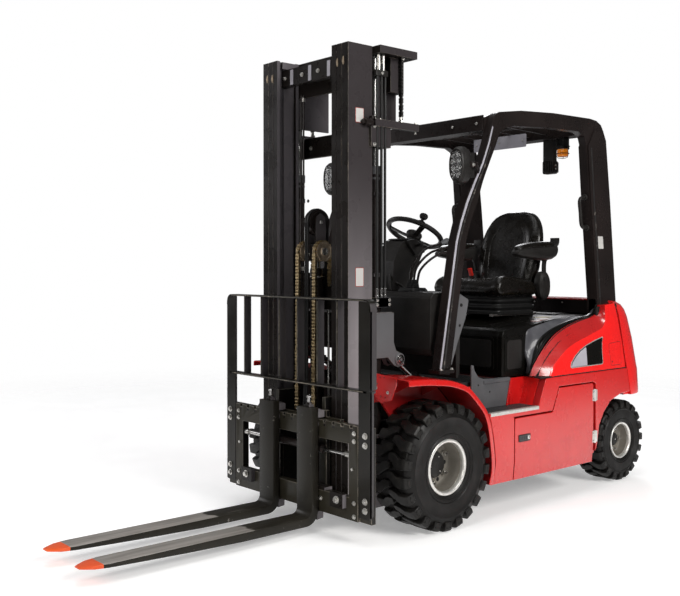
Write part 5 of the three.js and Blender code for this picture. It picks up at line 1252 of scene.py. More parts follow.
def lamp(side, label):
    m = (lambda p: p) if side > 0 else flip
    c = (470, 0, 1722)
    E = lambda w, h, y, n=40: [(c[0] + a, y, c[2] + b) for a, b in oval(w, h, n, 0, 0, 2.25)]
    body = loft([E(30, 60, 178), E(34, 66, 176), E(42, 78, 177), E(46, 84, 182), E(52, 90, 189), E(54, 92, 205), E(54, 92, 222), E(50, 86, 236), E(34, 66, 249), E(20, 40, 252)])
    bezel = loft([E(36, 68, 184), E(40, 74, 172.5), E(43, 78, 172.5), E(46, 84, 180)], caps=False)
    refl = loft([E(37.5, 70, 183), E(37, 69, 180.5), E(20, 50, 180)])
    glass = loft([E(38, 71.5, 176.6), E(30, 62, 174.8), E(16, 40, 173.8), E(2, 4, 173.4)])
    parts = [(m(body), 0), (m(bezel), 0), (m(refl), 2)]
    for i in range(2):
        for k in range(4):
            x, z = c[0] + (-17 if i == 0 else 17), c[2] + (k - 1.5) * 33 * (1.0 if i else 1.0)
            parts.append((m(lathe([(0, 2.2), (4, 2.0), (5.5, 0.8), (11.5, 5.0), (13.8, 7.4), (15, 7.4), (15, 0), (0, 0)], (0, -1, 0), (x, 182, z), 24)), 3))
            parts.append((m(lathe([(0, 6.6), (4, 6.0), (7, 4.6), (8.4, 2.6), (0, 2.0)], (0, -1, 0), (x, 182, z), 20)), 4))
    for k in range(6):
        parts.append((m(rbox(c[0] - 40 + 16 * k - 2.5, c[0] - 40 + 16 * k + 2.5, 226, 262, c[2] - 60, c[2] + 60, 1.5, "y", 2)), 0))
    # curved bracket to the guard
    br = sweep(spline([(470, 250, 1722), (470, 276, 1712), (470, 300, 1690), (468, 312, 1668)], 8), [(-16, -3), (16, -3), (16, 3), (-16, 3)], up=(1, 0, 0))
    parts.append((m(br), 1))
    parts.append((m(sweep(spline([(516, 214, 1722), (530, 226, 1722), (528, 262, 1722), (505, 290, 1716), (494, 318, 1700)], 8), [(-14, -3), (14, -3), (14, 3), (-14, 3)], up=(0, 0, 1))), 1))
    parts.append((m(hexhead((532, 232, 1722), (1, 0, 0), 7, 5, 10)), 5))
    parts.append((m(hose([(455, 250, 1700), (450, 286, 1660), (452, 330, 1650), (450, 350, 1690)], 4, 8)), 1))
    piece(f"headlamp_{label}", "chassis", parts, [PLASTIC, BLACK, SILVER, CHROME, LENS, ZINC], bevel=0.6, replaces=f"front_light_{label}", slot="lamp", smooth_angle=38)
    piece(f"headlamp_{label}_glass", "chassis", [(m(glass), 0)], [GLASS_CLEAR], bevel=0)


def clear_glass():
    t = Tree("lens_cover")
    t.set(Base_Color=(0.95, 0.96, 0.97), Roughness=t.span(t.noise(30.0, 3, 0.5), 0.3, 0.7, 0.02, 0.06))
    t.b.inputs["Transmission Weight"].default_value = 0.95
    t.b.inputs["IOR"].default_value = 1.2
    t.bump(t.wave(180.0, direction="X"), 0.10, 0.0008)
    return t.mat


GLASS_CLEAR = clear_glass()
lamp(1, "left")
lamp(-1, "right")

# rear work light and beacon
wl = [(loft([[(x, 1336 + d, z) for x, z in fillet([(120 + i, 1776 + i), (200 - i, 1776 + i), (200 - i, 1856 - i), (120 + i, 1856 - i)], 10, 4)] for d, i in ((60, 12), (52, 4), (40, 0), (8, 0), (2, 3), (0, 6))]), 0),
      (rbox(128, 192, 1394.5, 1401, 1784, 1848, 7, "y"), 1), (box(130, 190, 1342, 1346, 1830, 1974.5), 0), (box(124, 130, 1342, 1376, 1800, 1974.5), 0), (box(190, 196, 1342, 1376, 1800, 1974.5), 0)]
for i in range(3):
    for k in range(3):
        wl.append((lathe([(0, 1), (4, 3), (8.4, 4.6), (9.4, 4.6), (9.4, 0), (0, 0)], (0, 1, 0), (140 + 20 * i, 1396.5, 1796 + 20 * k), 18), 2))
for z in (1806, 1826):
    wl.append((hexhead((196, 1360, z), (1, 0, 0), 6, 5, 9), 3))
for k in range(5):
    wl.append((box(136 + 12 * k, 140 + 12 * k, 1328, 1338, 1782, 1850), 0))
piece("work_light", "chassis", wl, [PLASTIC, LENS, CHROME, ZINC], bevel=0.8, replaces="rear_work_light", slot="lamp")
bz = lambda prof, n=40: lathe(prof, (0, 0, 1), (262, 1340, 0), n)
bc = [(bz([(0, 1868), (26, 1868), (29, 1870), (31, 1876), (31.5, 1884), (30.5, 1888), (31.5, 1892), (30.5, 1896), (31.5, 1900), (30.5, 1904), (31.5, 1908), (33, 1912), (0, 1912)]), 1),
      (bz([(0, 1910), (36, 1910), (38, 1912), (38, 1920), (36, 1926), (0, 1926)]), 0),
      (rbox(230, 294, 1308, 1372, 1925, 1931, 8), 0), (rbox(236, 244, 1312, 1368, 1930, 1975, 2), 0), (rbox(280, 288, 1312, 1368, 1930, 1975, 2), 0), (rbox(236, 288, 1316, 1364, 1968, 1976, 4), 0)]
for k in range(3):
    a = 2 * math.pi * k / 3
    bc.append((hose([(262 + 37 * math.cos(a), 1340 + 37 * math.sin(a), 1914), (262 + 37 * math.cos(a), 1340 + 37 * math.sin(a), 1872), (262 + 30 * math.cos(a), 1340 + 30 * math.sin(a), 1861), (262, 1340, 1858)], 1.8, 6, 8), 2))
bc.append((ringed((262, 1340, 1884), (262, 1340, 1888), 32.5, 38.5, 32, 1), 2))
piece("beacon_lamp", "chassis", bc, [PLASTIC, AMBER, BLACK], bevel=0.6, replaces="beacon", slot="amber_lens")


# ------------------------------------------------------------------ hood
hoodp = []
# front box, top panel with pressed ribs, side boxes
side_o = [(552, 661), (552, 868), (562, 896), (590, 908), (760, 916), (860, 930), (1000, 946), (1280, 955), (1388, 955), (1388, 890), (1300, 880), (1190, 661)]
so = fillet(side_o, [4, 14, 20, 14, 40, 40, 40, 30, 8, 4, 10, 4], 5)
hoodp.append((sideways(so, -424, 424), 0))
fl_in = [(552, 661), (552, 868), (562, 896), (590, 908), (760, 916), (860, 930), (1000, 946), (1180, 952), (1180, 940), (1190, 661)]
hoodp += [(p, 0) for p in both(sideways(fillet(fl_in, [4, 14, 20, 14, 40, 40, 40, 20, 4, 4], 5), 420, 452))]
hoodo = piece("hood_shell", "hood", hoodp, [PLASTIC_GLOSS], bevel=7, seg=4, replaces="hood", slot="black_moulding", angle=40, smooth_angle=40)
HL = [(738, 668), (739, 760), (741, 850), (752, 896), (800, 912), (900, 930), (1000, 944), (1120, 950), (1250, 953), (1318, 955)]
hl = resample(spline([(a, b, 0) for a, b in HL], 12), N)
ai = resample(spline([(a - 3, b + 2, 0) for a, b in ARC], 12), N)
fl_rows = []
for i in range(N):
    a, h = ai[i], hl[i]
    row = []
    L = math.hypot(h[0] - a[0], h[1] - a[1])
    k = min(1.0, L / 60.0)
    prof = [(0.0, 0, -14), (0.0, 0, -1), (0.03, 0, 2.5), (0.07, -1, 3.5), (0.10, -2, 1.5), (0.115, -4, -4), (0.13, -4, -4), (0.145, -4, 1.0), (0.175, -5, 2.5), (0.205, -6, 1.0), (0.22, -8, -5), (0.235, -8, -5), (0.25, -9, 0), (0.285, -10, 1.5), (0.32, -11, 0),
            (0.335, -14, -6), (0.36, -16, -7), (0.44, -20, -8), (0.55, -28, -8), (0.68, -36, -5), (0.80, -43, -2), (0.90, -48, 0.5), (0.96, -53, 1.5), (1.0, -58, 0.0), (1.02, -66, -6)]
    nx, nz = (h[0] - a[0]) / max(L, 1e-3), (h[1] - a[1]) / max(L, 1e-3)
    for t, dx, lift in prof:
        x = 500 + dx * (0.35 + 0.65 * k) * (0.92 if dx > -12 else 0.95) + lift * k
        row.append((x, a[0] + (h[0] - a[0]) * t, a[1] + (h[1] - a[1]) * t))
    fl_rows.append(row)
cut_at = next(i for i, r in enumerate(fl_rows) if max(p[1] for p in r) > 1205)
for s, nm in ((1, "left"), (-1, "right")):
    m = (lambda p: p) if s > 0 else flip
    # the rear end of each flank stays on the truck, clear of the guard's rear pillar when the hood opens
    for rows_, title, body in ((fl_rows[:cut_at + 1], f"hood_flank_{nm}", "hood"), (fl_rows[cut_at:], f"rear_flank_{nm}", "chassis")):
        # the flank's face takes the lighter plastic, a painted sheen; the ribs near the arc keep the gloss black
        o = piece(title, body, [(m(grid(rows_)), 0)], [FLANK_PAINTED_SHEEN, PLASTIC_GLOSS], bevel=0, weld=0.02, smooth_angle=42)
        bm = bmesh.new(); bm.from_mesh(o.data)
        bmesh.ops.recalc_face_normals(bm, faces=bm.faces)
        f = max(bm.faces, key=lambda q: q.calc_area())
        if f.normal.x * s < 0:
            bmesh.ops.reverse_faces(bm, faces=bm.faces)
        bm.to_mesh(o.data); bm.free()
        o.data.polygons.foreach_set("use_smooth", [True] * len(o.data.polygons))
        o.data.set_sharp_from_angle(angle=math.radians(42))
        per = len(fl_rows[0]) - 1
        for q in o.data.polygons:
            if q.index % per < 15:
                q.material_index = 1
        md = o.modifiers.new("thick", "SOLIDIFY"); md.thickness, md.offset = 4 * MM, -1
    # black rubber seal along the arc
    seal = [(503, p[0] + 6, p[1] - 5) for p in resample(spline([(a, b, 0) for a, b in ARC], 12), 40)]
    piece(f"hood_seal_{nm}", "chassis", [(m(hose(seal, 5.5, 10, 14)), 0)], [SEAL], bevel=0)
hd = []
for x in (-330, -250, 250, 330):
    hd.append((loft([[(x - w, y, z + h) , (x + w, y, z + h), (x + w, y, z - 4), (x - w, y, z - 4)] for y, z, w, h in ((640, 909, 2, -2), (660, 911.5, 16, 2.5), (800, 921.5, 18, 3), (880, 932, 18, 3), (905, 935, 2, -2))]), 0))
# front face panels and side panels
hd += [(lengthways(fillet([(-400, 690), (400, 690), (400, 866), (-400, 866)], 22, 5), 548.6, 553), 0), (lengthways(fillet([(-384, 706), (384, 706), (384, 850), (-384, 850)], 16, 5), 546.8, 550), 1)]
hd += [(p, 0) for p in both(sideways(fillet([(572, 682), (724, 682), (724, 868), (600, 868), (572, 850)], 18, 5), 451, 454.5))]
hd += [(p, 1) for p in both(sideways(fillet([(588, 700), (708, 700), (708, 850), (604, 850), (588, 836)], 14, 5), 453, 456.2))]
# top tray behind the seat, latch, blank labels
hd += [(rbox(-300, 300, 1212, 1360, 953, 959, 24), 0), (rbox(-276, 276, 1230, 1342, 958.5, 960.5, 18), 1), (rbox(-40, 40, 1352, 1388, 950, 962, 8), 1)]
for z0, z1 in ((0, 0),):
    hd.append((rbox(-420, 420, 1376, 1388, 953, 966, 5, "y"), 0))


def flat_label(cx, cy, w, h, turn_, frame_k, face_k):
    zt = lambda y: float(np.interp(y, [552, 590, 760, 860, 1000, 1280, 1388], [895, 908.4, 916.4, 930.4, 946.4, 955.4, 955.4]))
    out = []
    for kk, sc, off in ((frame_k, 1.0, 0.5), (face_k, 0.88, 1.0)):
        o = fillet([(-w * sc, -h * sc), (w * sc, -h * sc), (w * sc, h * sc), (-w * sc, h * sc)], 3, 3)
        a = math.radians(turn_)
        pts = [(cx + p * math.cos(a) - q * math.sin(a), cy + p * math.sin(a) + q * math.cos(a)) for p, q in o]
        out.append((loft([[(x, y, zt(y) + off - 3) for x, y in pts], [(x, y, zt(y) + off) for x, y in pts]]), kk))
    return out


for args in ((330, 1062, 34, 44, 3, 3, 4), (392, 980, 26, 26, 3, 5, 2), (392, 920, 24, 24, 3, 5, 2)):
    hd += flat_label(*args)
piece("hood_details", "hood", hd, [PLASTIC_GLOSS, PLASTIC, LABEL, LABEL_GOLD, LABEL_GOLD, LABEL_EDGE], bevel=1.6, seg=3, smooth_angle=40)
# filler trims between hood and covers
fil = []
for s in (1, -1):
    m = (lambda p: p) if s > 0 else flip
    fil.append((m(upright(fillet([(428, 1190), (508, 1190), (508, 1322), (500, 1330), (428, 1330)], 6, 4), 926, 950)), 0))
    fil.append((m(rbox(504, 520, 1300, 1332, 940, 1006, 5)), 0))
piece("hood_fillers", "chassis", fil, [PLASTIC], bevel=2.5, seg=3)

# ------------------------------------------------------------------ seat
def cushion_skin(name, parts, body, mats, voxel, pressure, cap, replaces=(), sag=None):
    """Padded vinyl: the block is remeshed as one skin, inflated as cloth, kept near its shape, and smoothed."""
    base = piece(name + "_block", body, parts, mats, bevel=0, ride=False)
    bpy.context.view_layer.objects.active = base
    md = base.modifiers.new("one", "REMESH")
    md.mode, md.voxel_size = "VOXEL", voxel * MM
    apply_modifiers(base)
    sm = base.modifiers.new("soften", "SMOOTH"); sm.factor, sm.iterations = 0.5, 10
    apply_modifiers(base)
    rest = np.empty(len(base.data.vertices) * 3)
    base.data.vertices.foreach_get("co", rest)
    rest = rest.reshape(-1, 3)
    got = rest
    cl = base.modifiers.new("pad", "CLOTH")
    st = cl.settings
    st.use_pressure, st.uniform_pressure_force = True, pressure
    st.tension_stiffness = st.compression_stiffness = 12
    st.shear_stiffness, st.bending_stiffness = 8, 0.6
    st.quality, st.mass = 6, 0.25
    st.effector_weights.gravity = 0
    st.shrink_min = -0.02
    cl.collision_settings.use_self_collision = False
    cl.point_cache.frame_start, cl.point_cache.frame_end = 1, 20
    for f in range(1, 21):
        SCENE.frame_set(f)
    dg = bpy.context.evaluated_depsgraph_get()
    me = base.evaluated_get(dg).to_mesh()
    got = np.empty(len(me.vertices) * 3)
    me.vertices.foreach_get("co", got)
    got = got.reshape(-1, 3)
    base.evaluated_get(dg).to_mesh_clear()
    base.modifiers.clear()
    SCENE.frame_set(1)
    d = got - rest
    L = np.linalg.norm(d, axis=1, keepdims=True)
    L[L < 1e-9] = 1e-9
    d = d / L * (cap * MM * np.tanh(L / (cap * MM)))
    out = rest + d
    base.data.vertices.foreach_set("co", out.reshape(-1))
    base.data.update()
    base.name = name
    ALL[name] = base
    bv = base.modifiers.new("even", "SMOOTH"); bv.factor, bv.iterations = 0.5, 22
    apply_modifiers(base)
    base.data.polygons.foreach_set("use_smooth", [True] * len(base.data.polygons))
    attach(base, body)
    if replaces:
        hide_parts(replaces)
    return base


def seam(o, path, r=3.2):
    """Piping laid along a path of points pressed onto the cushion's skin."""
    tr = BVHTree.FromPolygons([v.co.copy() for v in o.data.vertices], [tuple(p.vertices) for p in o.data.polygons])
    out = []
    for p in spline(path, 14):
        q = Vector((p[0] * MM, (p[1] + SHIFT) * MM, p[2] * MM))
        hit, nn, _, _ = tr.find_nearest(q)
        w = hit + nn * 0.0004
        out.append((w.x / MM, w.y / MM - SHIFT, w.z / MM))
    return sweep(out, oval(r, r, 8), False)


CU = [(792, 1076), (780, 1108), (800, 1146), (860, 1164), (1000, 1152), (1090, 1144), (1128, 1120), (1130, 1068), (830, 1066)]
cu = fillet(CU, [8, 22, 22, 20, 10, 16, 16, 10, 14], 5)
cush = [sideways(cu, -172, 172)]
for s in (1, -1):
    m = (lambda p: p) if s > 0 else flip
    bol = []
    for x, g in ((158, 0.86), (176, 0.97), (200, 1.04), (226, 1.0), (240, 0.86)):
        bol.append([(x, 960 + (y - 960) * (0.98 if x > 160 else 0.95), 1066 + (z - 1066) * g * 1.14) for y, z in cu])
    cush.append(m(loft(bol)))
cs = cushion_skin("seat_cushion_pad", [(join_parts(*cush), 0)], "hood", [VINYL], 7.5, 1.2, 3, "seat_cushion")
bk = []
for z, w, yf, yb, dip in ((1086, 168, 1126, 1196, 4), (1100, 180, 1116, 1208, 8), (1150, 196, 1112, 1220, 14), (1220, 212, 1120, 1238, 20), (1290, 218, 1132, 1254, 24), (1350, 217, 1146, 1266, 26), (1410, 208, 1162, 1278, 24),
                          (1455, 194, 1178, 1288, 19), (1495, 172, 1196, 1295, 13), (1525, 144, 1212, 1297, 8), (1545, 110, 1226, 1294, 4), (1556, 66, 1242, 1284, 1)):
    sec = []
    for x, y in oval(w, (yb - yf) / 2, 56, 0, (yb + yf) / 2, 2.7):
        f_ = 1.0 if y < (yb + yf) / 2 else 0.0
        u_ = min(1.0, abs(x) / w)
        sec.append((x, y + f_ * dip * (1 - u_ ** 3) - f_ * dip * 0.55 * math.exp(-((u_ - 0.80) / 0.15) ** 2), z))
    bk.append(sec)
bs = cushion_skin("seat_back_pad", [(loft(bk), 0)], "hood", [VINYL], 6.5, 1.2, 2.5, "seat_back")
sm_parts = []
for s in (1, -1):
    sm_parts.append((seam(cs, [(168 * s, 800, 1160), (166 * s, 860, 1200), (164 * s, 980, 1190), (164 * s, 1100, 1180)], 2.6), 0))
    sm_parts.append((seam(bs, [(166 * s, 1120, 1150), (158 * s, 1140, 1240), (158 * s, 1160, 1340), (170 * s, 1190, 1450), (150 * s, 1200, 1540), (60 * s, 1210, 1552)], 2.6), 0))
for s in (1, -1):
    sm_parts.append((seam(bs, [(112 * s, 1120, 1110), (118 * s, 1130, 1200), (126 * s, 1140, 1300), (118 * s, 1160, 1400), (84 * s, 1190, 1460)], 2.0), 0))
for s in (1, -1):
    sm_parts.append((seam(cs, [(110 * s, 800, 1160), (112 * s, 900, 1180), (108 * s, 1020, 1180), (104 * s, 1110, 1170)], 2.0), 0))
piece("seat_seams", "hood", sm_parts, [VINYL], bevel=0)

# back shell, base with bellows, slide rails, side pods, arm rests, buckle
ss = []
shell = [(1216, 1086), (1236, 1120), (1256, 1240), (1280, 1360), (1298, 1440), (1306, 1500), (1296, 1512), (1280, 1500), (1262, 1380), (1236, 1240), (1214, 1120)]
shr = []
for x, g in ((-150, 0.80), (-146, 0.90), (-132, 0.965), (-110, 0.99), (0, 1.0), (110, 0.99), (132, 0.965), (146, 0.90), (150, 0.80)):
    shr.append([(x, y, 1086 + (z - 1086) * g) for y, z in fillet(shell, 6, 3)])
ss.append((loft(shr), 0))
for k in range(5):
    ss.append((rbox(-120, 120, 1262 + 9 * k, 1266 + 9 * k, 1180 + 40 * k, 1186 + 40 * k, 2, "y"), 0))
rngs = []
for z, g in ((957, 0.90), (962, 0.99), (972, 1.0), (978, 0.955), (984, 0.95), (990, 0.985), (1000, 1.02), (1008, 1.02), (1014, 0.96), (1020, 0.955), (1026, 0.99), (1036, 1.03), (1046, 1.03), (1052, 0.98), (1066, 0.97)):
    rngs.append([(x * g, 1020 + (y - 1020) * g, z) for x, y in fillet([(-188, 842), (188, 842), (188, 1196), (-188, 1196)], 42, 7)])
ss.append((loft(rngs), 1))
ss += [(p, 2) for p in both(rbox(150, 176, 820, 1210, 953, 966, 3, "y"))]
ss += [(rbox(-206, 206, 836, 1150, 1062, 1074, 30), 0)]
for s in (1, -1):
    m = (lambda p: p) if s > 0 else flip
    # round plastic pod at the back rest's hinge
    pod = []
    for x, g in ((212, 0.72), (226, 0.96), (246, 1.0), (262, 0.95), (272, 0.78), (277, 0.4)):
        pod.append([(x, 1172 + (y - 1172) * g, 1120 + (z - 1120) * g) for y, z in oval(50, 84, 36, 1172, 1120, 2.3)])
    ss.append((m(loft(pod)), 0))
    ss.append((m(lathe([(0, 0), (14, 0), (13, 4), (0, 5)], (1, 0, 0), (275, 1160, 1160), 28)), 1))
    # arm rest: bracket, pad with a rounded tray and turned-up end
    ss.append((m(sweep(spline([(244, 1190, 1180), (250, 1180, 1230), (262, 1172, 1282), (276, 1160, 1300)], 10), fillet([(-14, -8), (14, -8), (14, 8), (-14, 8)], 5, 3), up=(0, 1, 0))), 0))
    ss.append((m(lathe([(0, 0), (24, 0), (26, 3), (26, 16), (22, 20), (0, 20)], (1, 0, 0), (246, 1176, 1282), 32)), 0))
    tray = []
    for y, w, z0, z1 in ((866, 14, 1300, 1312), (874, 26, 1292, 1318), (900, 33, 1284, 1328), (960, 36, 1276, 1338), (1040, 37, 1268, 1342), (1120, 37, 1264, 1346), (1180, 36, 1270, 1350), (1214, 34, 1284, 1352), (1228, 30, 1300, 1352), (1234, 22, 1320, 1350)):
        tray.append([(x + 283, y, z) for x, z in oval(w, (z1 - z0) / 2, 24, 0, (z0 + z1) / 2, 3.0)])
    ss.append((m(loft(tray)), 0))
    lip = []
    for y, z, t in ((1206, 1340, 7), (1226, 1350, 7), (1236, 1366, 6), (1238, 1384, 5), (1237, 1394, 3)):
        lip.append([(x + 283, y + q, z) for x, q in oval(31, t, 20, 0, 0, 3)])
    ss.append((m(loft(lip)), 0))
ss.append((rbox(-238, -222, 1090, 1110, 1120, 1196, 4, "y"), 1))
piece("seat_shell", "hood", ss, [PLASTIC, SEAL, STEEL], bevel=1.2, replaces=("seat_base", "armrest"), slot="black_moulding", smooth_angle=42)
pads = []
for s in (1, -1):
    m = (lambda p: p) if s > 0 else flip
    rws = []
    for y, w, z, h in ((878, 20, 1318, 8), (890, 28, 1326, 15), (930, 31, 1338, 19), (1000, 32, 1346, 20), (1080, 32, 1352, 20), (1160, 31, 1355, 19), (1196, 28, 1355, 14), (1208, 20, 1353, 8)):
        rws.append([(x + 283, y, q) for x, q in oval(w, h, 24, 0, z, 2.6)])
    pads.append((m(loft(rws)), 0))
pd = piece("arm_pads", "hood", pads, [VINYL], bevel=0, sub=1, smooth_angle=60)
# buckle with its stalk; the belt is swept but not added to the piece
bu = [(turn(rbox(-12, 12, -7, 7, 0, 52, 5), "X", -24), 0)]
bu = [(move(turn(rbox(-13, 13, -8, 8, 0, 46, 5), "X", 22), -214, 1096, 1176), 0), (move(turn(rbox(-12, 12, -6, 6, -60, 2, 4), "X", 22), -214, 1096, 1176), 1)]
belt = sweep(spline([(214, 1190, 1168), (196, 1120, 1188), (60, 1040, 1170), (-80, 1060, 1166), (-190, 1090, 1180), (-214, 1104, 1200)], 14), [(-22, -1.2), (22, -1.2), (22, 1.2), (-22, 1.2)], up=(0, 1, 0.3))
piece("seat_belt", "hood", bu, [BELT_RED, PLASTIC], bevel=1.2)

# ------------------------------------------------------------------ dash, column, wheel, levers
cw_o = fillet([(60, 800), (48, 830), (52, 1082), (80, 1104), (200, 1104), (262, 1090), (268, 1060), (262, 700), (236, 664), (236, 800)], [8, 16, 20, 14, 30, 16, 20, 18, 8, 8], 5)
da = [(sideways(cw_o, -420, 420), 0)]
da += [(lengthways(fillet([(-392, 720), (392, 720), (392, 1040), (-392, 1040)], 30, 5), 262, 270), 0), (lengthways(fillet([(-200, 690), (200, 690), (190, 1010), (-190, 1010)], 22, 5), 268, 274), 1)]
for x0, x1 in ((-380, -230), (230, 380)):
    da.append((rbox(x0, x1, 90, 210, 1102, 1107, 12), 0))
    da.append((rbox(x0 + 10, x1 - 10, 100, 200, 1104, 1108.5, 10), 2))
piece("dash_shell", "chassis", da, [PLASTIC, PLASTIC, MATRUB], bevel=3, seg=3, replaces="dash_cowl", slot="black_moulding", angle=40, smooth_angle=42)
col = [(sideways(fillet([(157, 1104.5), (150, 1180), (156, 1256), (196, 1330), (232, 1368), (332, 1340), (372, 1305), (300, 1180), (272, 1104.5)], [4, 20, 30, 30, 20, 20, 20, 40, 4], 5), -66, 66), 0),
       (sideways(fillet([(226, 1366), (298, 1374), (344, 1342), (374, 1308), (300, 1286)], [14, 12, 10, 10, 14], 4), -88, 88), 0),
       (sideways(fillet([(310, 1180), (380, 1300), (384, 1312), (374, 1312), (300, 1190)], [10, 10, 4, 4, 10], 3), -58, 58), 1),
       (sideways(fillet([(276, 1112), (306, 1180), (300, 1188), (268, 1112)], [3, 8, 3, 3], 3), -52, 52), 1),
       (rod((88, 300, 1340), (128, 288, 1346), 9, 20, chamfer=1.5), 0), (ball((134, 287, 1347), 14, 22, 12), 0), (rod((-88, 300, 1340), (-150, 276, 1356), 5, 16, chamfer=1), 0), (rod((-150, 276, 1356), (-178, 268, 1362), 9, 20, r2=7, chamfer=2), 1),
       (lathe([(0, 0), (30, 0), (30, 6), (26, 10), (0, 10)], (0, -0.49, -0.8717), (0, 352, 1362), 36), 0)]
disp = fillet([(-62, -28), (62, -28), (62, 28), (-62, 28)], 8, 4)
cc, uu, ww = Vector((0, 246, 1373)), Vector((1, 0, 0)), Vector((0, 0.9, -0.43)).normalized()
col.append((rbox(-60, 60, 236, 296, 1371, 1377, 8), 0))
col.append((rbox(-50, 50, 244, 288, 1376, 1378.5, 5), 2))
col += [(hose([(60, 170, 1150), (90, 190, 1130), (110, 200, 1106)], 7, 10), 0), (hose([(40, 156, 1190), (52, 140, 1150), (60, 140, 1106)], 6, 10), 0)]
piece("column_shell", "chassis", col, [PLASTIC, PLASTIC_GREY, GLASS_DARK], bevel=2.6, seg=3, replaces="steering_column", slot="black_moulding", angle=40, smooth_angle=42)
UPV = Vector((0, .49, .8717)); WU, WV = Vector((1, 0, 0)), Vector((0, .8717, -.49)); WC = Vector((0, 380, 1410))
on = lambda a, b, h: tuple(WC + WU * a + WV * b + UPV * h)
ringp = [on(148 * math.cos(t), 148 * math.sin(t), 0) for t in [2 * math.pi * k / 72 for k in range(72)]]
wsec = oval(13.2, 14, 16)
wp = [(sweep(ringp, wsec, closed=True, up=tuple(UPV)), 0)]
for k in range(24):
    pass
for t in (90, 210, 330):
    a = math.radians(t)
    path = [on(30 * math.cos(a), 30 * math.sin(a), -24), on(60 * math.cos(a), 60 * math.sin(a), -20), on(100 * math.cos(a), 100 * math.sin(a), -10), on(140 * math.cos(a), 140 * math.sin(a), -1)]
    wp.append((sweep(spline(path, 10), fillet([(-15, -5), (15, -5), (15, 5), (-15, 5)], 4, 3), up=tuple((WU * -math.sin(a) + WV * math.cos(a)))), 0))
wp += [(lathe([(0, -42), (26, -42), (34, -36), (42, -22), (44, -8), (40, 0), (34, 4), (0, 6)], UPV, WC, 44), 0), (lathe([(0, 5.6), (24, 5), (25, 6), (24, 7.4), (0, 8.4)], UPV, WC, 40), 1)]
kc = WC + WU * 112 + WV * -84
wp += [(lathe([(0, 4), (12, 6), (11, 20), (8, 24), (8, 30), (17, 34), (22, 42), (23, 50), (20, 58), (12, 63), (0, 64)], UPV, kc, 32), 0), (lathe([(0, 12), (19, 12), (19, 16), (0, 16)], UPV, kc, 28), 0)]
piece("steering_wheel_rim", "steering_wheel", wp, [PLASTIC, PLASTIC_GREY], bevel=0.8, replaces="steering_wheel", slot="black_moulding", smooth_angle=45)
lv = [(loft([[(x, y, z) for x, y in fillet([(150 + i, 96 + i), (262 - i, 96 + i), (262 - i, 206 - i), (150 + i, 206 - i)], 12, 4)] for i, z in ((0, 1104.5), (0, 1112), (4, 1118), (8, 1124), (10, 1124))]), 0)]
levers = (((182, 150, 1128), (184, 154, 1160), (186, 168, 1230), (196, 240, 1312), (206, 372, 1352)), ((206, 150, 1128), (208, 156, 1160), (210, 172, 1222), (222, 262, 1300), (236, 392, 1330)), ((230, 150, 1128), (232, 158, 1160), (234, 176, 1212), (248, 284, 1288), (266, 412, 1308)))
for pth in levers:
    lv.append((hose(list(pth), 6.2, 14, 12), 1))
    b0 = Vector(pth[0])
    for k in range(5):
        lv.append((lathe([(5, 0), (15 - k * 1.6, 0), (16.5 - k * 1.7, 4), (14 - k * 1.6, 8), (5, 8)], (0, 0.1, 1), tuple(b0 + Vector((0, k * 0.8, -4 + k * 8))), 24), 0))
    e, d0 = Vector(pth[-1]), (Vector(pth[-1]) - Vector(pth[-2])).normalized()
    lv.append((lathe([(0, -12), (9, -12), (11, -6), (15, 10), (18, 26), (18.5, 34), (16, 41), (9, 45), (0, 46)], d0, e, 32), 2))
    lv.append((lathe([(0, 45), (7, 45), (7, 46.6), (0, 47)], d0, e, 20), 0))
piece("lever_bank", "chassis", lv, [SEAL, BLACK, PLASTIC_GREY], bevel=0.8, replaces="control_levers", slot="black_moulding", smooth_angle=45)
# pedals
pe = []
for x, w in ((-20, 34), (110, 30)):
    pe += [(turn(rbox(x - w, x + w, 300, 306, 690, 790, 8, "y"), "X", 24, (x, 300, 690)), 0), (hose([(x, 300, 735), (x, 288, 800), (x, 275, 860)], 8, 12), 1)]
    for k in range(6):
        pe.append((turn(rbox(x - w + 6, x + w - 6, 305, 309, 700 + 14 * k, 706 + 14 * k, 2, "y"), "X", 24, (x, 300, 690)), 0))
piece("pedals", "chassis", pe, [MATRUB, BLACK], bevel=0.8)


# ------------------------------------------------------------------ mast
def label(c, u, w, a, b, off, frame_k, face_k, n):
    """A small blank plate: centre c, half sizes a along u and b along w, standing off along n."""
    c, u, w, n = Vector(c), Vector(u), Vector(w), Vector(n)
    def ring(s, t, h):
        return [tuple(c + u * (p * s) + w * (q * t) + n * h) for p, q in fillet([(-a, -b), (a, -b), (a, b), (-a, b)], min(a, b) * 0.16, 3)]
    return [(loft([ring(1, 1, 0), ring(1, 1, off)]), frame_k), (loft([ring(0.90, 0.94, off * 0.5), ring(0.90, 0.94, off + 0.5)]), face_k)]


for node, nm, body, mats, bev in (("outer_mast", "mast_outer_frame", "outer_mast", [MAST, MAST_EDGE, GREY], 2.0), ("middle_mast", "mast_middle_frame", "middle_mast", [MAST, MAST_EDGE, GREY], 1.6),
                                  ("inner_mast", "mast_inner_frame", "inner_mast", [MAST, MAST_EDGE, GREY], 1.6)):
    refine(node, nm, body, mats, bevel=bev, edge=1)
tint(ALL["mast_outer_frame"], lambda c, n: 2 if (812 < c[2] < 1012 and c[1] > -156 and abs(c[0]) > 250) or (abs(c[0]) > 315 and 745 < c[2] < 1015) else 0)

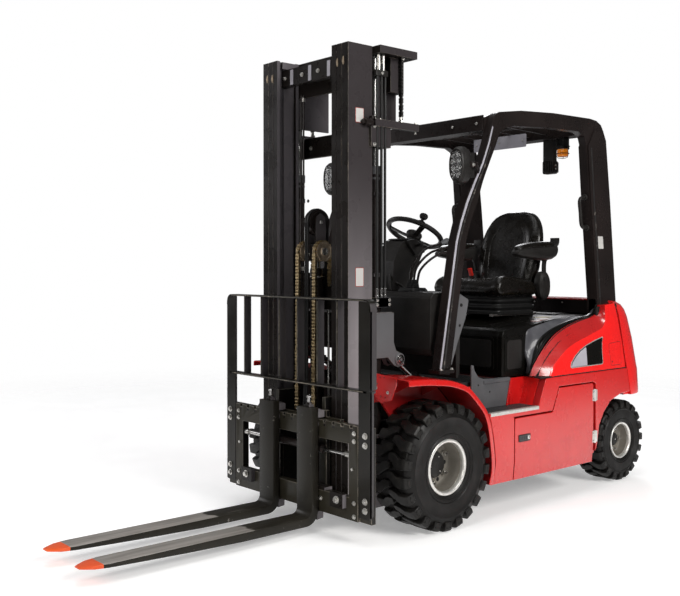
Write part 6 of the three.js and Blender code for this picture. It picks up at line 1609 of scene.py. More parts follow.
om = []
for s in (1, -1):
    m = (lambda p: p) if s > 0 else flip
    # tilt bracket: eye boss, bright pin with its keeper and bolt
    om += [(m(ringed((314, -75, 787), (342, -75, 787), 15, 31, 36, 1.5)), 1), (m(rod((312, -75, 787), (349, -75, 787), 14.5, 32, chamfer=2)), 2),
           (m(ringed((341, -75, 787), (346, -75, 787), 14, 24, 32, 1)), 2), (m(lathe([(0, 0), (7.5, 0), (7.5, 1), (4, 1.2), (0, 1.2)], (1, 0, 0), (348.4, -75, 787), 20)), 1),
           (m(hexhead((343, -58, 768), (1, 0, 0), 7.5, 6, 10)), 2)]
    # welded seams along the bracket
    om += [(m(hose([(337, -257, 806), (337, -257, 900), (337, -257, 1006)], 4, 8, 9)), 0), (m(hose([(322, -262, 1012), (322, -190, 1013), (322, -116, 1012)], 3.6, 8, 9)), 0)]
    # foot, bolts of the mounting plate and of the stay
    for y, z in ((-236, 180), (-236, 230), (-236, 365), (-180, 190), (-180, 380)):
        om.append((m(hexhead((336, y, z), (1, 0, 0), 9, 7, 12)), 3))
    for z in (1800, 1885):
        om.append((m(hexhead((336, -240, z), (1, 0, 0), 7.5, 6, 10)), 3))
    # anchor bar's bolts
    for y in (-236, -200, 36):
        om.append((m(hexhead((332, y, 1918), (0, 0, 1), 7.5, 6, 10)), 3))
    om.append((m(rod((332, 36, 1870), (332, 36, 1886), 6, 12, chamfer=1)), 3))
    om += [(m(rod((334, -256, 1899), (334, -272, 1899), 21, 6, chamfer=1.5)), 8), (m(rod((334, -270, 1899), (334, -288, 1899), 17, 28, chamfer=2)), 8), (m(rod((334, -286, 1899), (334, -304, 1899), 20, 6, chamfer=1.5)), 8), (m(rod((334, -304, 1899), (334, -318, 1899), 11, 20, chamfer=2)), 8), (m(rbox(322, 346, -262, -240, 1884, 1930, 4)), 8)]
    # trunnion cap with bolts
    om.append((m(ringed((336, 0, 298.5), (341, 0, 298.5), 75.5, 96, 48, 1.2)), 0))
    for k in range(8):
        a = 2 * math.pi * (k + 0.5) / 8
        om.append((m(hexhead((341, 86 * math.sin(a), 298.5 + 86 * math.cos(a)), (1, 0, 0), 6, 5, 8)), 3))
    # rollers at the top of the channel, carried by a stub
    om += [(m(ringed((282, -352, 2176), (293, -352, 2176), 9, 45, 48, 2)), 4), (m(rod((280, -352, 2176), (308, -352, 2176), 9, 20, chamfer=1)), 3)]
    # wear strips inside the flanges
    om.append((m(box(279, 281, -388, -384, 130, 2250)), 5))
    # lift cylinder glands and mounting straps
    om += [(m(ringed((285, -195, 1664), (285, -195, 1704), 16.2, 37, 36, 2)), 1), (m(ringed((285, -195, 1640), (285, -195, 1650), 32, 35.5, 36, 1)), 1), (m(ringed((285, -195, 128), (285, -195, 150), 10, 37, 36, 2)), 1)]
    for z in (420, 1180, 1560):
        om += [(m(ringed((285, -195, z), (285, -195, z + 22), 32.5, 37, 36, 1)), 0), (m(rbox(246, 324, -232, -226, z + 2, z + 20, 2, "y")), 0), (m(hexhead((254, -195 + 41, z + 11), (0, 1, 0), 6, 5, 9)), 3)]
# labels on the near outer web and one on the far
for s in (1, -1):
    for z, h in ((1928, 34), (1182, 44)):
        for part, k in label((s * 321.8, -322, z), (0, 1, 0), (0, 0, 1), 26, h, 0.7, 6, 7, (s, 0, 0)):
            om.append((part, k))
# crossmember details: light strips, slots and bolts
for x in (-150, 0, 150):
    om.append((rbox(x - 14, x + 14, -136, -133.4, 1812, 1874, 4, "y"), 9))
for z in (1842, 910, 240):
    for x in (-228, 228):
        om.append((hexhead((x, -155, z), (0, -1, 0), 9, 7, 12), 3))
om += [(rbox(-110, 110, -137, -132.8, 846, 972, 10, "y"), 1), (rbox(-96, 96, -133.2, -131.8, 858, 960, 8, "y"), 0)]
# hose block with silver ferrules
om += [(rbox(318, 352, -244, -150, 1040, 1085, 4, "x"), 1)]
for y in (-222, -196, -172):
    om += [(rod((335, y, 1084), (335, y, 1098), 10, 6, chamfer=1.2), 2), (rod((335, y, 1098), (335, y, 1128), 8.2, 20, chamfer=1.2), 2)]
for dz in (1052, 1073):
    om += [(hexhead((352, -236, dz), (1, 0, 0), 5.5, 4.5, 8), 3), (hexhead((352, -158, dz), (1, 0, 0), 5.5, 4.5, 8), 3)]
piece("mast_outer_details", "outer_mast", om, [MAST, GREY, CHROME, ZINC, ROLLER, STEEL, LABEL_EDGE, LABEL, BLACK, PLASTIC_LIGHT], bevel=0.7)

mm_ = []
for s in (1, -1):
    m = (lambda p: p) if s > 0 else flip
    mm_ += [(m(ringed((241, -352, 2172), (252, -352, 2172), 9, 45, 48, 2)), 1), (m(rod((240, -352, 2172), (258, -352, 2172), 9, 20, chamfer=1)), 3)]
    # rods' nuts on the head plate
    mm_ += [(m(ringed((285, -195, 2210), (285, -195, 2222), 15, 26, 30, 1.5)), 2)]
    for x in (262, 340):
        mm_.append((m(hexhead((x, -60, 2222), (0, 0, -1), 8, 6, 11)), 3))
    # wear pad screws
    for z in (520, 980, 1440, 1900):
        mm_.append((m(caphead((274.6, -322, z), (1, 0, 0), 6, 3)), 3))
for z in (1130, 215, 2168):
    for x in (-190, 190):
        mm_.append((hexhead((x, -250, z), (0, -1, 0), 8, 6, 11), 3))
piece("mast_middle_details", "middle_mast", mm_, [MAST, ROLLER, CHROME, ZINC, PLASTIC_LIGHT], bevel=0.7)

im = []
for s in (1, -1):
    m = (lambda p: p) if s > 0 else flip
    for z in (2150, 640):
        im += [(m(ringed((236.2, -322, z), (241.2, -322, z), 6, 29, 32, 1)), 1), (m(caphead((236.4, -322, z + 0), (1, 0, 0), 7, 4)), 2)]
    for z in (520, 980, 1440, 1900):
        im.append((m(caphead((236.6, -322, z), (1, 0, 0), 6, 3)), 3))
    # end stops at the channel top, a track along the web's inner face in the mast black
    im.append((m(rbox(190, 206, -372, -276, 2216, 2250, 3)), 0))
    im.append((m(box(205.4, 206.8, -352, -294, 160, 2120)), 4))
    # thin return pipes beside the web, in black
    im.append((m(hose([(176, -262, 320), (176, -262, 1180), (176, -262, 2092)], 5, 10, 60)), 6))
    im.append((m(hose([(158, -262, 320), (158, -262, 1180), (158, -262, 2092)], 5, 10, 60)), 6))
    for z in (420, 1210, 2060):
        im.append((m(rbox(152, 184, -270, -254, z, z + 20, 3, "z")), 3))
for z in (2170,):
    for x in (-196, -60, 60, 196):
        im.append((hexhead((x, -352, z), (0, -1, 0), 8, 6, 11), 3))
for x in (-140, 0, 140):
    im.append((rbox(x - 11, x + 11, -354.6, -351.6, 2132, 2206, 3, "y"), 5))
im.append((rbox(-120, 120, -272, -269.5, 1040, 1130, 6, "y"), 0))
piece("mast_inner_details", "inner_mast", im, [MAST, ROLLER, CHROME, ZINC, MAST, PLASTIC_LIGHT, BLACK], bevel=0.7)

# lift cylinders
for s, label_ in ((1, "left"), (-1, "right")):
    m = (lambda p: p) if s > 0 else flip
    c = (285, -195)
    bar = lathe([(0, 128), (30, 128), (33, 131), (33, 1696), (31, 1700), (16.3, 1700), (16.3, 1690), (0, 1690)], (0, 0, 1), (c[0], c[1], 0), 44)
    piece(f"lift_cylinder_{label_}", "outer_mast", [(m(bar), 0), (m(lathe([(0, 0), (10, 0), (10, 14), (6, 14), (6, 26), (0, 26)], (0, 1, 0), (c[0], c[1] + 32, 168), 6)), 1)], [BLACK, ZINC], bevel=1.2, replaces=f"lift_barrel_{label_}", slot="cylinder_black")
    piece(f"lift_piston_{label_}", "middle_mast", [(m(lathe([(0, 200), (15.6, 200), (15.9, 202), (15.9, 2219), (0, 2221.5)], (0, 0, 1), (c[0], c[1], 0), 36)), 0)], [CHROME], bevel=0.5, replaces=f"lift_rod_{label_}", slot="chrome_rod")
fb = lathe([(0, 150.5), (31, 150.5), (34, 154), (34, 1170), (36, 1172), (36, 1214), (33, 1222), (19.3, 1222), (19.3, 1212), (0, 1212)], (0, 0, 1), (0, -306, 0), 44)
fbs = [(fb, 0), (ringed((0, -306, 420), (0, -306, 446), 33.5, 37.5, 40, 1), 0), (ringed((0, -306, 1060), (0, -306, 1086), 33.5, 37.5, 40, 1), 0), (hose([(0, -270, 190), (4, -262, 240), (30, -262, 300), (34, -262, 700), (34, -262, 1130)], 6, 10, 20), 1), (ringed((0, -306, 1180), (0, -306, 1184), 35, 37, 40, 0.6), 1)]
piece("free_lift_cylinder", "inner_mast", fbs, [BLACK, ZINC], bevel=1.0, replaces="free_lift_barrel", slot="cylinder_black")
piece("free_lift_piston", "crosshead", [(lathe([(0, 250), (18.4, 250), (18.8, 252), (18.8, 1258), (0, 1258)], (0, 0, 1), (0, -306, 0), 36), 0)], [CHROME], bevel=0.5, replaces="free_lift_rod", slot="chrome_rod")
# crosshead: forged block, axle, chain wheels, hose pulley
wheel = lambda x0, x1, r, y, z: lathe([(14.5, 0), (r * 0.42, 0), (r * 0.46, 3), (r * 0.8, 3), (r * 0.84, 0), (r, 0), (r, 2.5), (r - 6, 6), (r - 6, x1 - x0 - 6), (r, x1 - x0 - 2.5), (r, x1 - x0), (r * 0.84, x1 - x0), (r * 0.8, x1 - x0 - 3), (r * 0.46, x1 - x0 - 3), (r * 0.42, x1 - x0), (14.5, x1 - x0), (14.5, 0)], (1, 0, 0), (x0, y, z), 48)
xh = [(rbox(-30, 30, -344, -275, 1258.5, 1340, 10, "y"), 0), (rod((-86, -327, 1303), (86, -327, 1303), 13.5, 28, chamfer=2), 2), (lathe([(0, 1258), (26, 1258), (28, 1262), (28, 1270), (0, 1270)], (0, 0, 1), (0, -306, 0), 36), 0),
      (wheel(45, 81, 48, -327, 1303), 1), (flip(wheel(45, 81, 48, -327, 1303)), 1), (wheel(-11, 34, 62.5, -318, 1445), 3),
      (sideways(fillet([(-346, 1300), (-290, 1300), (-284, 1400), (-290, 1470), (-318, 1490), (-346, 1470), (-352, 1400)], 10, 4), 34, 42), 0), (sideways(fillet([(-346, 1300), (-290, 1300), (-284, 1400), (-290, 1470), (-318, 1490), (-346, 1470), (-352, 1400)], 10, 4), -19, -11), 0),
      (rod((-26, -318, 1445), (49, -318, 1445), 9, 24, chamfer=1.5), 2)]
for s in (1, -1):
    mfn = (lambda p: p) if s > 0 else flip
    xh += [(mfn(ringed((84, -327, 1303), (87, -327, 1303), 8, 18, 28, 0.8)), 2), (mfn(hexhead((22, -344, 1290), (0, -1, 0), 6.5, 5, 9)), 2)]
piece("crosshead_block", "crosshead", xh, [MAST, ROLLER, ZINC, BLACK], bevel=1.2, replaces="crosshead", slot="mast_black")

# tilt cylinders
root, pin = Vector((290, 400, 420)), Vector((290, -75, 787))
ax = (pin - root).normalized()
for s, label_ in ((1, "left"), (-1, "right")):
    m = (lambda p: p) if s > 0 else flip
    bar = lathe([(0, 40), (26, 40), (32.5, 46), (33, 60), (33, 396), (36, 398), (36, 404), (37, 406), (37, 430), (34, 436), (17.4, 436), (17.4, 426), (0, 426)], ax, root, 44)
    eye = ringed(tuple(root + Vector((-15, 0, 0))), tuple(root + Vector((15, 0, 0))), 12.5, 29.5, 36, 2)
    neck = rod(tuple(root + ax * 22), tuple(root + ax * 48), 20, 28)
    bb = [(m(bar), 0), (m(eye), 0), (m(neck), 0), (m(rod(tuple(root + Vector((-45, 0, 0))), tuple(root + Vector((45, 0, 0))), 12, 24, chamfer=1.5)), 1)]
    up = Vector((0, ax.z, -ax.y)) * -1
    for t in (78, 372):
        q = root + ax * t + Vector((0, 0.61, 0.79)) * 31
        bb += [(m(rod(tuple(q), tuple(q + Vector((0, 0.61, 0.79)) * 16), 8, 6, chamfer=1)), 1)]
    piece(f"tilt_cylinder_{label_}", f"tilt_barrel_{label_}", bb, [BLACK, ZINC], bevel=1.0, replaces=f"tilt_barrel_{label_}", slot="cylinder_black")
    L = (pin - root).length
    rd_ = [(m(lathe([(0, 120), (16.6, 120), (17, 122), (17, L - 40), (0, L - 40)], ax, root, 32)), 0), (m(lathe([(17.2, L - 52), (25, L - 50), (27, L - 44), (27, L - 24), (0, L - 20), (0, L - 52), (17.2, L - 52)], ax, root, 32)), 1),
           (m(ringed(tuple(pin + Vector((-14, 0, 0))), tuple(pin + Vector((14, 0, 0))), 13.5, 30, 36, 2)), 1)]
    piece(f"tilt_piston_{label_}", f"tilt_rod_{label_}", rd_, [CHROME, BLACK], bevel=0.8, replaces=f"tilt_rod_{label_}", slot="chrome_rod")


# ------------------------------------------------------------------ carriage, backrest, forks
# the carriage frames take the carriage black: painted light on their front faces, painted shade on faces turned to +X
refine("carriage", "carriage_frame", "carriage", [CARR_PAINTED_LIGHT, MAST_EDGE], bevel=1.6, edge=1)
refine("sideshift_frame", "sideshift_plate_frame", "sideshift", [CARR_PAINTED_LIGHT, MAST_EDGE], bevel=2.0, edge=1)
cg = []
for s in (1, -1):
    m = (lambda p: p) if s > 0 else flip
    for z in (175, 350, 565):
        cg += [(m(ringed((187, -324, z), (204.8, -324, z), 8, 43.6, 44, 2)), 1), (m(ringed((186, -324, z), (207, -324, z), 6, 16, 32, 1)), 2)]
    cg += [(m(hose([(188, -400, 200), (188, -400, 330), (188, -400, 444)], 4, 8, 60)), 0), (m(rbox(120, 164, -424, -417, 458, 520, 3, "y")), 0)]
    for z in (470, 508, 130, 174):
        cg.append((m(caphead((276, -398, z), (0, 1, 0), 8, 7)), 3))
    # chain anchors on the carriage's crossbar
    cg += [(m(rbox(46, 80, -398, -362, 452, 500, 3)), 0), (m(rod((63, -380, 498), (63, -380, 540), 7, 20, chamfer=1)), 2), (m(rod((63, -380, 436), (63, -380, 454), 12, 6, chamfer=1)), 3)]
piece("carriage_rollers", "carriage", cg, [MAST, ROLLER, CHROME, ZINC], bevel=0.7)
ssb = lathe([(0, -210), (17, -210), (20, -207), (20, -186), (18.5, -184), (18.5, 184), (20, 186), (20, 207), (17, 210), (0, 210)], (1, 0, 0), (0, -442.5, 385), 36)
sc = [(ssb, 0), (box(-140, -96, -425, -416, 366, 404), 0), (box(96, 140, -425, -416, 366, 404), 0)]
for s in (1, -1):
    m = (lambda p: p) if s > 0 else flip
    sc += [(m(rod((150, -442.5, 404), (150, -442.5, 418), 9, 6, chamfer=1)), 1), (m(hose([(150, -442.5, 414), (150, -442, 432), (140, -430, 440), (110, -404, 436), (60, -396, 420), (20, -392, 430)], 6, 10)), 2)]
piece("sideshift_cylinder", "carriage", sc, [BLACK, ZINC, HOSE], bevel=0.8, replaces="sideshift_barrel", slot="cylinder_black")
sr = [(rod((-403.5, -442.5, 385), (403.5, -442.5, 385), 9.8, 28, chamfer=1.5), 0)]
for s in (1, -1):
    m = (lambda p: p) if s > 0 else flip
    sr += [(m(rod((372, -442.5, 385), (400, -442.5, 385), 15, 28, chamfer=2)), 1), (m(rod((356, -442.5, 385), (372, -442.5, 385), 12.5, 6, chamfer=1)), 1)]
piece("sideshift_piston", "sideshift", sr, [CHROME, ZINC], bevel=0.5, replaces="sideshift_rod", slot="chrome_rod")

# pads at the notches, in the mast black, and bar screws
sf = []
for k in range(15):
    x = -420 + 60 * k
    sf.append((rbox(x - 7, x + 7, -464.2, -462.6, 497, 508, 3, "y"), 0))
for s in (1, -1):
    m = (lambda p: p) if s > 0 else flip
    for z in (490, 455, 180, 120):
        sf.append((m(hexhead((440, -463.2, z), (0, -1, 0), 8, 5.5, 11)), 2))
    sf.append((m(rod((430, -455, 330), (430, -470, 330), 7, 18, chamfer=1)), 2))
    sf += [(m(rbox(300, 388, -486, -462, 146, 214, 6, "y")), 0), (m(hexhead((346, -486, 182), (0, -1, 0), 13, 10, 18)), 2)]
    # lower hooks
    sf += [(m(rbox(150, 236, -462, -414, 196, 214, 3, "y")), 0), (m(hexhead((176, -462, 160), (0, -1, 0), 8, 5.5, 11)), 2), (m(hexhead((210, -462, 160), (0, -1, 0), 8, 5.5, 11)), 2)]
piece("sideshift_bolts", "sideshift", sf, [MAST, STEEL, ZINC], bevel=0.7)

# backrest: plate posts with a turned edge, flat bars, straps with clipped ends
br = []
for s in (1, -1):
    m = (lambda p: p) if s > 0 else flip
    post = fillet([(469, 123), (543, 123), (543, 1040), (536, 1062), (520, 1076), (469, 1078)], [8, 8, 6, 8, 8, 4], 4)
    br.append((m(lengthways(post, -464.2, -452.2)), 0))
    br.append((m(sideways(fillet([(-464, 690), (-424.2, 690), (-424.2, 1036), (-436, 1046), (-464, 1046)], [2, 10, 6, 2, 2], 3), 532, 543)), 0))
    br.append((m(sideways(fillet([(-464, 123), (-440, 140), (-440, 680), (-464, 690)], 4, 3), 533, 543)), 0))
    for z in (489, 447, 201, 160):
        br += [(m(hexhead((513, -464.2, z), (0, -1, 0), 11, 8.5, 15)), 1)]
br.append((upright([(-537, -448), (-520, -464.2), (520, -464.2), (537, -448), (537, -424.2), (-537, -424.2)], 676, 686), 0))
# the top strap's ends turn down over the posts
turn = [(541, -444.2, 1034), (540, -444.2, 1052), (534, -444.2, 1070), (520, -444.2, 1081), (500, -444.2, 1083)]
bow = spline(turn, 6) + [(-p[0], p[1], p[2]) for p in reversed(spline(turn, 6))]
strap = []
for i, p in enumerate(bow):
    a, b = bow[max(0, i - 1)], bow[min(len(bow) - 1, i + 1)]
    d = Vector((b[0] - a[0], 0, b[2] - a[2])).normalized()
    n = Vector((-d.z, 0, d.x))
    strap.append([(p[0] + n.x * h, -444.2 + w, p[2] + n.z * h) for w, h in fillet([(-20, -4.6), (20, -4.6), (20, 4.6), (-20, 4.6)], 1.6, 3)])
br.append((loft(strap), 0))
for x in (-388, -247, -100, 40, 187, 326):
    br.append((rbox(x - 5, x + 5, -464.2, -424.2, 676, 1084, 1.5), 0))
    for z in (686, 1078):
        up = 1 if z == 686 else -1
        br.append((sweep([(x - 5.5, -460, z + up), (x - 5.5, -428, z + up)], [(-3, 0), (0, -3), (3, 0), (0, 3)]), 0))
piece("backrest_frame", "sideshift", br, [POST, ZINC], bevel=1.4, replaces="backrest", slot="mast_black", angle=34)
wornb = []
for x in (-388, -247, -100, 40, 187, 326):
    wornb.append((rbox(x - 1.6, x + 1.6, -465.0, -464.0, 700, 1070, 0.8, "y"), 0))
for z in (1083, 681):
    wornb.append((rbox(-500, 500, -465.2, -464.0, z - 1.6, z + 1.6, 1, "y"), 0))
piece("backrest_wear", "sideshift", wornb, [MAST_EDGE], bevel=0)


def fork(s, label):
    """One forged L blade: rounded heel, taper in thickness and at the tip, latch pin on top."""
    m = (lambda p: p) if s > 0 else flip
    X0, X1 = 89.9, 202.9
    # stations down the shank, round the heel and out to the tip: (front point, back point) in (y, z)
    st = [((-508.4, 578.7), (-468.4, 578.7)), ((-508.4, 572), (-468.4, 572)), ((-508.4, 480), (-468.4, 480)), ((-508.4, 300), (-468.4, 300)), ((-508.4, 160), (-468.4, 140))]
    cen, rf, rb = (-538.4, 106.9), 30.0, 70.0
    for k in range(9):
        a = math.radians(90 * k / 8)
        st.append(((cen[0] + rf * math.cos(a), cen[1] - rf * math.sin(a)), (cen[0] + rb * math.cos(a), cen[1] - rb * math.sin(a))))
    for y in (-620, -760, -900, -1040, -1180, -1310, -1430, -1530, -1590, -1627, -1640, -1645):
        top = 76.9 if y > -1600 else 76.9 - (-1600 - y) * 0.06
        low = float(np.interp(-y, [538, 900, 1200, 1600, 1641, 1645], [36.9, 37.0, 45.5, 62.0, 65.5, 68.5]))
        st.append(((y, top), (y, low)))
    rings = []
    for (fy, fz), (by, bz) in st:
        ins = 0.0
        if fy < -1545:
            t = (-1545 - fy) / 100.0
            ins = 2 + 40 * t ** 1.9
        x0, x1 = X0 + ins, X1 - ins
        c = min(4.0, 0.35 * math.dist((fy, fz), (by, bz)))
        d = Vector((fy - by, fz - bz)).normalized()
        L = math.dist((fy, fz), (by, bz))
        P = lambda x, q: (x, by + d.x * q, bz + d.y * q)
        rings.append([P(x0, c), P(x0 + c * 0.3, c * 0.3), P(x0 + c, 0), P(x1 - c, 0), P(x1 - c * 0.3, c * 0.3), P(x1, c), P(x1, L - c), P(x1 - c * 0.3, L - c * 0.3), P(x1 - c, L), P(x0 + c, L), P(x0 + c * 0.3, L - c * 0.3), P(x0, L - c)])
    blade = loft(rings)
    hk = [sideways(fillet([(-472, 531), (-428, 531), (-428, 562), (-440, 566), (-472, 566)], [0, 3, 4, 6, 0], 3), X0 + 6, X1 - 6), sideways(fillet([(-472, 545), (-462, 500), (-470, 480)], [0, 3, 0], 3), X0 + 6, X1 - 6),
          sideways(fillet([(-472, 58), (-434, 62), (-434, 94), (-446, 96), (-472, 96)], [0, 4, 3, 3, 0], 3), X0 + 6, X1 - 6)]
    hk.append(sideways(fillet([(-472, 578), (-428, 578 - 16), (-472, 540)], [0, 6, 0], 3), X0 + 10, X1 - 10))
    parts = [(m(blade), 0)] + [(m(h), 1) for h in hk]
    xc = (X0 + X1) / 2
    parts += [(m(rbox(xc - 17, xc + 17, -496, -462, 576, 590, 5)), 1), (m(rod((xc, -480, 588), (xc, -480, 600), 14, 28, chamfer=1.5)), 1), (m(rod((xc, -480, 598), (xc, -480, 622), 7.5, 24, chamfer=1)), 2),
              (m(rod((xc, -480, 603), (xc, -480, 608), 10, 24, chamfer=0.8)), 2), (m(rod((xc, -480, 620), (xc, -480, 631), 11.5, 6, chamfer=1.4)), 2), (m(ringed((xc, -480, 631), (xc, -480, 632.5), 3, 7, 20, 0.4)), 2)]
    o = piece(f"fork_{label}_blade", f"fork_{label}", parts, [FORK, MAST, CHROME, ORANGE], bevel=0.8, replaces=f"fork_{label}", slot="fork_steel", smooth_angle=38, angle=40)
    cutz = -1545 - 10
    bm = bmesh.new()
    bm.from_mesh(o.data)
    bmesh.ops.bisect_plane(bm, geom=bm.verts[:] + bm.edges[:] + bm.faces[:], plane_co=(0, (cutz + SHIFT) * MM, 0), plane_no=(0, 1, 0), dist=1e-6)
    for f in bm.faces:
        if f.calc_center_median().y < (cutz + SHIFT) * MM - 1e-5:
            f.material_index = 3
    bm.to_mesh(o.data)
    bm.free()


fork(1, "left")
fork(-1, "right")


# ------------------------------------------------------------------ chains and hoses across the mast's joints
def leaf_chain(path, x, width=22.0, pitch=15.9, plate=7.2):
    """A leaf chain laid along a (y, z) path at one x: side plates in pairs with pins."""
    pts = resample(path, max(4, int(arclen(path)[-1] / pitch)) + 1)
    out, pins = [], []
    for i in range(len(pts) - 1):
        (ay, az), (by, bz) = pts[i], pts[i + 1]
        d = Vector((by - ay, bz - az)).normalized()
        nrm_ = Vector((-d.y, d.x))
        o = []
        for t, w in ((-0.26, 0.55), (-0.38, 0), (-0.26, -0.55)):
            o.append((ay + d.x * t * pitch + nrm_.x * w * plate * 1.0, az + d.y * t * pitch + nrm_.y * w * plate))
        for t, w in ((0.28, -1.0), (0.5, -0.78), (0.72, -1.0)):
            pass
        prof = [(-0.40, 0.0), (-0.30, 0.72), (0.0, 1.0), (0.5, 0.72), (1.0, 1.0), (1.30, 0.72), (1.40, 0.0), (1.30, -0.72), (1.0, -1.0), (0.5, -0.72), (0.0, -1.0), (-0.30, -0.72)]
        o = [(ay + d.x * t * pitch + nrm_.x * w * plate, az + d.y * t * pitch + nrm_.y * w * plate) for t, w in prof]
        k = (0.0, 0.66) if i % 2 else (0.34, 1.0)
        for a, b in (((-0.5, -0.30), (-0.10, 0.10), (0.30, 0.5)) if i % 2 else ((-0.30, -0.10), (0.10, 0.30))):
            out.append(sideways(o, x + a * width, x + b * width))
        pins.append(rod((x - width * 0.54, ay, az), (x + width * 0.54, ay, az), 2.7, 10))
    return join_parts(*out), join_parts(*pins)


def arc_path(cy, cz, r, a0, a1, n=10):
    return [(cy + r * math.cos(math.radians(a0 + (a1 - a0) * k / n)), cz + r * math.sin(math.radians(a0 + (a1 - a0) * k / n))) for k in range(n + 1)]


def blended(name, parts, mats, a, b, start, end, **k):
    o = piece(name, a, parts, mats, ride=False, **k)
    apply_modifiers(o)
    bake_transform(o)
    return o


for s, nm in ((1, "left"), (-1, "right")):
    m = (lambda p: p) if s > 0 else flip
    # over the crosshead's wheel: rear run from the inner mast, front run down to the carriage
    over = arc_path(-327, 1303, 48, 0, 180, 12)
    rear, rp = leaf_chain([(-279, 1140), (-279, 1303)], 63, 24)
    top, tp_ = leaf_chain(over, 63, 24)
    front, fp_ = leaf_chain([(-375, 1303), (-377, 900), (-380, 536)], 63, 24)
    blended(f"lift_chain_{nm}_rear", [(m(rear), 0), (m(rp), 1)], [BRASS, STEEL], "inner_mast", "crosshead", (63 * s, -279, 1150), (63 * s, -279, 1300), bevel=0)
    piece(f"lift_chain_{nm}_top", "crosshead", [(m(top), 0), (m(tp_), 1)], [BRASS, STEEL], bevel=0)
    blended(f"lift_chain_{nm}_front", [(m(front), 0), (m(fp_), 1)], [BRASS, STEEL], "crosshead", "carriage", (63 * s, -376, 1300), (63 * s, -380, 545), bevel=0)
    # chain from the anchor bar up to the middle stage's head plate
    rr2, rp2 = leaf_chain([(-60, 1934), (-60, 2224)], 330, 20)
    blended(f"mast_chain_{nm}", [(m(rr2), 0), (m(rp2), 1)], [CHAIN, STEEL], "outer_mast", "middle_mast", (330 * s, -60, 1945), (330 * s, -60, 2200), bevel=0)
    piece(f"mast_chain_{nm}_anchor", "outer_mast", [(m(rod((330, -60, 1916), (330, -60, 1944), 8, 20, chamfer=1)), 0), (m(rod((330, -60, 1918), (330, -60, 1928), 14, 6, chamfer=1)), 0)], [ZINC], bevel=0)
    # hoses from the block on the outer mast up to the middle stage
    hs = []
    for y, x, top_z in ((-222, 335, 2150), (-196, 336, 2180), (-172, 335, 2150)):
        hs.append((m(hose([(x, y, 1120), (x, y, 1400), (x, y, 1800), (x, y, top_z - 40), (x - 4, y + 4, top_z)], 6.6, 12, 60)), 0))
    blended(f"mast_hoses_{nm}", hs, [HOSE], "outer_mast", "middle_mast", (335 * s, -196, 1300), (335 * s, -196, 2100), bevel=0)
    piece(f"mast_hose_clamps_{nm}", "middle_mast", [(m(rbox(324, 346, -238, -160, 2120, 2146, 4, "z")), 0), (m(hexhead((346, -198, 2133), (1, 0, 0), 5, 4, 8)), 1), (m(rod((332, -210, 2140), (332, -210, 2222), 9, 18, chamfer=1)), 1), (m(rod((332, -182, 2140), (332, -182, 2222), 9, 18, chamfer=1)), 1)], [PLASTIC, ZINC], bevel=0.8)

# hoses over the crosshead's pulley and down to the carriage
for k, x in enumerate((4, 19)):
    over = [(x, -318 + 63 * math.cos(math.radians(t)), 1445 + 63 * math.sin(math.radians(t))) for t in range(0, 181, 15)]
    piece(f"pulley_hose_{k}", "crosshead", [(hose(over, 5.6, 10, 9), 0)], [HOSE], bevel=0)
    blended(f"pulley_hose_{k}_front", [(hose([(x, -381, 1445), (x, -381, 1200), (x, -383, 900), (x, -386, 700), (x, -392, 560), (x, -402, 470)], 5.6, 10, 40), 0)], [HOSE], "crosshead", "carriage", (x, -381, 1430), (x, -386, 560), bevel=0)
    blended(f"pulley_hose_{k}_rear", [(hose([(x, -255, 1445), (x, -255, 1300), (x, -256, 1180)], 5.6, 10, 40), 0)], [HOSE], "inner_mast", "crosshead", (x, -255, 1190), (x, -255, 1430), bevel=0)
piece("hose_clip_inner", "inner_mast", [(rbox(-8, 32, -262, -246, 1160, 1190, 4, "z"), 0), (hexhead((12, -246, 1175), (0, 1, 0), 5, 4, 8), 1)], [PLASTIC, ZINC], bevel=0.8)
# ------------------------------------------------------------------ each carried-over node's own finish
FINISH = [("tyre", TYRE), ("rim", SILVER), ("front_light", PLASTIC), ("rear_work_light", PLASTIC), ("beacon", AMBER), ("floor_plate", MATRUB), ("hood", PLASTIC_GLOSS), ("dash", PLASTIC), ("steering", PLASTIC),
          ("lever", PLASTIC), ("armrest", PLASTIC), ("seat", VINYL), ("rod", CHROME), ("barrel", BLACK), ("fork", FORK), ("carriage", CARR_PAINTED_LIGHT), ("sideshift", CARR_PAINTED_LIGHT), ("backrest", POST), ("mast", MAST), ("crosshead", MAST),
          ("axle", IRON), ("knuckle", IRON), ("battery", GREY), ("guard", BLACK), ("", RED)]
for node, o in NODES.items():
    finish = next(m for k, m in FINISH if k in node)
    if len(o.data.materials) == 0:
        o.data.materials.append(finish)
    for i in range(len(o.data.materials)):
        o.data.materials[i] = finish


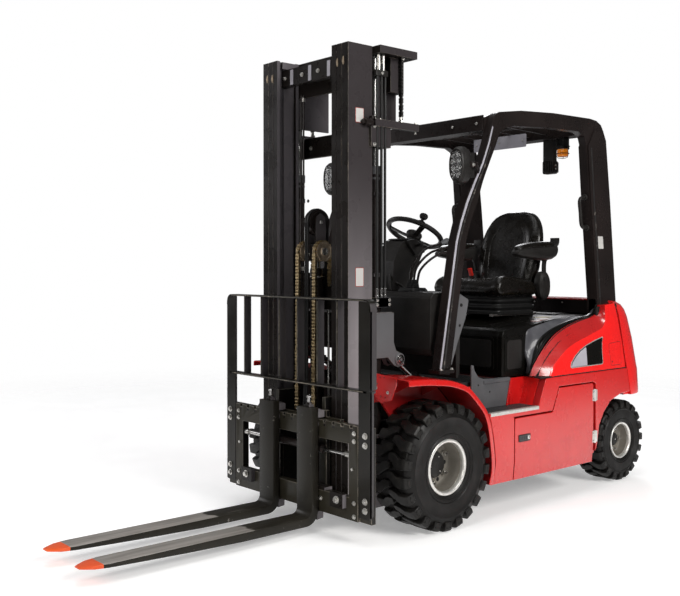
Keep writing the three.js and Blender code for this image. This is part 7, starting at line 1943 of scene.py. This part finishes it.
# ------------------------------------------------------------------ floor, light and camera
def stage():
    me = bpy.data.meshes.new("floor")
    n, R = 96, 9.0
    rings = [0.0, 1.5, 3.0, 4.5, 6.0, 7.5, R]
    v, f = [(0.2, 0.1, 0.0)], []
    for k, r in enumerate(rings[1:]):
        for i in range(n):
            a = 2 * math.pi * i / n
            v.append((0.2 + r * math.cos(a), 0.1 + r * math.sin(a), 0.0))
    for i in range(n):
        f.append((0, 1 + i, 1 + (i + 1) % n))
    for k in range(len(rings) - 2):
        for i in range(n):
            a, b = 1 + k * n + i, 1 + k * n + (i + 1) % n
            f.append((a, a + n, b + n, b))
    me.from_pydata(v, [], f)
    t = Tree("floor_pale")
    t.set(Base_Color=t.mix(t.span(t.noise(3.0, 4, 0.5), 0.35, 0.65), (0.86, 0.86, 0.86), (0.90, 0.90, 0.90)), Roughness=t.span(t.noise(12.0, 3, 0.5), 0.3, 0.7, 0.62, 0.72))
    t.b.inputs["Specular IOR Level"].default_value = 0.2
    t.b.inputs["Emission Color"].default_value = (1.0, 1.0, 1.0, 1.0)
    t.b.inputs["Emission Strength"].default_value = 0.30
    far = t.nt.nodes.new("ShaderNodeVectorMath")
    far.operation = "LENGTH"
    t.link(t.mapped(move=(-0.2, -0.1, 0)), far.inputs[0])
    clear = t.nt.nodes.new("ShaderNodeBsdfTransparent")
    mixer = t.nt.nodes.new("ShaderNodeMixShader")
    t.link(t.span(far.outputs["Value"], 2.4, 7.0), mixer.inputs[0])
    t.link(t.b.outputs[0], mixer.inputs[1])
    t.link(clear.outputs[0], mixer.inputs[2])
    out = next(x for x in t.nt.nodes if x.type == "OUTPUT_MATERIAL")
    t.link(mixer.outputs[0], out.inputs[0])
    me.materials.append(t.mat)
    o = bpy.data.objects.new("floor", me)
    SCENE.collection.objects.link(o)

    w = bpy.data.worlds.new("studio")
    SCENE.world = w
    w.use_nodes = True
    nt = w.node_tree
    nt.nodes.clear()
    out = nt.nodes.new("ShaderNodeOutputWorld")
    tc = nt.nodes.new("ShaderNodeTexCoord")
    sep = nt.nodes.new("ShaderNodeSeparateXYZ")
    nt.links.new(tc.outputs["Generated"], sep.inputs[0])
    ramp = nt.nodes.new("ShaderNodeValToRGB")
    cr = ramp.color_ramp
    cr.elements[0].position, cr.elements[0].color = 0.0, (0.50, 0.49, 0.48, 1)
    cr.elements[1].position, cr.elements[1].color = 1.0, (0.62, 0.63, 0.65, 1)
    e = cr.elements.new(0.5)
    e.color = (0.30, 0.295, 0.30, 1)
    mr = nt.nodes.new("ShaderNodeMapRange")
    mr.inputs["From Min"].default_value, mr.inputs["From Max"].default_value = -1.0, 1.0
    nt.links.new(sep.outputs["Z"], mr.inputs["Value"])
    nt.links.new(mr.outputs[0], ramp.inputs[0])
    soft = nt.nodes.new("ShaderNodeBackground")
    nt.links.new(ramp.outputs[0], soft.inputs["Color"])
    soft.inputs["Strength"].default_value = 0.30
    white = nt.nodes.new("ShaderNodeBackground")
    white.inputs["Color"].default_value = (1, 1, 1, 1)
    white.inputs["Strength"].default_value = 1.0
    lp = nt.nodes.new("ShaderNodeLightPath")
    mx = nt.nodes.new("ShaderNodeMixShader")
    nt.links.new(lp.outputs["Is Camera Ray"], mx.inputs[0])
    nt.links.new(soft.outputs[0], mx.inputs[1])
    nt.links.new(white.outputs[0], mx.inputs[2])
    nt.links.new(mx.outputs[0], out.inputs[0])

    def area(name, loc, to, sx, sy, power, colour=(1, 1, 1)):
        li = bpy.data.lights.new(name, "AREA")
        li.shape, li.size, li.size_y, li.energy, li.color = "RECTANGLE", sx, sy, power, colour
        ob = bpy.data.objects.new(name, li)
        ob.location = loc
        ob.rotation_mode = "QUATERNION"
        ob.rotation_quaternion = (Vector(to) - Vector(loc)).to_track_quat("-Z", "Y")
        SCENE.collection.objects.link(ob)

    area("key", (6.0, 0.2, 3.9), (0.2, 0.2, 0.8), 2.4, 2.6, 330, (1.0, 0.985, 0.96))
    area("front", (0.9, -6.8, 3.2), (0.0, -0.3, 1.0), 3.0, 2.2, 120, (1.0, 0.97, 0.92))
    area("rear_rim", (-3.6, 5.2, 4.4), (0.0, 0.2, 1.2), 2.5, 3.5, 150, (0.98, 0.98, 1.0))
    area("top", (0.4, -0.4, 6.0), (0.1, 0.0, 0.6), 3.5, 5.0, 130)
    area("far_side", (-6.0, -2.2, 2.6), (0.0, -0.1, 1.0), 2.6, 2.6, 90, (0.99, 0.98, 1.0))


def photo_camera():
    cam = bpy.data.cameras.new("camera")
    o = bpy.data.objects.new("camera", cam)
    SCENE.collection.objects.link(o)
    cam.sensor_fit, cam.sensor_width = "HORIZONTAL", 36.0
    cam.lens = 926.518 * 36.0 / 680.0
    cam.shift_x = -(318.29 - 340.0) / 680.0
    cam.shift_y = (279.05 - 298.0) / 680.0
    cam.clip_start, cam.clip_end = 0.05, 100.0
    cam.dof.use_dof = False
    o.location = (3.4628, -3.2292 + SHIFT * MM, 1.2336)
    o.rotation_mode = "XYZ"
    o.rotation_euler = (math.radians(90 - 0.811), 0.0, math.radians(49.7596))
    SCENE.camera = o


stage()
photo_camera()
SCENE.view_settings.view_transform = "Standard"
SCENE.view_settings.look = "None"
SCENE.view_settings.exposure = 0.0
